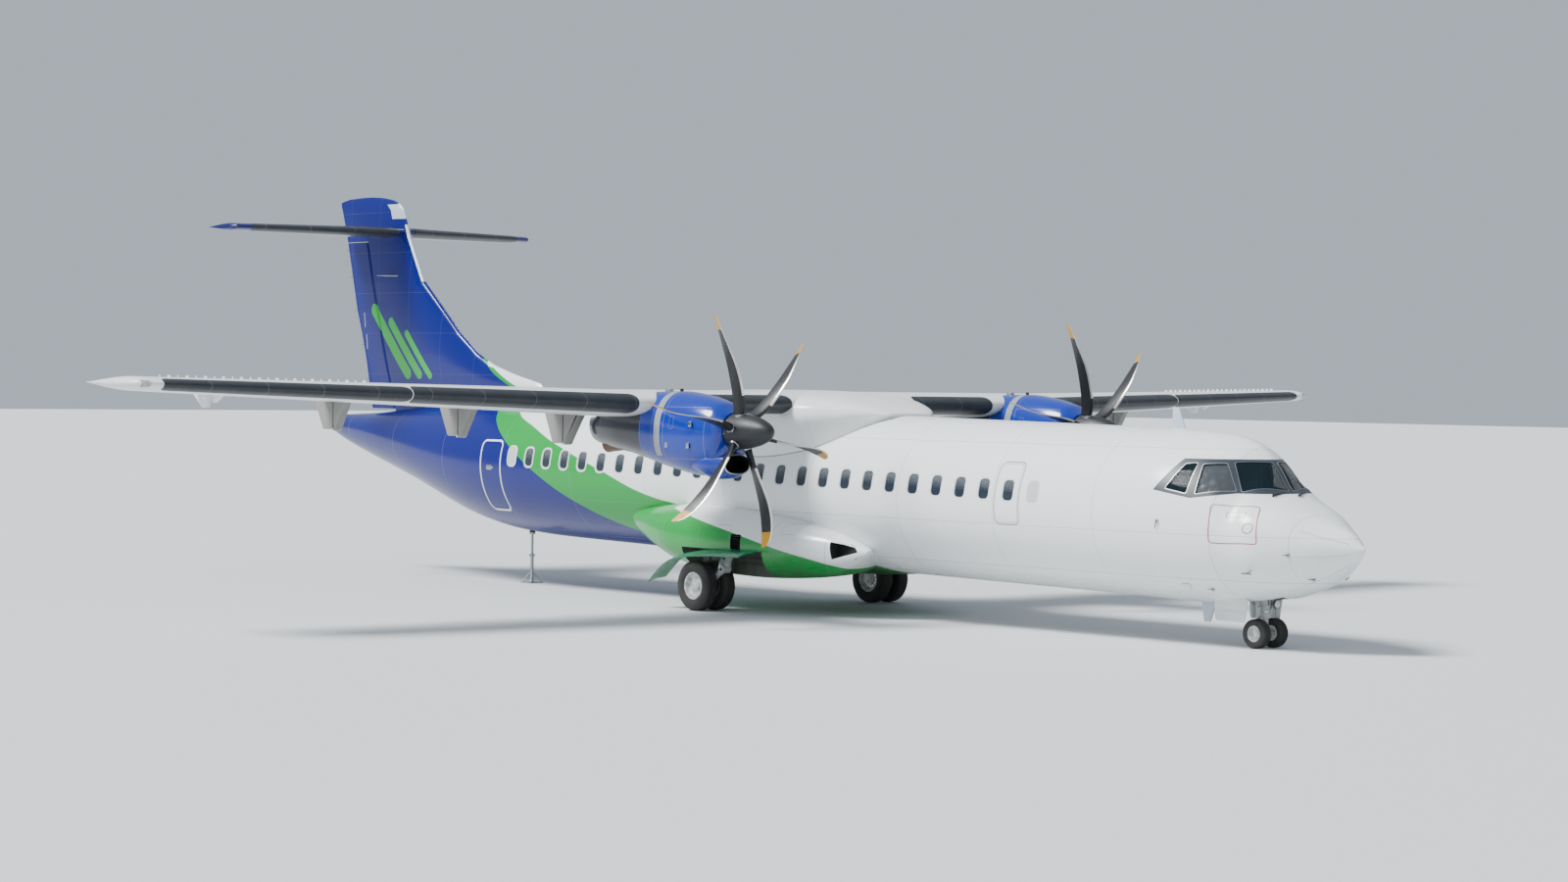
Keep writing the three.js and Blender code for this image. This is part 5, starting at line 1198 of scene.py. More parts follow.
def hump_point(s, share):
    """Point of the hood: over its top for three quarters of the ring, then back under, inside the hull."""
    top, shoulder, edge = (smooth(HUMP, c, s) for c in (1, 2, 3))
    drop = top - edge
    foot = skin_x(s, edge) + 0.006
    w = share / 0.75 if share < 0.75 else (1 - share) / 0.25
    side = -1 if w > 0.5 else 1
    t = 1 - abs(2 * w - 1)
    if share >= 0.75:
        return spot(side * (foot - 0.1) * abs(2 * w - 1), s, edge - 0.03)
    rows = ((0.0, foot, edge), (0.28, shoulder + (foot - shoulder) * 0.55, top - 0.72 * drop),
            (0.5, shoulder, top - 0.42 * drop), (0.62, 0.97 * shoulder, top - 0.24 * drop),
            (0.75, 0.82 * shoulder, top - 0.09 * drop), (0.87, 0.5 * shoulder, top - 0.02 * drop),
            (1.0, 0.0, top))
    return spot(side * smooth(rows, 1, t), s, smooth(rows, 2, t))


hood_white = plain_enamel("white_glass_fibre_enamel", "EBEDEC", 2.4, 0.12, 2.4)
hood = new_piece("wing_fairing_hood", loft(spaced(9.8, 10.6, 0.05) + spaced(10.75, 16.0, 0.25)
                                           + spaced(16.1, 16.8, 0.07), hump_point, 128), hood_white,
                 stands_for=["wing_fairing"])
for side in (-1, 1):
    carve(hood, plate(rectangle(12.9, 15.0, 3.2, 4.0), side * 1.53, side * 3.0))
bm = bmesh.new()
for side in (-1, 1):
    marks = spaced(9.9, 16.7, 0.16)
    for s0, s1 in zip(marks, marks[1:]):
        ends = [spot(side * (skin_x(s, smooth(HUMP, 3, s)) + 0.002), s, smooth(HUMP, 3, s))
                for s in (s0, s1)]
        add_rod(bm, *ends, 0.0055, segments=6)
new_piece("wing_fairing_sealant_bead", bm, seam_grey)

# Nacelles: composite cowls round each engine, with a chin intake under the spinner and an exhaust pipe
# out of the outboard side of the tail. Sprayed blue; behind the wing spar the cowl carries painted shadow
# of the wing, near-black and mottled with soot.
PROP_X, PROP_Y, PROP_Z = 4.05, 9.424 - HALF_LENGTH, 3.142
NACELLE = (  # station, half width, top, widest, bottom
    (9.615, 0.3, 3.445, 3.142, 2.83), (9.68, 0.385, 3.49, 3.1, 2.58), (9.83, 0.455, 3.6, 3.06, 2.44),
    (10.33, 0.53, 3.72, 3.05, 2.405), (10.87, 0.545, 3.775, 3.06, 2.48), (11.99, 0.54, 3.735, 3.12, 2.72),
    (12.6, 0.47, 3.56, 3.16, 2.8), (12.95, 0.36, 3.35, 3.17, 2.87), (13.27, 0.11, 3.31, 3.285, 3.255))
MOUTH = (  # station, half width, half height, height of its middle
    (9.4, 0.25, 0.145, 2.615), (9.56, 0.262, 0.152, 2.612), (9.75, 0.33, 0.175, 2.6),
    (10.05, 0.4, 0.17, 2.6),
    (10.4, 0.44, 0.15, 2.61))
COWL_FULLNESS = 2.3
COWL_BAND = (10.97, 0.15)  # middle and width of the grey clamp strap
# Station behind which the wing's shadow is painted on the cowl.
WING_SHADOW_FROM = 11.43


def nacelle_point(s, turn, side, grow=0.0):
    """Point of a nacelle at a station, at a share of the way round from the top."""
    half, top, widest, bottom = (smooth(NACELLE, c, s) for c in range(1, 5))
    across, up = math.sin(turn * math.tau), math.cos(turn * math.tau)
    reach = top + grow - widest if up > 0 else widest - bottom + grow
    return spot(side * (PROP_X + (half + grow) * power(across, COWL_FULLNESS)), s,
                widest + reach * power(up, COWL_FULLNESS))


def mouth_point(s, turn, side, grow=0.0):
    """Point of the chin intake's duct, an oval that widens as it runs back."""
    half, high, middle = (smooth(MOUTH, c, s) for c in (1, 2, 3))
    return spot(side * (PROP_X + (half + grow) * power(math.sin(turn * math.tau), 2.5)), s,
                middle + (high + grow) * power(math.cos(turn * math.tau), 2.5))


cowl_paint, tree, shader = new_material("royal_blue_cowl_enamel", IOR=1.5, Coat_Weight=0.3,
                                        Coat_Roughness=0.08)
place, x, y, z = paint_base(tree)
# Painted shadow of the wing: behind this station the cowl is near-black, mottled with soot.
behind = add(tree, "ShaderNodeMath", {0: y, 1: WING_SHADOW_FROM - HALF_LENGTH}, operation="GREATER_THAN").outputs[0]
shadow_and_soot_noise = add(tree, "ShaderNodeTexNoise", {"Vector": place, "Scale": 3.0, "Detail": 5.0})
painted_shadow_tone = add(tree, "ShaderNodeMix", {"Factor": shadow_and_soot_noise.outputs["Fac"], 6: srgb("0E121A"), 7: srgb("20252E")},
           data_type="RGBA").outputs[2]
base = add(tree, "ShaderNodeMix", {"Factor": behind, 6: srgb("052C96"), 7: painted_shadow_tone},
           data_type="RGBA").outputs[2]
strap = add(tree, "ShaderNodeMath", {0: y, 1: COWL_BAND[0] - HALF_LENGTH, 2: COWL_BAND[1] / 2},
            operation="COMPARE").outputs[0]
strap_low = add(tree, "ShaderNodeMath", {0: z, 1: 2.72}, operation="GREATER_THAN").outputs[0]
base = add(tree, "ShaderNodeMix", {"Factor": both(tree, strap, strap_low), 6: base, 7: srgb("8D9398")},
           data_type="RGBA").outputs[2]
doors = either(tree, rounded_frame(tree, y, z, (10.34 - HALF_LENGTH, 3.1), (0.47, 0.42), 0.03, 0.01),
               rounded_frame(tree, y, z, (11.26 - HALF_LENGTH, 3.12), (0.15, 0.36), 0.03, 0.01),
               rounded_frame(tree, y, z, (10.62 - HALF_LENGTH, 3.265), (0.05, 0.1), 0.02, 0.008))
seams = add(tree, "ShaderNodeMath", {0: either(tree, doors, line_at(tree, y, 1.72, 1.05, 0.01)), 1: 0.5},
            operation="MULTIPLY").outputs[0]
finish_enamel(tree, shader, base, place, seams, 2.9, 0.25, 0.18)
# Near-black lining of the intake duct and of the pod's inlet and louvre recesses: painted shade of these
# hollows.
hollow_shade_black = uneven_material("near_black_hollow_shade_lining", 12.0, colours=("08090A", "1D1F22"), detail=4.0,
                             Base_Color=srgb("0D0E10"), Roughness=0.8)
exhaust_steel = uneven_material("heat_tinted_exhaust_steel", 5.0, colours=("43352B", "7E6A57"),
                                gloss=(0.3, 0.6), detail=5.0, Metallic=1.0)


def exhaust_point(side, s, turn, radius):
    """Point of a ring round the exhaust pipe's sloping axis."""
    back = s - 12.01
    return spot(side * (4.13 + back / 18 + radius * math.sin(turn * math.tau)), s,
                2.955 - back / 9.5 + radius * math.cos(turn * math.tau))


def ring_tube(path, radius, count=72, sides=10):
    """Closed tube of a small radius that follows a ring of points."""
    def place_tube(t, share):
        here, ahead = path(t % 1), path((t + 0.004) % 1)
        along = (ahead - here).normalized()
        out = along.cross(Vector((0, 1, 0))).normalized()
        turn = share * math.tau
        return here + out * math.cos(turn) * radius + Vector((0, 1, 0)) * math.sin(turn) * radius
    return loft([k / count for k in range(count + 1)], place_tube, sides, caps=False)


def intake_duct(side, end, grow=0.0):
    """Closed body of the intake's duct as far back as a station, larger than it by grow."""
    return loft(spaced(9.4, end, 0.1), lambda s, t: mouth_point(s, t, side, grow), 64)


def exhaust_body(side, start, end, step, radius, segments):
    """Closed round body along the exhaust pipe's axis."""
    return loft(spaced(start, end, step), lambda s, t: exhaust_point(side, s, t, radius), segments)


cowl_stations = spaced(9.615, 9.95, 0.04) + spaced(10.05, 11.9, 0.18) + spaced(12.0, 13.27, 0.08)
for side, side_name in SIDES:
    shell = loft(cowl_stations, lambda s, t: nacelle_point(s, t, side), 96)
    cowl = new_piece(f"nacelle_cowl_{side_name}", shell, cowl_paint, stands_for=[f"nacelle_{side_name}"])
    carve(cowl, intake_duct(side, 10.05))
    carve(cowl, exhaust_body(side, 12.2, 13.45, 0.25, 0.162, 40))
    scoop = loft([9.56, 9.6, 9.68, 9.78, 9.9, 10.05, 10.2, 10.38],
                 lambda s, t: mouth_point(s, t, side, 0.008 + 0.06 * min(1, (s - 9.56) / 0.3)
                                          - 0.14 * max(0, (s - 9.9) / 0.48)), 64)
    lip = new_piece(f"chin_intake_{side_name}", scoop, cowl_paint)
    carve(lip, intake_duct(side, 10.05))
    # The duct's lining is near-black: painted shade inside the intake.
    lining = new_piece(f"intake_lining_{side_name}", loft(
        spaced(9.565, 10.04, 0.06), lambda s, t: mouth_point(s, t, side, -0.001), 64), hollow_shade_black)
    carve(lining, intake_duct(side, 10.0, -0.009))
    lip_ring = ring_tube(lambda t: mouth_point(9.562, t, side, 0.004), 0.013)
    new_piece(f"intake_lip_{side_name}", lip_ring, bare_alloy)
    pipe = new_piece(f"exhaust_pipe_{side_name}", exhaust_body(side, 12.01, 12.72, 0.1, 0.15, 48),
                     exhaust_steel,
                     stands_for=[f"exhaust_{side_name}"])
    carve(pipe, exhaust_body(side, 12.43, 12.8, 0.1, 0.132, 48))
    rim_ring = ring_tube(lambda t: exhaust_point(side, 12.72, t, 0.147), 0.009, 48, 8)
    new_piece(f"exhaust_rim_{side_name}", rim_ring, exhaust_steel)
    fittings, dark_bits = bmesh.new(), bmesh.new()
    for end in (-1, 1):
        flank = PROP_X + 0.527 * end
        for s, z in ((10.135, 3.249), (10.19, 2.9), (10.73, 2.9)):
            add_block(fittings, spot(side * flank - 0.012, s - 0.03, z - 0.045),
                      spot(side * flank + 0.012, s + 0.03, z + 0.045), 0.006)
        add_block(dark_bits, spot(side * flank - 0.016, 10.115, 3.228),
                  spot(side * flank + 0.016, 10.155, 3.272), 0.004)
    add_block(fittings, spot(side * 4.0 - 0.05, 11.3, 3.72), spot(side * 4.0 + 0.05, 11.42, 3.81),
              0.015)
    add_rod(dark_bits, spot(side * 4.05, 10.98, 3.74), spot(side * 4.05, 10.98, 3.815), 0.03)
    new_piece(f"cowl_fittings_{side_name}", fittings, bare_alloy)
    new_piece(f"cowl_drains_{side_name}", dark_bits, matt_black)
    core = bmesh.new()
    add_block(core, spot(side * PROP_X - 0.3, 9.88, 2.86), spot(side * PROP_X + 0.3, 10.8, 3.27),
              0.06)
    add_block(core, spot(side * PROP_X - 0.26, 10.79, 2.92),
              spot(side * PROP_X + 0.26, 11.9, 3.27), 0.06)
    add_rod(core, spot(side * PROP_X, 9.78, PROP_Z), spot(side * PROP_X, 9.9, PROP_Z), 0.08)
    new_piece(f"engine_casing_{side_name}", core, bare_alloy, stands_for=[f"engine_{side_name}"])

# Propellers: six swept carbon-fibre blades with nickel leading edges and painted tips, each clamped in
# the hub by an alloy collar, under a spun composite spinner. They stand feathered, as they park.
BLADE = (  # radius, chord, sweep aft, pitch from the plane of rotation, thickness
    (0.16, 0.135, 0, 107, 0.135), (0.27, 0.14, 0, 107, 0.135), (0.33, 0.222, -0.002, 107, 0.105),
    (0.45, 0.235, -0.04, 107, 0.07), (0.8, 0.24, -0.085, 100, 0.04), (1.15, 0.25, -0.1, 89, 0.027),
    (1.45, 0.235, -0.07, 78, 0.02), (1.7, 0.205, -0.015, 71, 0.014), (1.86, 0.16, 0.045, 69, 0.011),
    (1.94, 0.105, 0.1, 69.5, 0.009), (1.965, 0.045, 0.13, 70, 0.006))
TIP_PAINT_FROM = 1.71


def blade_point(radius, share, keep=1.0, lift=0.0):
    """Point of a blade's section; keep under 1 holds only the strip at the leading edge."""
    chord, sweep, twist, thick = (smooth(BLADE, c, radius) for c in range(1, 5))
    w = abs(1 - 2 * share) * math.pi * keep
    up = 1 if share < 0.5 else -1
    along = -0.5 * math.cos(w) * chord + sweep
    across = up * (0.5 * thick * math.sin(w) * (1 + 0.3 * math.cos(w)) + lift)
    turn = math.radians(twist)
    return Vector(((along - lift) * math.cos(turn) - across * math.sin(turn),
                   (along - lift) * math.sin(turn) + across * math.cos(turn), radius))


def sheath_point(radius, share):
    """Point of the nickel strip: outside round the leading edge, then back inside the blade."""
    w = share * 2 if share < 0.5 else 2 - share * 2
    return blade_point(radius, w, 0.26, 0.0012 if share < 0.5 else -0.001)


nickel = uneven_material("electroformed_nickel_edge", 70.0, gloss=(0.2, 0.45), detail=3.0,
                         Base_Color=srgb("D8D6CF"), Metallic=1.0)
spinner_paint = uneven_material("satin_charcoal_spinner_enamel", 7.0, colours=("121315", "26282B"),
                                gloss=(0.34, 0.6), detail=6.0, IOR=1.48)
SPINNER = ((0, 0.0), (0.006, 0.04), (0.05, 0.1), (0.18, 0.176), (0.38, 0.24), (0.64, 0.282), (0.872, 0.29),
           (0.88, 0.284))
for side, side_name, first in ((-1, "starboard", -17.8), (1, "port", -16.3)):
    blade_paint, tree, shader = new_material(f"black_blade_paint_{side_name}", IOR=1.48)
    place, x, y, z = paint_base(tree)
    out = add(tree, "ShaderNodeCombineXYZ", {"X": x, "Y": z})
    from_hub = add(tree, "ShaderNodeVectorMath", {0: out.outputs[0], 1: (side * PROP_X, PROP_Z, 0)},
                   operation="DISTANCE").outputs["Value"]
    painted = add(tree, "ShaderNodeMath", {0: from_hub, 1: TIP_PAINT_FROM},
                  operation="GREATER_THAN").outputs[0]
    chips = add(tree, "ShaderNodeTexNoise", {"Vector": place, "Scale": 18.0, "Detail": 6.0})
    black = add(tree, "ShaderNodeMix", {"Factor": chips.outputs["Fac"], 6: srgb("0E0F11"),
                                        7: srgb("202225")},
                data_type="RGBA").outputs[2]
    yellow = add(tree, "ShaderNodeMix", {"Factor": chips.outputs["Fac"], 6: srgb("C99200"),
                                         7: srgb("A97A00")},
                 data_type="RGBA").outputs[2]
    shown = add(tree, "ShaderNodeMix", {"Factor": painted, 6: black, 7: yellow}, data_type="RGBA").outputs[2]
    tree.links.new(shown, shader.inputs["Base Color"])
    vary_gloss(shader, chips.outputs["Fac"], 0.3, 0.55)
    body = f"propeller_{side_name}"
    blades, edges, collars, bolts = bmesh.new(), bmesh.new(), bmesh.new(), bmesh.new()
    radii = [0.16, 0.22, 0.27, 0.29, 0.31, 0.33, 0.37, 0.41, *spaced(0.45, 1.85, 0.07), 1.88, 1.91, 1.93,
             1.945,
             1.955, 1.9645]
    for k in range(6):
        stand = (Matrix.Translation((side * PROP_X, PROP_Y, PROP_Z))
                 @ Matrix.Rotation(math.radians(first + 60 * k), 4, "Y"))
        one = loft(radii, lambda r, t: stand @ blade_point(r, t), 36)
        strip = loft(spaced(0.6, 1.93, 0.07), lambda r, t: stand @ sheath_point(r, t), 24)
        merge(blades, one)
        merge(edges, strip)
        add_rod(collars, stand @ Vector((0, 0, 0.268)), stand @ Vector((0, 0, 0.3)), 0.088, 0.08, 32)
        for i in range(8):
            a = math.tau * i / 8
            foot = Vector((0.076 * math.cos(a), 0.076 * math.sin(a), 0.298))
            add_rod(bolts, stand @ foot, stand @ (foot + Vector((0, 0, 0.007))), 0.006, segments=6)
    add_rod(blades, (side * PROP_X, PROP_Y - 0.12, PROP_Z), (side * PROP_X, PROP_Y + 0.12, PROP_Z), 0.15,
            segments=36)
    new_piece(f"blades_{side_name}", blades, blade_paint, body, [f"propeller_{side_name}"])
    new_piece(f"nickel_edges_{side_name}", edges, nickel, body)
    new_piece(f"blade_collars_{side_name}", collars, bare_alloy, body)
    new_piece(f"collar_bolts_{side_name}", bolts, chrome, body)
    new_piece(f"spinner_shell_{side_name}", loft(
        [0, 0.002, 0.006, 0.014, 0.026, *spaced(0.05, 0.84, 0.04), 0.868, 0.874, 0.88],
        lambda a, t: spot(side * PROP_X + smooth(SPINNER, 1, a) * math.sin(t * math.tau), 8.72 + a,
                          PROP_Z + smooth(SPINNER, 1, a) * math.cos(t * math.tau)), 64), spinner_paint, body,
              [f"spinner_{side_name}"])
    screws = bmesh.new()
    for i in range(24):
        a = math.tau * (i + 0.5) / 24
        root = spot(side * PROP_X + 0.288 * math.sin(a), 9.575, PROP_Z + 0.288 * math.cos(a))
        add_rod(screws, root, root + Vector((0.0045 * math.sin(a), 0, 0.0045 * math.cos(a))), 0.007,
                segments=6)
    new_piece(f"spinner_screws_{side_name}", screws, chrome, body)

# Fin and rudder: metal boxes under sheet skins, with a long dorsal fillet. The rudder hangs on its
# hinge line behind the fin; its livery carries plain rounded bars.
FIN = (  # height, leading edge, trailing edge, thickness
    (3.15, 19.5, 25.7, 0.15), (3.35, 19.5, 25.76, 0.15), (3.85, 20.1, 25.88, 0.23),
    (3.99, 20.81, 25.915, 0.25), (4.19, 21.58, 25.96, 0.27), (4.4, 22.06, 26.02, 0.28),
    (4.82, 22.7, 26.15, 0.28), (5.3, 23.27, 26.33, 0.27), (5.87, 23.97, 26.48, 0.255),
    (6.78, 24.48, 26.72, 0.22), (7.33, 24.7, 26.9, 0.15), (7.46, 24.87, 26.95, 0.11),
    (7.53, 25.08, 26.95, 0.08),
    (7.585, 25.43, 26.65, 0.05), (7.61, 25.8, 26.15, 0.03))
RUDDER_TOP, RUDDER_FOOT, FIN_GAP, RUDDER_NOSE = 6.7, 3.29, 0.085, 0.06


def hinge_station(z):
    """Station of the rudder's hinge line at a height."""
    return 25.0 + (z - 3.35) * 0.96 / 3.43


def fin_point(z, share, whole=False):
    """Point of the fin at a height, from its rear edge to port round the nose to starboard."""
    lead, trail, thick = (linear(FIN, c, z) for c in (1, 2, 3))
    end = trail if whole else hinge_station(z) - FIN_GAP
    v = abs(1 - 2 * share) ** 1.9
    s = lead + v * (end - lead)
    u = min(1, (s - lead) / (trail - lead))
    side = 1 if share < 0.5 else -1
    return spot(side * half_thick(u, thick) * min(1, v * 60), s, z)


def rudder_point(z, share):
    """Point of the rudder at a height, from its trailing edge round its nose."""
    lead, trail, thick = (linear(FIN, c, z) for c in (1, 2, 3))
    start = hinge_station(z) - RUDDER_NOSE
    v = abs(1 - 2 * share) ** 1.7
    s = start + v * (trail - start)
    nose = math.sqrt(max(0.0, 1 - (1 - min(1, v / 0.1)) ** 2))
    side = 1 if share < 0.5 else -1
    return spot(side * half_thick(min(1, (s - lead) / (trail - lead)), thick) * nose, s, z)


def bar_mask(tree, y, z, start, end, radius):
    """1 inside a straight bar with round ends, in the side view."""
    a = Vector((start[0] - HALF_LENGTH, start[1], 0))
    along = Vector((end[0] - HALF_LENGTH, end[1], 0)) - a
    flat = add(tree, "ShaderNodeCombineXYZ", {"X": y, "Y": z}).outputs[0]
    off = add(tree, "ShaderNodeVectorMath", {0: flat, 1: a}, operation="SUBTRACT").outputs[0]
    dot = add(tree, "ShaderNodeVectorMath", {0: off, 1: along}, operation="DOT_PRODUCT").outputs["Value"]
    part = add(tree, "ShaderNodeMath", {0: dot, 1: along.length_squared}, operation="DIVIDE", use_clamp=True)
    foot = add(tree, "ShaderNodeVectorMath", {0: along, "Scale": part.outputs[0]},
               operation="SCALE").outputs[0]
    away = add(tree, "ShaderNodeVectorMath", {0: off, 1: foot}, operation="DISTANCE").outputs["Value"]
    return add(tree, "ShaderNodeMath", {0: away, 1: radius}, operation="LESS_THAN").outputs[0]


fin_paint, tree, shader = new_material("royal_blue_fin_enamel", IOR=1.42, Coat_Weight=0.08,
                                       Coat_Roughness=0.08)
place, x, y, z = paint_base(tree)
FIN_WHITE = ((19.2, 3.42), (20.2, 3.62), (20.77, 3.79), (21.51, 4.13), (21.8, 4.3), (22.2, 6.0))
FIN_GREEN = ((19.5, 3.42), (20.4, 3.6), (20.96, 3.79), (21.74, 4.2), (21.95, 4.4), (22.2, 6.0))
over_white = add(tree, "ShaderNodeMath", {0: z, 1: height_curve(tree, y, FIN_WHITE, 8.0)},
                 operation="GREATER_THAN").outputs[0]
over_green = add(tree, "ShaderNodeMath", {0: z, 1: height_curve(tree, y, FIN_GREEN, 8.0)},
                 operation="GREATER_THAN").outputs[0]
front = add(tree, "ShaderNodeMath", {0: y, 1: 22.0 - HALF_LENGTH}, operation="LESS_THAN").outputs[0]
colour = add(tree, "ShaderNodeMix", {"Factor": both(tree, over_green, front), 6: BLUE, 7: GREEN},
             data_type="RGBA").outputs[2]
colour = add(tree, "ShaderNodeMix", {"Factor": both(tree, over_white, front), 6: colour, 7: WHITE},
             data_type="RGBA").outputs[2]
bars = either(tree, bar_mask(tree, y, z, (24.42, 4.02), (25.62, 5.3), 0.125),
              bar_mask(tree, y, z, (24.0, 4.0), (24.98, 5.04), 0.1),
              bar_mask(tree, y, z, (23.62, 3.98), (24.4, 4.81), 0.075))
colour = add(tree, "ShaderNodeMix", {"Factor": bars, 6: colour, 7: srgb("12B23A")},
             data_type="RGBA").outputs[2]
seams = add(tree, "ShaderNodeMath", {0: either(tree, line_at(tree, z, 0.82, 0.1, 0.006),
                                               line_at(tree, y, 1.1, 0.25, 0.006)), 1: 0.25},
            operation="MULTIPLY").outputs[0]
finish_enamel(tree, shader, colour, place, seams, 0.0, 0.2, 0.2)
fin_low = [3.15, *spaced(3.25, 6.65, 0.06), RUDDER_TOP]
fin_high = [RUDDER_TOP + SPLIT, *spaced(6.75, 7.3, 0.06), *spaced(7.33, 7.6, 0.015), 7.608]
fin_box = loft(fin_low, fin_point, 80, ends=True)
fin_cap = loft(fin_high, lambda z, t: fin_point(z, t, True), 80, ends=True)
BULLET = ((0, 0), (0.06, 0.052), (0.7, 0.038), (0.74, 0.026), (0.76, 0.0))  # length, radius
bullet = loft([0, 0.01, 0.03, 0.06, 0.7, 0.74, 0.758, 0.76],
              lambda a, t: spot(smooth(BULLET, 1, a) * math.sin(t * math.tau), 26.3 + a,
                                6.765 - a / 76 + smooth(BULLET, 1, a) * math.cos(t * math.tau)), 32)
fin_skin = new_piece("fin_skin", joined(fin_box, fin_cap, bullet), fin_paint, stands_for=["fin"],
                     sharp=60)
carve(fin_skin, hull_body(hull_stations(19.0, 27.1), -0.002), sharp=60)
new_piece("rudder_skin", loft(spaced(RUDDER_FOOT, RUDDER_TOP - PLAY, 0.08), rudder_point, 64, ends=True),
          fin_paint,
          "rudder", ["rudder"])

# Fin fittings: polished erosion strip on the leading edge, the pale cover of the fin-top lamp, a stub
# antenna on each side, hinge covers of the rudder's tab, and static wicks.
strip_alloy = uneven_material("polished_erosion_strip", 22.0, gloss=(0.3, 0.5), detail=3.0,
                              Base_Color=srgb("E6E8E8"), Metallic=0.85)


def edge_strip(z, share, reach=0.055, lift=0.0025):
    """Point of a strip round the fin's leading edge: outside first, then back inside."""
    lead, trail, thick = (linear(FIN, c, z) for c in (1, 2, 3))
    outside = share < 0.5
    w = 1 - 4 * share if outside else 4 * share - 3
    off = lift if outside else -0.004
    back = reach * w * w
    half = aerofoil(back / (trail - lead)) * thick
    return spot(math.copysign(half + off * min(1, abs(w) * 4), w), lead + back - off * (1 - abs(w)), z)


new_piece("fin_erosion_strip", loft(spaced(5.86, 7.02, 0.08), edge_strip, 32), strip_alloy)
lamp_cover = plain_enamel("pale_lamp_cover", "BCC9D4", 0.0, 0.05)
new_piece("fin_top_cover", loft(spaced(7.14, 7.44, 0.03), lambda z, t: edge_strip(z, t, 0.42, 0.003), 40),
          lamp_cover)
stubs, tabs = bmesh.new(), bmesh.new()
for side in (-1, 1):
    stub = add_prism(bmesh.new(), [(24.72, 5.968), (25.05, 5.968), (25.05, 5.992), (24.72, 5.992)], 0, 1)
    for vert in stub.verts:
        share = vert.co.x
        middle = 24.9 - HALF_LENGTH
        vert.co = Vector((side * (0.1 + 0.33 * share), middle + (vert.co.y - middle) * (1 - 0.45 * share)
                          + 0.05 * share, 5.98 + (vert.co.z - 5.98) * (1 - 0.6 * share)))
    bmesh.ops.recalc_face_normals(stub, faces=stub.faces)
    round_edges(stub, stub.edges[:], 0.004)
    merge(stubs, stub)
    for z, s in ((5.1, 26.0), (4.65, 25.93)):
        lead, trail, thick = (linear(FIN, c, z) for c in (1, 2, 3))
        flank = half_thick((s - lead) / (trail - lead), thick)
        add_rod(tabs, spot(side * flank, s, z - 0.15), spot(side * (flank - 0.004), s + 0.04, z + 0.15),
                0.012, segments=8)
new_piece("fin_stub_antennas", stubs, strip_paint)
new_piece("rudder_tab_hinges", tabs, strip_paint, "rudder")
bm = bmesh.new()
for z in (3.9, 4.6, 5.3, 6.0, 6.55):
    trail = linear(FIN, 2, z) - HALF_LENGTH
    add_rod(bm, (0, trail - 0.03, z), (0, trail + 0.13, z - 0.02), 0.005, 0.003, 8)
new_piece("rudder_static_wicks", bm, matt_black, "rudder")

# Tailplane and elevators, on top of the fin: metal boxes under blue skins with short tip caps, with
# black rubber boots glued round the leading edges and wicks at the rear.
TAILPLANE = (  # across, leading edge, hinge, trailing edge, thickness
    (0, 24.55, 26.0, 26.6, 0.23), (3.595, 25.28, 25.96, 26.252, 0.14), (3.655, 25.42, 25.98, 26.21, 0.08))
TAIL_Z, ELEVATOR_X, ELEVATOR_END = 6.864, 0.19, 3.515
TAIL_GAP, ELEVATOR_NOSE = 0.06, 0.045


def tail_point(x, share, whole=False):
    """Point of the tailplane, from its rear edge on top round the nose."""
    lead, hinge, trail, thick = (linear(TAILPLANE, c, abs(x)) for c in range(1, 5))
    end = trail if whole else hinge - TAIL_GAP
    v = abs(1 - 2 * share) ** 1.9
    s = lead + v * (end - lead)
    up = 1 if share < 0.5 else -1
    return spot(x, s, TAIL_Z + up * half_thick((s - lead) / (trail - lead), thick) * min(1, v * 60))


def elevator_point(x, share):
    """Point of an elevator, from its trailing edge round its nose."""
    lead, hinge, trail, thick = (linear(TAILPLANE, c, abs(x)) for c in range(1, 5))
    start = hinge - ELEVATOR_NOSE
    v = abs(1 - 2 * share) ** 1.7
    s = start + v * (trail - start)
    nose = math.sqrt(max(0.0, 1 - (1 - min(1, v / 0.1)) ** 2))
    up = 1 if share < 0.5 else -1
    return spot(x, s, TAIL_Z + up * half_thick((s - lead) / (trail - lead), thick) * nose)


def tail_boot(at, share):
    """Point of the rubber boot on the tailplane's leading edge."""
    x, reach = at
    lead, trail, thick = (linear(TAILPLANE, c, abs(x)) for c in (1, 3, 4))
    outside = share < 0.5
    w = 1 - 4 * share if outside else 4 * share - 3
    off = 0.003 * (1 - abs(w) ** 8) if outside else -0.004
    back = reach * w * w
    half = aerofoil(back / (trail - lead)) * thick
    return spot(x, lead + back - off * (1 - abs(w)), TAIL_Z + math.copysign(half + off, w))


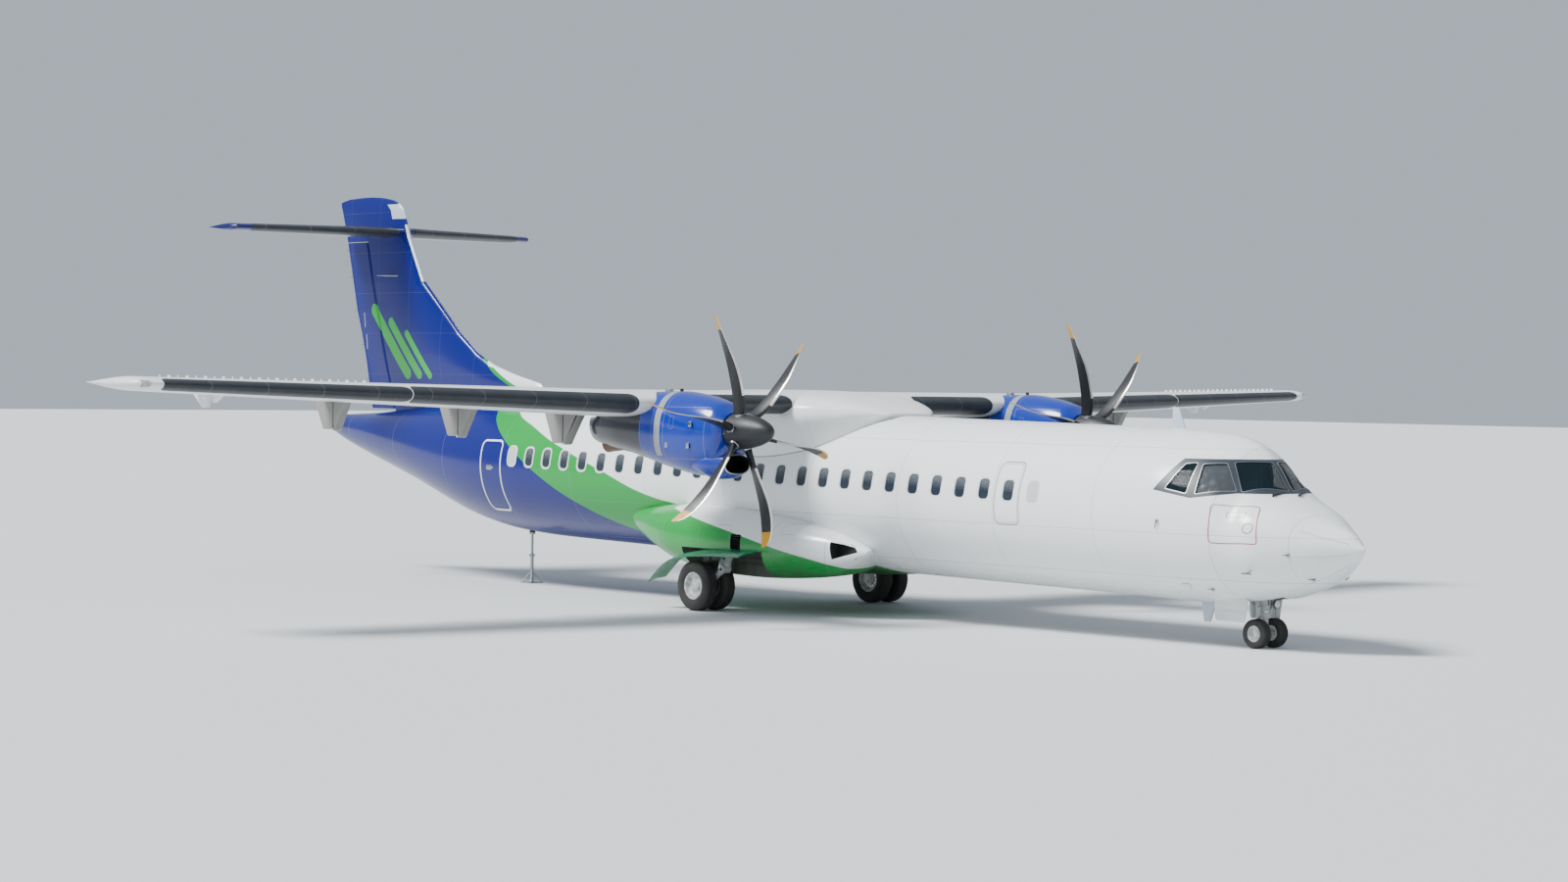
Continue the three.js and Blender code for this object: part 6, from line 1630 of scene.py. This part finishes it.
tail_blue = plain_enamel("deep_blue_tailplane_enamel", "03115C", 0.0, 0.2, 0.9, across=True)
box = loft([side * x for side, x in [(-1, v) for v in reversed(spaced(0.3, ELEVATOR_END, 0.4))]
            + [(1, v) for v in spaced(0.0, ELEVATOR_END, 0.35)]], tail_point, 64, ends=True)
tips = [loft([side * x for x in [ELEVATOR_END + SPLIT, 3.55, 3.59, 3.61, 3.63, 3.65]],
             lambda x, t: tail_point(x, t, True), 64, ends=True) for side in (-1, 1)]
new_piece("tailplane_skin", joined(box, *tips), tail_blue, stands_for=["tailplane"])
for side, side_name in SIDES:
    body = f"elevator_{side_name}"
    new_piece(f"elevator_skin_{side_name}", loft(
        [side * x for x in spaced(ELEVATOR_X, ELEVATOR_END - PLAY, 0.4)], elevator_point, 56, ends=True),
              tail_blue, body, [body])
    new_piece(f"tailplane_boot_{side_name}", loft(
        [(side * x, reach) for x, reach in [(0.2, 0.12), (0.22, 0.2), (0.26, 0.26), (0.3, 0.28),
                                            *[(v, 0.28) for v in spaced(0.35, 3.14, 0.4)],
                                            (3.2, 0.24), (3.23, 0.18), (3.25, 0.1)]], tail_boot, 40),
                                            boot_rubber)
    bm = bmesh.new()
    for x in (1.2, 2.2, 3.2):
        trail = linear(TAILPLANE, 3, x) - HALF_LENGTH
        add_rod(bm, (side * x, trail - 0.03, TAIL_Z), (side * x, trail + 0.12, TAIL_Z - 0.005), 0.005, 0.003,
                8)
    new_piece(f"elevator_static_wicks_{side_name}", bm, matt_black, body)

# Main gear pods: glass-fibre blisters that meet under the belly. White over the front, green behind the
# sweep's edge, with the wheel well open below, a ram-air inlet in the nose and a louvre in the flank.
POD_X = 1.24
POD = (  # station, half width outboard, half width inboard, top, bottom
    (9.45, 0.04, 0.06, 1.15, 1.08), (9.79, 0.23, 0.6, 1.3, 0.85), (10.18, 0.4, 1.0, 1.44, 0.7),
    (11.07, 0.66, 1.24, 1.61, 0.61), (11.9, 0.76, 1.24, 1.7, 0.58), (12.96, 0.765, 1.24, 1.77, 0.61),
    (13.85, 0.74, 1.24, 1.78, 0.74), (14.48, 0.6, 0.9, 1.75, 0.935), (14.87, 0.46, 0.6, 1.7, 1.075),
    (15.25, 0.3, 0.35, 1.64, 1.22), (15.48, 0.17, 0.17, 1.57, 1.4))
WELL = ((1.5, 11.35, 0.2), (2.5, 13.42, 1.06))
LEG_Y, LEG_WELL_R, LEG_WELL_TOP = 12.18 - HALF_LENGTH, 0.1, 1.42


def pod_point(s, turn, side, grow=0.0):
    """Point of a pod at a station, at a share of the way round from its top."""
    outer, inner, top, bottom = (smooth(POD, c, s) for c in range(1, 5))
    across, up = math.sin(turn * math.tau), math.cos(turn * math.tau)
    reach = (outer if across > 0 else min(inner, POD_X - SPLIT)) + grow
    middle = (top + bottom) / 2
    return spot(side * (POD_X + reach * power(across, 2.4)), s,
                middle + (top - middle + grow) * power(up, 2.4))


def leg_x(z):
    """Distance across of the leg's middle at a height."""
    return 1.73 + (LEG_WELL_TOP - z) * 0.3 / 0.69


pod_paint, tree, shader = new_material("white_green_pod_enamel", IOR=1.5, Coat_Weight=0.25,
                                       Coat_Roughness=0.08)
place, x, y, z = paint_base(tree)
under = add(tree, "ShaderNodeMath", {0: height_curve(tree, y, WHITE_EDGE), 1: z},
            operation="GREATER_THAN").outputs[0]
behind = add(tree, "ShaderNodeMath", {0: y, 1: 14.0 - HALF_LENGTH}, operation="GREATER_THAN").outputs[0]
colour = add(tree, "ShaderNodeMix", {"Factor": either(tree, under, behind), 6: WHITE, 7: GREEN},
             data_type="RGBA").outputs[2]
rings = [add(tree, "ShaderNodeMath", {0: y, 1: s - HALF_LENGTH, 2: 0.005}, operation="COMPARE").outputs[0]
         for s in (10.12, 11.2, 13.95)]
panels = either(tree, rounded_frame(tree, y, z, (10.86 - HALF_LENGTH, 1.462), (0.15, 0.085), 0.02, 0.008),
                rounded_frame(tree, y, z, (12.55 - HALF_LENGTH, 1.3), (0.4, 0.18), 0.03, 0.008))
seams = add(tree, "ShaderNodeMath", {0: either(tree, *rings, panels), 1: 0.6},
            operation="MULTIPLY").outputs[0]
finish_enamel(tree, shader, colour, place, seams, 1.25, 0.55)
well_primer = uneven_material("grey_green_well_primer", 4.0, colours=("3A4038", "767C70"), detail=6.0,
                              Roughness=0.7)


def block_cutter(low, high, side):
    """Block between two corners, of a distance across, a station and a height."""
    bm = bmesh.new()
    corners = sorted((side * low[0], side * high[0]))
    add_block(bm, spot(corners[0], low[1], low[2]), spot(corners[1], high[1], high[2]))
    return bm


pod_stations = spaced(9.45, 10.2, 0.05) + spaced(10.3, 14.0, 0.2) + spaced(14.1, 15.48, 0.07)
for side, side_name in SIDES:
    shell = loft(pod_stations, lambda s, t: pod_point(s, t, side), 96)
    pod = new_piece(f"gear_pod_shell_{side_name}", shell, pod_paint, stands_for=[f"gear_pod_{side_name}"])
    carve(pod, block_cutter(*WELL, side))
    carve(pod, loft([0.9, LEG_WELL_TOP], lambda z, t: Vector((
        side * (leg_x(z) + 0.109 * math.sin(t * math.tau)), LEG_Y + LEG_WELL_R * math.cos(t * math.tau), z)),
        40))
    wedge = [(9.57, 1.125), (10.0, 0.99), (10.06, 1.281), (9.83, 1.245), (9.59, 1.185)]
    carve(pod, plate(wedge, side * 1.36, side * 2.0, 0.01))
    carve(pod, plate(rectangle(11.85, 12.1, 1.07, 1.335), side * 1.9, side * 2.2, 0.02))
    low, high = WELL
    roof = high[2]
    pod.data.materials.append(well_primer)
    # Faces of the inlet and louvre recesses get the near-black painted shade.
    pod.data.materials.append(hollow_shade_black)
    for face in pod.data.polygons:
        c, s, x = face.center, face.center.y + HALF_LENGTH, side * face.center.x
        ends = min(abs(s - low[1]), abs(s - high[1]))
        in_well = low[1] - 0.001 < s < high[1] + 0.001 and low[0] - 0.001 < x < high[0] and (
            abs(c.z - roof) < 0.001 or abs(x - low[0]) < 0.001 or c.z < roof and ends < 0.001)
        by_leg = (roof < c.z < LEG_WELL_TOP + 0.001 and abs(x - leg_x(c.z)) < 0.111
                  and abs(c.y - LEG_Y) < 0.101)
        across = abs(face.normal.x) < 0.05
        in_inlet = 9.56 < s < 10.07 and 0.98 < c.z < 1.29 and x > 1.358 and (across or x < 1.362)
        in_louvre = 11.84 < s < 12.11 and 1.06 < c.z < 1.345 and (across or abs(x - 1.9) < 0.002)
        face.material_index = 1 if in_well or by_leg else 2 if in_inlet or in_louvre else 0
    vanes, hoops = bmesh.new(), bmesh.new()
    for k in range(6):
        z = 1.095 + 0.043 * k
        add_block(vanes, spot(min(side * 1.92, side * 1.985), 11.853, z - 0.004),
                  spot(max(side * 1.92, side * 1.985), 12.097, z + 0.004), 0.001,
                  Matrix.Rotation(math.radians(30 * side), 4, "Y"))
    new_piece(f"pod_louvres_{side_name}", vanes, matt_black)
    for a, b in ((11.5, 11.52), (12.55, 12.57), (13.2, 13.22)):
        add_block(hoops, spot(min(side * 1.501, side * 1.53), a, 0.64),
                  spot(max(side * 1.501, side * 1.53), b, 1.058), 0.003)
        add_block(hoops, spot(min(side * 1.501, side * 1.97), a, 1.03),
                  spot(max(side * 1.501, side * 1.97), b, 1.058), 0.003)
    for z in (0.8, 0.9):
        add_rod(hoops, spot(side * 1.52, 11.36, z), spot(side * 1.52, 13.41, z), 0.008, segments=8)
    new_piece(f"well_frames_and_pipes_{side_name}", hoops, well_primer)

# Tyres and wheels: bias-ply tyres with grooved treads on forged alloy half-hubs, with a stack of brake
# discs between the main pair, a bolt circle and a dust cap. The tyres bulge where they meet the rims.
tyre_rubber, tree, shader = new_material("black_tyre_rubber", Roughness=0.78)
place = paint_base(tree)[0]
dust = add(tree, "ShaderNodeTexNoise", {"Vector": place, "Scale": 9.0, "Detail": 6.0})
vary_colour(shader, dust.outputs["Fac"], "1B1B1C", "3B3A37")
grit = add(tree, "ShaderNodeTexNoise", {"Vector": place, "Scale": 240.0})
vary_grain(shader, grit.outputs["Fac"], 0.3, 0.001)
hub_paint, tree, shader = new_material("white_wheel_enamel", IOR=1.5)
place = paint_base(tree)[0]
brake_dust = add(tree, "ShaderNodeTexNoise", {"Vector": place, "Scale": 11.0, "Detail": 6.0})
grimy = add(tree, "ShaderNodeMapRange", {"Value": brake_dust.outputs["Fac"], "From Min": 0.4,
                                         "From Max": 0.75})
vary_colour(shader, grimy.outputs[0], "D5D7D6", "77756F")
vary_gloss(shader, brake_dust.outputs["Fac"], 0.3, 0.6)
carbon = uneven_material("brake_carbon", 40.0, colours=("232326", "4D4C4A"), Roughness=0.6)


def lathe(bm, outline, centre, axis="X", steps=72):
    """Adds a turned shape: an outline of place along the axis and radius, spun round that axis."""
    along = {"X": Vector((1, 0, 0)), "Y": Vector((0, 1, 0)), "Z": Vector((0, 0, 1))}[axis]
    out = Vector((0, 0, 1)) if axis != "Z" else Vector((1, 0, 0))
    verts = [bm.verts.new(Vector(centre) + along * a + out * r) for a, r in outline]
    edges = [bm.edges.new(pair) for pair in zip(verts, verts[1:] + verts[:1])]
    bmesh.ops.spin(bm, geom=verts + edges, cent=centre, axis=along, angle=math.tau, steps=steps,
                   use_merge=True)
    bmesh.ops.remove_doubles(bm, verts=bm.verts, dist=1e-5)
    bmesh.ops.recalc_face_normals(bm, faces=bm.faces)


def tyre_outline(radius, width, grooves=4):
    """Half of a tyre's section, mirrored: bead, bulging wall, shoulder and grooved tread."""
    rim, w = radius * 0.52 + 0.0004, width / 2
    rise = radius - rim
    wall = [(0.74 * w, rim), (0.8 * w, rim + 0.05 * rise), (0.93 * w, rim + 0.2 * rise),
            (0.995 * w, rim + 0.42 * rise),
            (0.985 * w, rim + 0.6 * rise), (0.93 * w, rim + 0.76 * rise), (0.83 * w, rim + 0.89 * rise),
            (0.7 * w, rim + 0.962 * rise), (0.62 * w, rim + 0.98 * rise)]
    tread = []
    for k in range(grooves):
        a = (0.5 - k / (grooves - 1)) * 0.92 * w
        r = radius - 0.02 * rise * (2 * a / w) ** 2
        tread += [(a + 0.035 * w, r), (a + 0.025 * w, r - 0.009), (a - 0.025 * w, r - 0.009),
                  (a - 0.035 * w, r)]
    return wall + tread + [(-a, r) for a, r in reversed(wall)]


def wheel(rims, bolts, centre, radius, width, outward):
    """Adds one wheel's rim, dished hub and bolts; outward says which way its outer face looks."""
    rim, w = radius * 0.52, width / 2
    profile = [(-0.78 * w, rim), (-0.78 * w, rim - 0.02), (-0.3 * w, rim * 0.88), (-0.2 * w, rim * 0.4),
               (-0.2 * w, rim * 0.3), (0.45 * w, rim * 0.26), (0.45 * w, rim * 0.42), (0.28 * w, rim * 0.5),
               (0.22 * w, rim * 0.72), (0.35 * w, rim * 0.84), (0.72 * w, rim * 0.93), (0.8 * w, rim * 1.05),
               (0.74 * w, rim)]
    lathe(rims, [(outward * a, r) for a, r in profile], centre)
    lathe(rims, [(outward * a, r) for a, r in ((0.3 * w, 0.0), (0.3 * w, rim * 0.3), (0.5 * w, rim * 0.29),
                                               (0.56 * w, rim * 0.2), (0.58 * w, 0.0))], centre, steps=36)
    for i in range(12):
        a = math.tau * i / 12
        foot = Vector(centre) + Vector((outward * 0.2 * w, rim * 0.61 * math.cos(a),
                                        rim * 0.61 * math.sin(a)))
        add_rod(bolts, foot, foot + Vector((outward * 0.09 * w, 0, 0)), rim * 0.045, segments=6)


TYRES = (("main_wheel_starboard", "main_wheels_starboard", -2.05, 12.66, 0.43, 0.25, 0.4),
         ("main_wheel_port", "main_wheels_port", 2.05, 12.66, 0.43, 0.25, 0.4),
         ("nose_wheel", "nose_wheels", 0.0, 1.89, 0.225, 0.19, 0.4))
for name, body, x, s, radius, width, twin in TYRES:
    rims, bolts = bmesh.new(), bmesh.new()
    for outward, part in ((1, "left"), (-1, "right")):
        centre = spot(x + outward * twin / 2, s, radius)
        bm = bmesh.new()
        lathe(bm, tyre_outline(radius, width), centre, steps=96)
        new_piece(f"{name}_tyre_tread_{part}", bm, tyre_rubber, body, [f"{name}_tyre_{part}"],
                  50)
        wheel(rims, bolts, centre, radius, width, outward)
    axle = 0.045 if name.startswith("main") else 0.028
    add_rod(rims, spot(x - twin / 2, s, radius), spot(x + twin / 2, s, radius), axle, segments=32)
    new_piece(f"{name}_hubs", rims, hub_paint, body, [f"{name}_rims"])
    new_piece(f"{name}_tie_bolts", bolts, chrome, body)
    if name.startswith("main"):
        discs = bmesh.new()
        for outward in (-1, 1):
            for k in range(4):
                a = x + outward * (0.088 + 0.014 * k)
                lathe(discs, [(a - x - 0.005, 0.055), (a - x + 0.005, 0.055),
                              (a - x + 0.005, 0.17 if k % 2 else 0.18),
                              (a - x - 0.005, 0.17 if k % 2 else 0.18)], (x, s - HALF_LENGTH, radius),
                              steps=48)
        new_piece(f"{name}_brake_discs", discs, carbon, body)

# Main gear legs: a forged drop strut out of the pod, a trailing lever with the axle's bearing, and a
# shock strut with a chromed rod between them. Painted white, with hoses clipped along.
gear_enamel = plain_enamel("white_gear_enamel", "C9CCCC", 3.0, 0.55, 5.0)
hose_rubber = uneven_material("black_hydraulic_hose", 180.0, grain=(0.4, 0.001), Base_Color=srgb("1E1F21"),
                              Roughness=0.6)


def hose(bm, points, radius=0.008):
    """Adds a pipe through points, as short round lengths."""
    marks = [spot(x, s, z) for x, s, z in points]
    for a, b in zip(marks, marks[1:]):
        add_rod(bm, a, b, radius, segments=10)
        bmesh.ops.create_icosphere(bm, subdivisions=1, radius=radius * 1.05, matrix=Matrix.Translation(b))


for side, side_name in SIDES:
    def at_leg(x, s, z):
        return spot(side * x, s, z)

    leg, rods, pipes = bmesh.new(), bmesh.new(), bmesh.new()
    top, knee = at_leg(1.73, 12.18, 1.4197), at_leg(2.03, 12.18, 0.73)
    add_rod(leg, top, knee, 0.072, 0.06, 32)
    for share in (0.12, 0.5, 0.86):
        a = top.lerp(knee, share)
        b = top.lerp(knee, share + 0.05)
        add_rod(leg, a, b, 0.08 - 0.008 * share, segments=32)
    add_rod(leg, at_leg(1.955, 12.18, 0.73), at_leg(2.125, 12.18, 0.73), 0.068, segments=32)
    add_rod(leg, at_leg(2.05, 12.18, 0.74), at_leg(2.05, 12.62, 0.45), 0.055, 0.05, 28)
    add_rod(leg, at_leg(1.995, 12.66, 0.43), at_leg(2.105, 12.66, 0.43), 0.074, segments=36)
    add_rod(leg, at_leg(1.985, 12.48, 0.57), at_leg(2.115, 12.48, 0.57), 0.04, segments=24)
    add_rod(leg, at_leg(1.92, 12.23, 1.035), at_leg(1.985, 12.355, 0.8), 0.05, segments=28)
    add_rod(leg, at_leg(1.92, 12.23, 1.035), at_leg(1.86, 12.2, 1.08), 0.035, segments=20)
    add_rod(rods, at_leg(1.985, 12.355, 0.81), at_leg(2.05, 12.48, 0.56), 0.028, segments=28)
    for end in (1.95, 2.13):
        add_rod(rods, at_leg(end - 0.006, 12.18, 0.73), at_leg(end + 0.006, 12.18, 0.73), 0.03, segments=6)
    hose(pipes, ((1.8, 12.1, 1.25), (1.9, 12.09, 1.05), (1.98, 12.09, 0.85), (2.0, 12.15, 0.79),
                 (2.0, 12.3, 0.7),
                 (2.0, 12.5, 0.57), (1.99, 12.6, 0.5)))
    hose(pipes, ((1.84, 12.26, 1.2), (1.95, 12.27, 1.0), (2.08, 12.25, 0.82), (2.11, 12.33, 0.7),
                 (2.1, 12.52, 0.56)),
         0.006)
    new_piece(f"main_leg_forgings_{side_name}", leg, gear_enamel, stands_for=[f"main_gear_leg_{side_name}"])
    new_piece(f"shock_strut_rod_{side_name}", rods, chrome)
    new_piece(f"main_leg_hoses_{side_name}", pipes, hose_rubber)

# Main gear doors: a sandwich panel that an arm holds on each leg, bent down behind the wheels like a
# mudguard and stiffened below by pressed ribs.
DOOR_CURVE = ((11.38, 1.08), (11.9, 1.075), (12.6, 1.045), (13.05, 0.985), (13.3, 0.9), (13.56, 0.72),
              (13.76, 0.545))
DOOR_ACROSS = ((2.03, 0.0), (2.24, 0.022), (2.46, 0.09))
DOOR_THICK = 0.026
# The starboard door's green is darkened to a sea green: painted shade from under the pod.
shade_darkened_green_door = plain_enamel("green_door_enamel_with_painted_shade", "12805A", 1.2, 0.35, 5.0)
white_door = plain_enamel("white_door_enamel", "E4E7E7", 1.2, 0.4, 5.0)


def door_point(s, share, side):
    """Point of a gear door's section: across its top, then back along its underside."""
    w = share * 2 if share < 0.5 else 2 - share * 2
    x = DOOR_ACROSS[0][0] + (DOOR_ACROSS[-1][0] - DOOR_ACROSS[0][0]) * w
    drop = smooth(DOOR_ACROSS, 1, x) + (DOOR_THICK if share >= 0.5 else 0)
    edge = 0.009 * (max(0, 1 - w / 0.03) + max(0, (w - 0.97) / 0.03))
    return spot(side * x, s, smooth(DOOR_CURVE, 1, s) - drop + (edge if share >= 0.5 else -edge))


for side, side_name, paint in ((-1, "starboard", shade_darkened_green_door), (1, "port", white_door)):
    panel = loft(spaced(11.38, 13.76, 0.045), lambda s, t: door_point(s, t, side), 56)
    arm = bmesh.new()
    add_rod(arm, spot(side * 2.08, 12.15, 0.905), spot(side * 2.23, 12.15, 1.03), 0.024, segments=20)
    ribs = bmesh.new()
    for s in (11.6, 12.0, 12.45, 12.9, 13.2):
        places = spaced(2.07, 2.42, 0.07)
        for x0, x1 in zip(places, places[1:]):
            under = smooth(DOOR_CURVE, 1, s) - DOOR_THICK - 0.006
            ends = [spot(side * x, s, under - smooth(DOOR_ACROSS, 1, x)) for x in (x0, x1)]
            add_rod(ribs, *ends, 0.011, segments=8)
    new_piece(f"main_door_panel_{side_name}", joined(panel, arm), paint,
              stands_for=[f"main_gear_door_{side_name}"])
    new_piece(f"main_door_ribs_{side_name}", ribs, gear_enamel)

# Nose gear: an oleo leg in its bay, braced aft, with the steering strut and its scissor links below
# it, a taxi lamp, and two side doors on hinges under the bay's edge.
leg, lamp_glass = bmesh.new(), bmesh.new()
add_rod(leg, spot(0, 1.89, 0.56), spot(0, 1.89, 1.1794), 0.075, segments=40)
for z in (0.575, 0.78, 1.0):
    add_rod(leg, spot(0, 1.89, z - 0.014), spot(0, 1.89, z + 0.014), 0.083, segments=40)
add_rod(leg, spot(0, 1.91, 0.7), spot(0, 2.37, 1.12), 0.034, segments=20)
add_rod(leg, spot(-0.09, 1.93, 0.72), spot(0.09, 1.93, 0.72), 0.03, segments=20)
for side in (-1, 1):
    add_rod(leg, spot(side * 0.055, 1.95, 0.64), spot(side * 0.055, 2.0, 0.62), 0.012, segments=12)
    add_rod(leg, spot(side * 0.1, 1.86, 0.86), spot(side * 0.24, 1.87, 1.1), 0.016, segments=14)
new_piece("nose_leg_forgings", leg, gear_enamel, stands_for=["nose_gear_leg"])
pipes = bmesh.new()
hose(pipes, ((0.03, 1.8, 1.1), (0.04, 1.79, 0.9), (0.03, 1.8, 0.7), (0.02, 1.806, 0.6)), 0.007)
hose(pipes, ((-0.04, 1.81, 1.1), (-0.05, 1.8, 0.88), (-0.04, 1.8, 0.66)), 0.006)
new_piece("nose_leg_hoses", pipes, hose_rubber)
strut, shine = bmesh.new(), bmesh.new()
add_rod(shine, spot(0, 1.89, 0.46), spot(0, 1.89, 0.889), 0.0495, segments=40)
add_rod(strut, spot(0, 1.89, 0.228), spot(0, 1.89, 0.35), 0.05, segments=36)
add_rod(strut, spot(0, 1.89, 0.35), spot(0, 1.89, 0.46), 0.045, segments=36)
add_rod(strut, spot(0, 1.89, 0.462), spot(0, 1.89, 0.546), 0.078, segments=40)
add_rod(strut, spot(-0.06, 1.89, 0.225), spot(0.06, 1.89, 0.225), 0.05, segments=32)
for side in (-1, 1):
    add_rod(strut, spot(side * 0.026, 1.955, 0.5), spot(side * 0.014, 2.085, 0.4), 0.012, segments=12)
    add_rod(strut, spot(side * 0.014, 2.085, 0.4), spot(side * 0.026, 1.93, 0.29), 0.012, segments=12)
add_rod(strut, spot(-0.03, 2.085, 0.4), spot(0.03, 2.085, 0.4), 0.015, segments=16)
new_piece("steering_strut_forging", strut, gear_enamel, "nose_steering", ["nose_steering_strut"])
new_piece("nose_oleo_rod", shine, chrome, "nose_steering")
shell = bmesh.new()
lathe(shell, [(0.0, 0.0), (0.0, 0.03), (-0.02, 0.062), (-0.075, 0.068), (-0.078, 0.062), (-0.03, 0.056),
              (-0.012, 0.0)],
      spot(0.13, 1.84, 0.67), "Y", 40)
add_rod(shell, spot(0.07, 1.87, 0.67), spot(0.13, 1.845, 0.67), 0.012, segments=12)
new_piece("taxi_lamp_bowl", shell, bare_alloy)
lathe(lamp_glass, [(-0.07, 0.0), (-0.07, 0.058), (-0.076, 0.058), (-0.082, 0.03), (-0.084, 0.0)],
      spot(0.13, 1.84, 0.67), "Y", 40)
lens_glass = uneven_material("pressed_lamp_lens_glass", 30.0, gloss=(0.04, 0.12), grain=(0.5, 0.002),
                             kind="Wave", bands="X", Base_Color=srgb("DDE3E6"), IOR=1.52)
new_piece("taxi_lamp_lens", lamp_glass, lens_glass)
for side, side_name in SIDES:
    panel = plate([(1.9, 0.76), (2.56, 0.735), (2.54, 0.4), (1.96, 0.39)], side * 0.395, side * 0.413,
                      0.05, 6)
    door = new_piece(f"nose_door_panel_{side_name}", panel, white_door,
                     stands_for=[f"nose_gear_door_{side_name}"])
    carve(door, hull_body(hull_stations(1.6, 2.9), 0.0005))
    fits = bmesh.new()
    for s in (2.05, 2.3, 2.47):
        add_rod(fits, spot(side * 0.385, s, 0.6), spot(side * 0.31, s + 0.01, 0.745), 0.012, segments=10)
        add_block(fits, spot(side * 0.389 - 0.006, s - 0.03, 0.42),
                  spot(side * 0.389 + 0.006, s + 0.03, 0.64),
                  0.003)
    new_piece(f"nose_door_links_{side_name}", fits, gear_enamel)
bay = new_piece("nose_bay_lining", plate(rectangle(1.334, 2.556, 0.5, 1.1794), -0.268, 0.268, 0.02),
                well_primer)
carve(bay, plate(rectangle(1.342, 2.548, 0.3, 1.17), -0.26, 0.26, 0.02))
carve(bay, hull_body(hull_stations(0.9, 3.2), -0.002), "INTERSECT")

# Tail stand: a steel prop set under the tail while the aircraft is parked. A tube on a foot plate with
# a screwed collar and a rubber-faced head.
stand_steel = uneven_material("galvanised_steel", 45.0, colours=("8E9496", "B9BEC0"), gloss=(0.35, 0.55),
                              kind="Voronoi", Metallic=1.0)
bm, pad = bmesh.new(), bmesh.new()
add_block(bm, spot(-0.16, 20.14, 0.0), spot(0.16, 20.46, 0.02), 0.006)
add_rod(bm, spot(0, 20.3, 0.018), spot(0, 20.3, 0.55), 0.032, segments=28)
add_rod(bm, spot(0, 20.3, 0.5), spot(0, 20.3, 0.96), 0.024, segments=24)
add_rod(bm, spot(0, 20.3, 0.5), spot(0, 20.3, 0.56), 0.044, segments=8)
add_rod(bm, spot(-0.09, 20.3, 0.53), spot(0.09, 20.3, 0.53), 0.007, segments=12)
for x, y in ((1, 1), (1, -1), (-1, 1), (-1, -1)):
    add_rod(bm, spot(0.13 * x, 20.3 + 0.13 * y, 0.019), spot(0.02 * x, 20.3 + 0.02 * y, 0.2), 0.009,
            segments=10)
add_rod(bm, spot(0, 20.3, 0.94), spot(0, 20.3, 0.975), 0.06, segments=32)
add_rod(pad, spot(0, 20.3, 0.975), spot(0, 20.3, 1.1), 0.058, segments=32)
new_piece("tail_stand_post", bm, stand_steel, stands_for=["tail_stand"])
head = new_piece("tail_stand_head", pad, tyre_rubber)
carve(head, hull_body(hull_stations(19.9, 20.7), 0.0003))

# Antennas, probes, lamps and drains: small castings and moulded blades on doublers that are riveted to
# the hull, sealed round their feet.
for name, outline in (("antenna_top", [(3.56, 3.27), (3.85, 3.27), (3.83, 3.64), (3.7, 3.64)]),
                      ("antenna_belly", [(2.86, 0.67), (3.18, 0.67), (3.12, 0.33), (2.99, 0.33)])):
    blade = plate(outline, -0.014, 0.014)
    round_edges(blade, blade.edges[:], 0.011, 3)
    piece = new_piece(f"{name}_blade", blade, lamp_cover, stands_for=[name])
    carve(piece, hull_body(hull_stations(2.5, 4.2), 0.0005))
probes, hot = bmesh.new(), bmesh.new()
for side in (-1, 1):
    root = on_hull(side, 1.42, 1.22)
    add_rod(probes, root, root + Vector((side * 0.13, -0.03, -0.03)), 0.016, 0.012)
    add_rod(hot, root + Vector((side * 0.13, 0.06, -0.03)), root + Vector((side * 0.13, -0.12, -0.03)),
            0.009)
    for s, z in ((0.83, 1.48), (0.65, 1.12), (2.28, 0.9)):
        root = on_hull(side, s, z)
        normal = (on_hull(side, s, z, 0.05) - root).normalized()
        add_rod(probes, root, root + normal * 0.012, 0.034, segments=20)
        add_rod(hot, root, root + normal * 0.085, 0.008, 0.006)
        add_rod(hot, root + normal * 0.08, root + normal * 0.085 + Vector((0, 0.05, 0.0)), 0.007, 0.004)
    root = on_hull(side, 2.89, 1.93)
    add_rod(probes, root - Vector((side * 0.01, 0, 0)), root + Vector((side * 0.03, 0, 0)), 0.02)
    add_rod(hot, root + Vector((side * 0.024, 0, 0)), root + Vector((side * 0.024, 0.03, -0.12)), 0.01,
            0.006)
new_piece("air_data_probe_mounts", probes, bare_alloy)
new_piece("air_data_probes", hot, matt_black)
flap = plate([(2.62, 1.0), (2.8, 0.99), (2.7, 0.82)], -0.006, 0.006)
turn = math.atan2(skin_x(2.7, 1.0) - skin_x(2.7, 0.82), 0.18)
bmesh.ops.rotate(flap, verts=flap.verts, cent=(0, 2.7 - HALF_LENGTH, 0.91),
                 matrix=Matrix.Rotation(-turn, 3, "Y"))
bmesh.ops.translate(flap, verts=flap.verts, vec=(-skin_x(2.7, 0.91) - 0.012, 0, 0))
new_piece("hanging_vent_flap", flap, white_door)
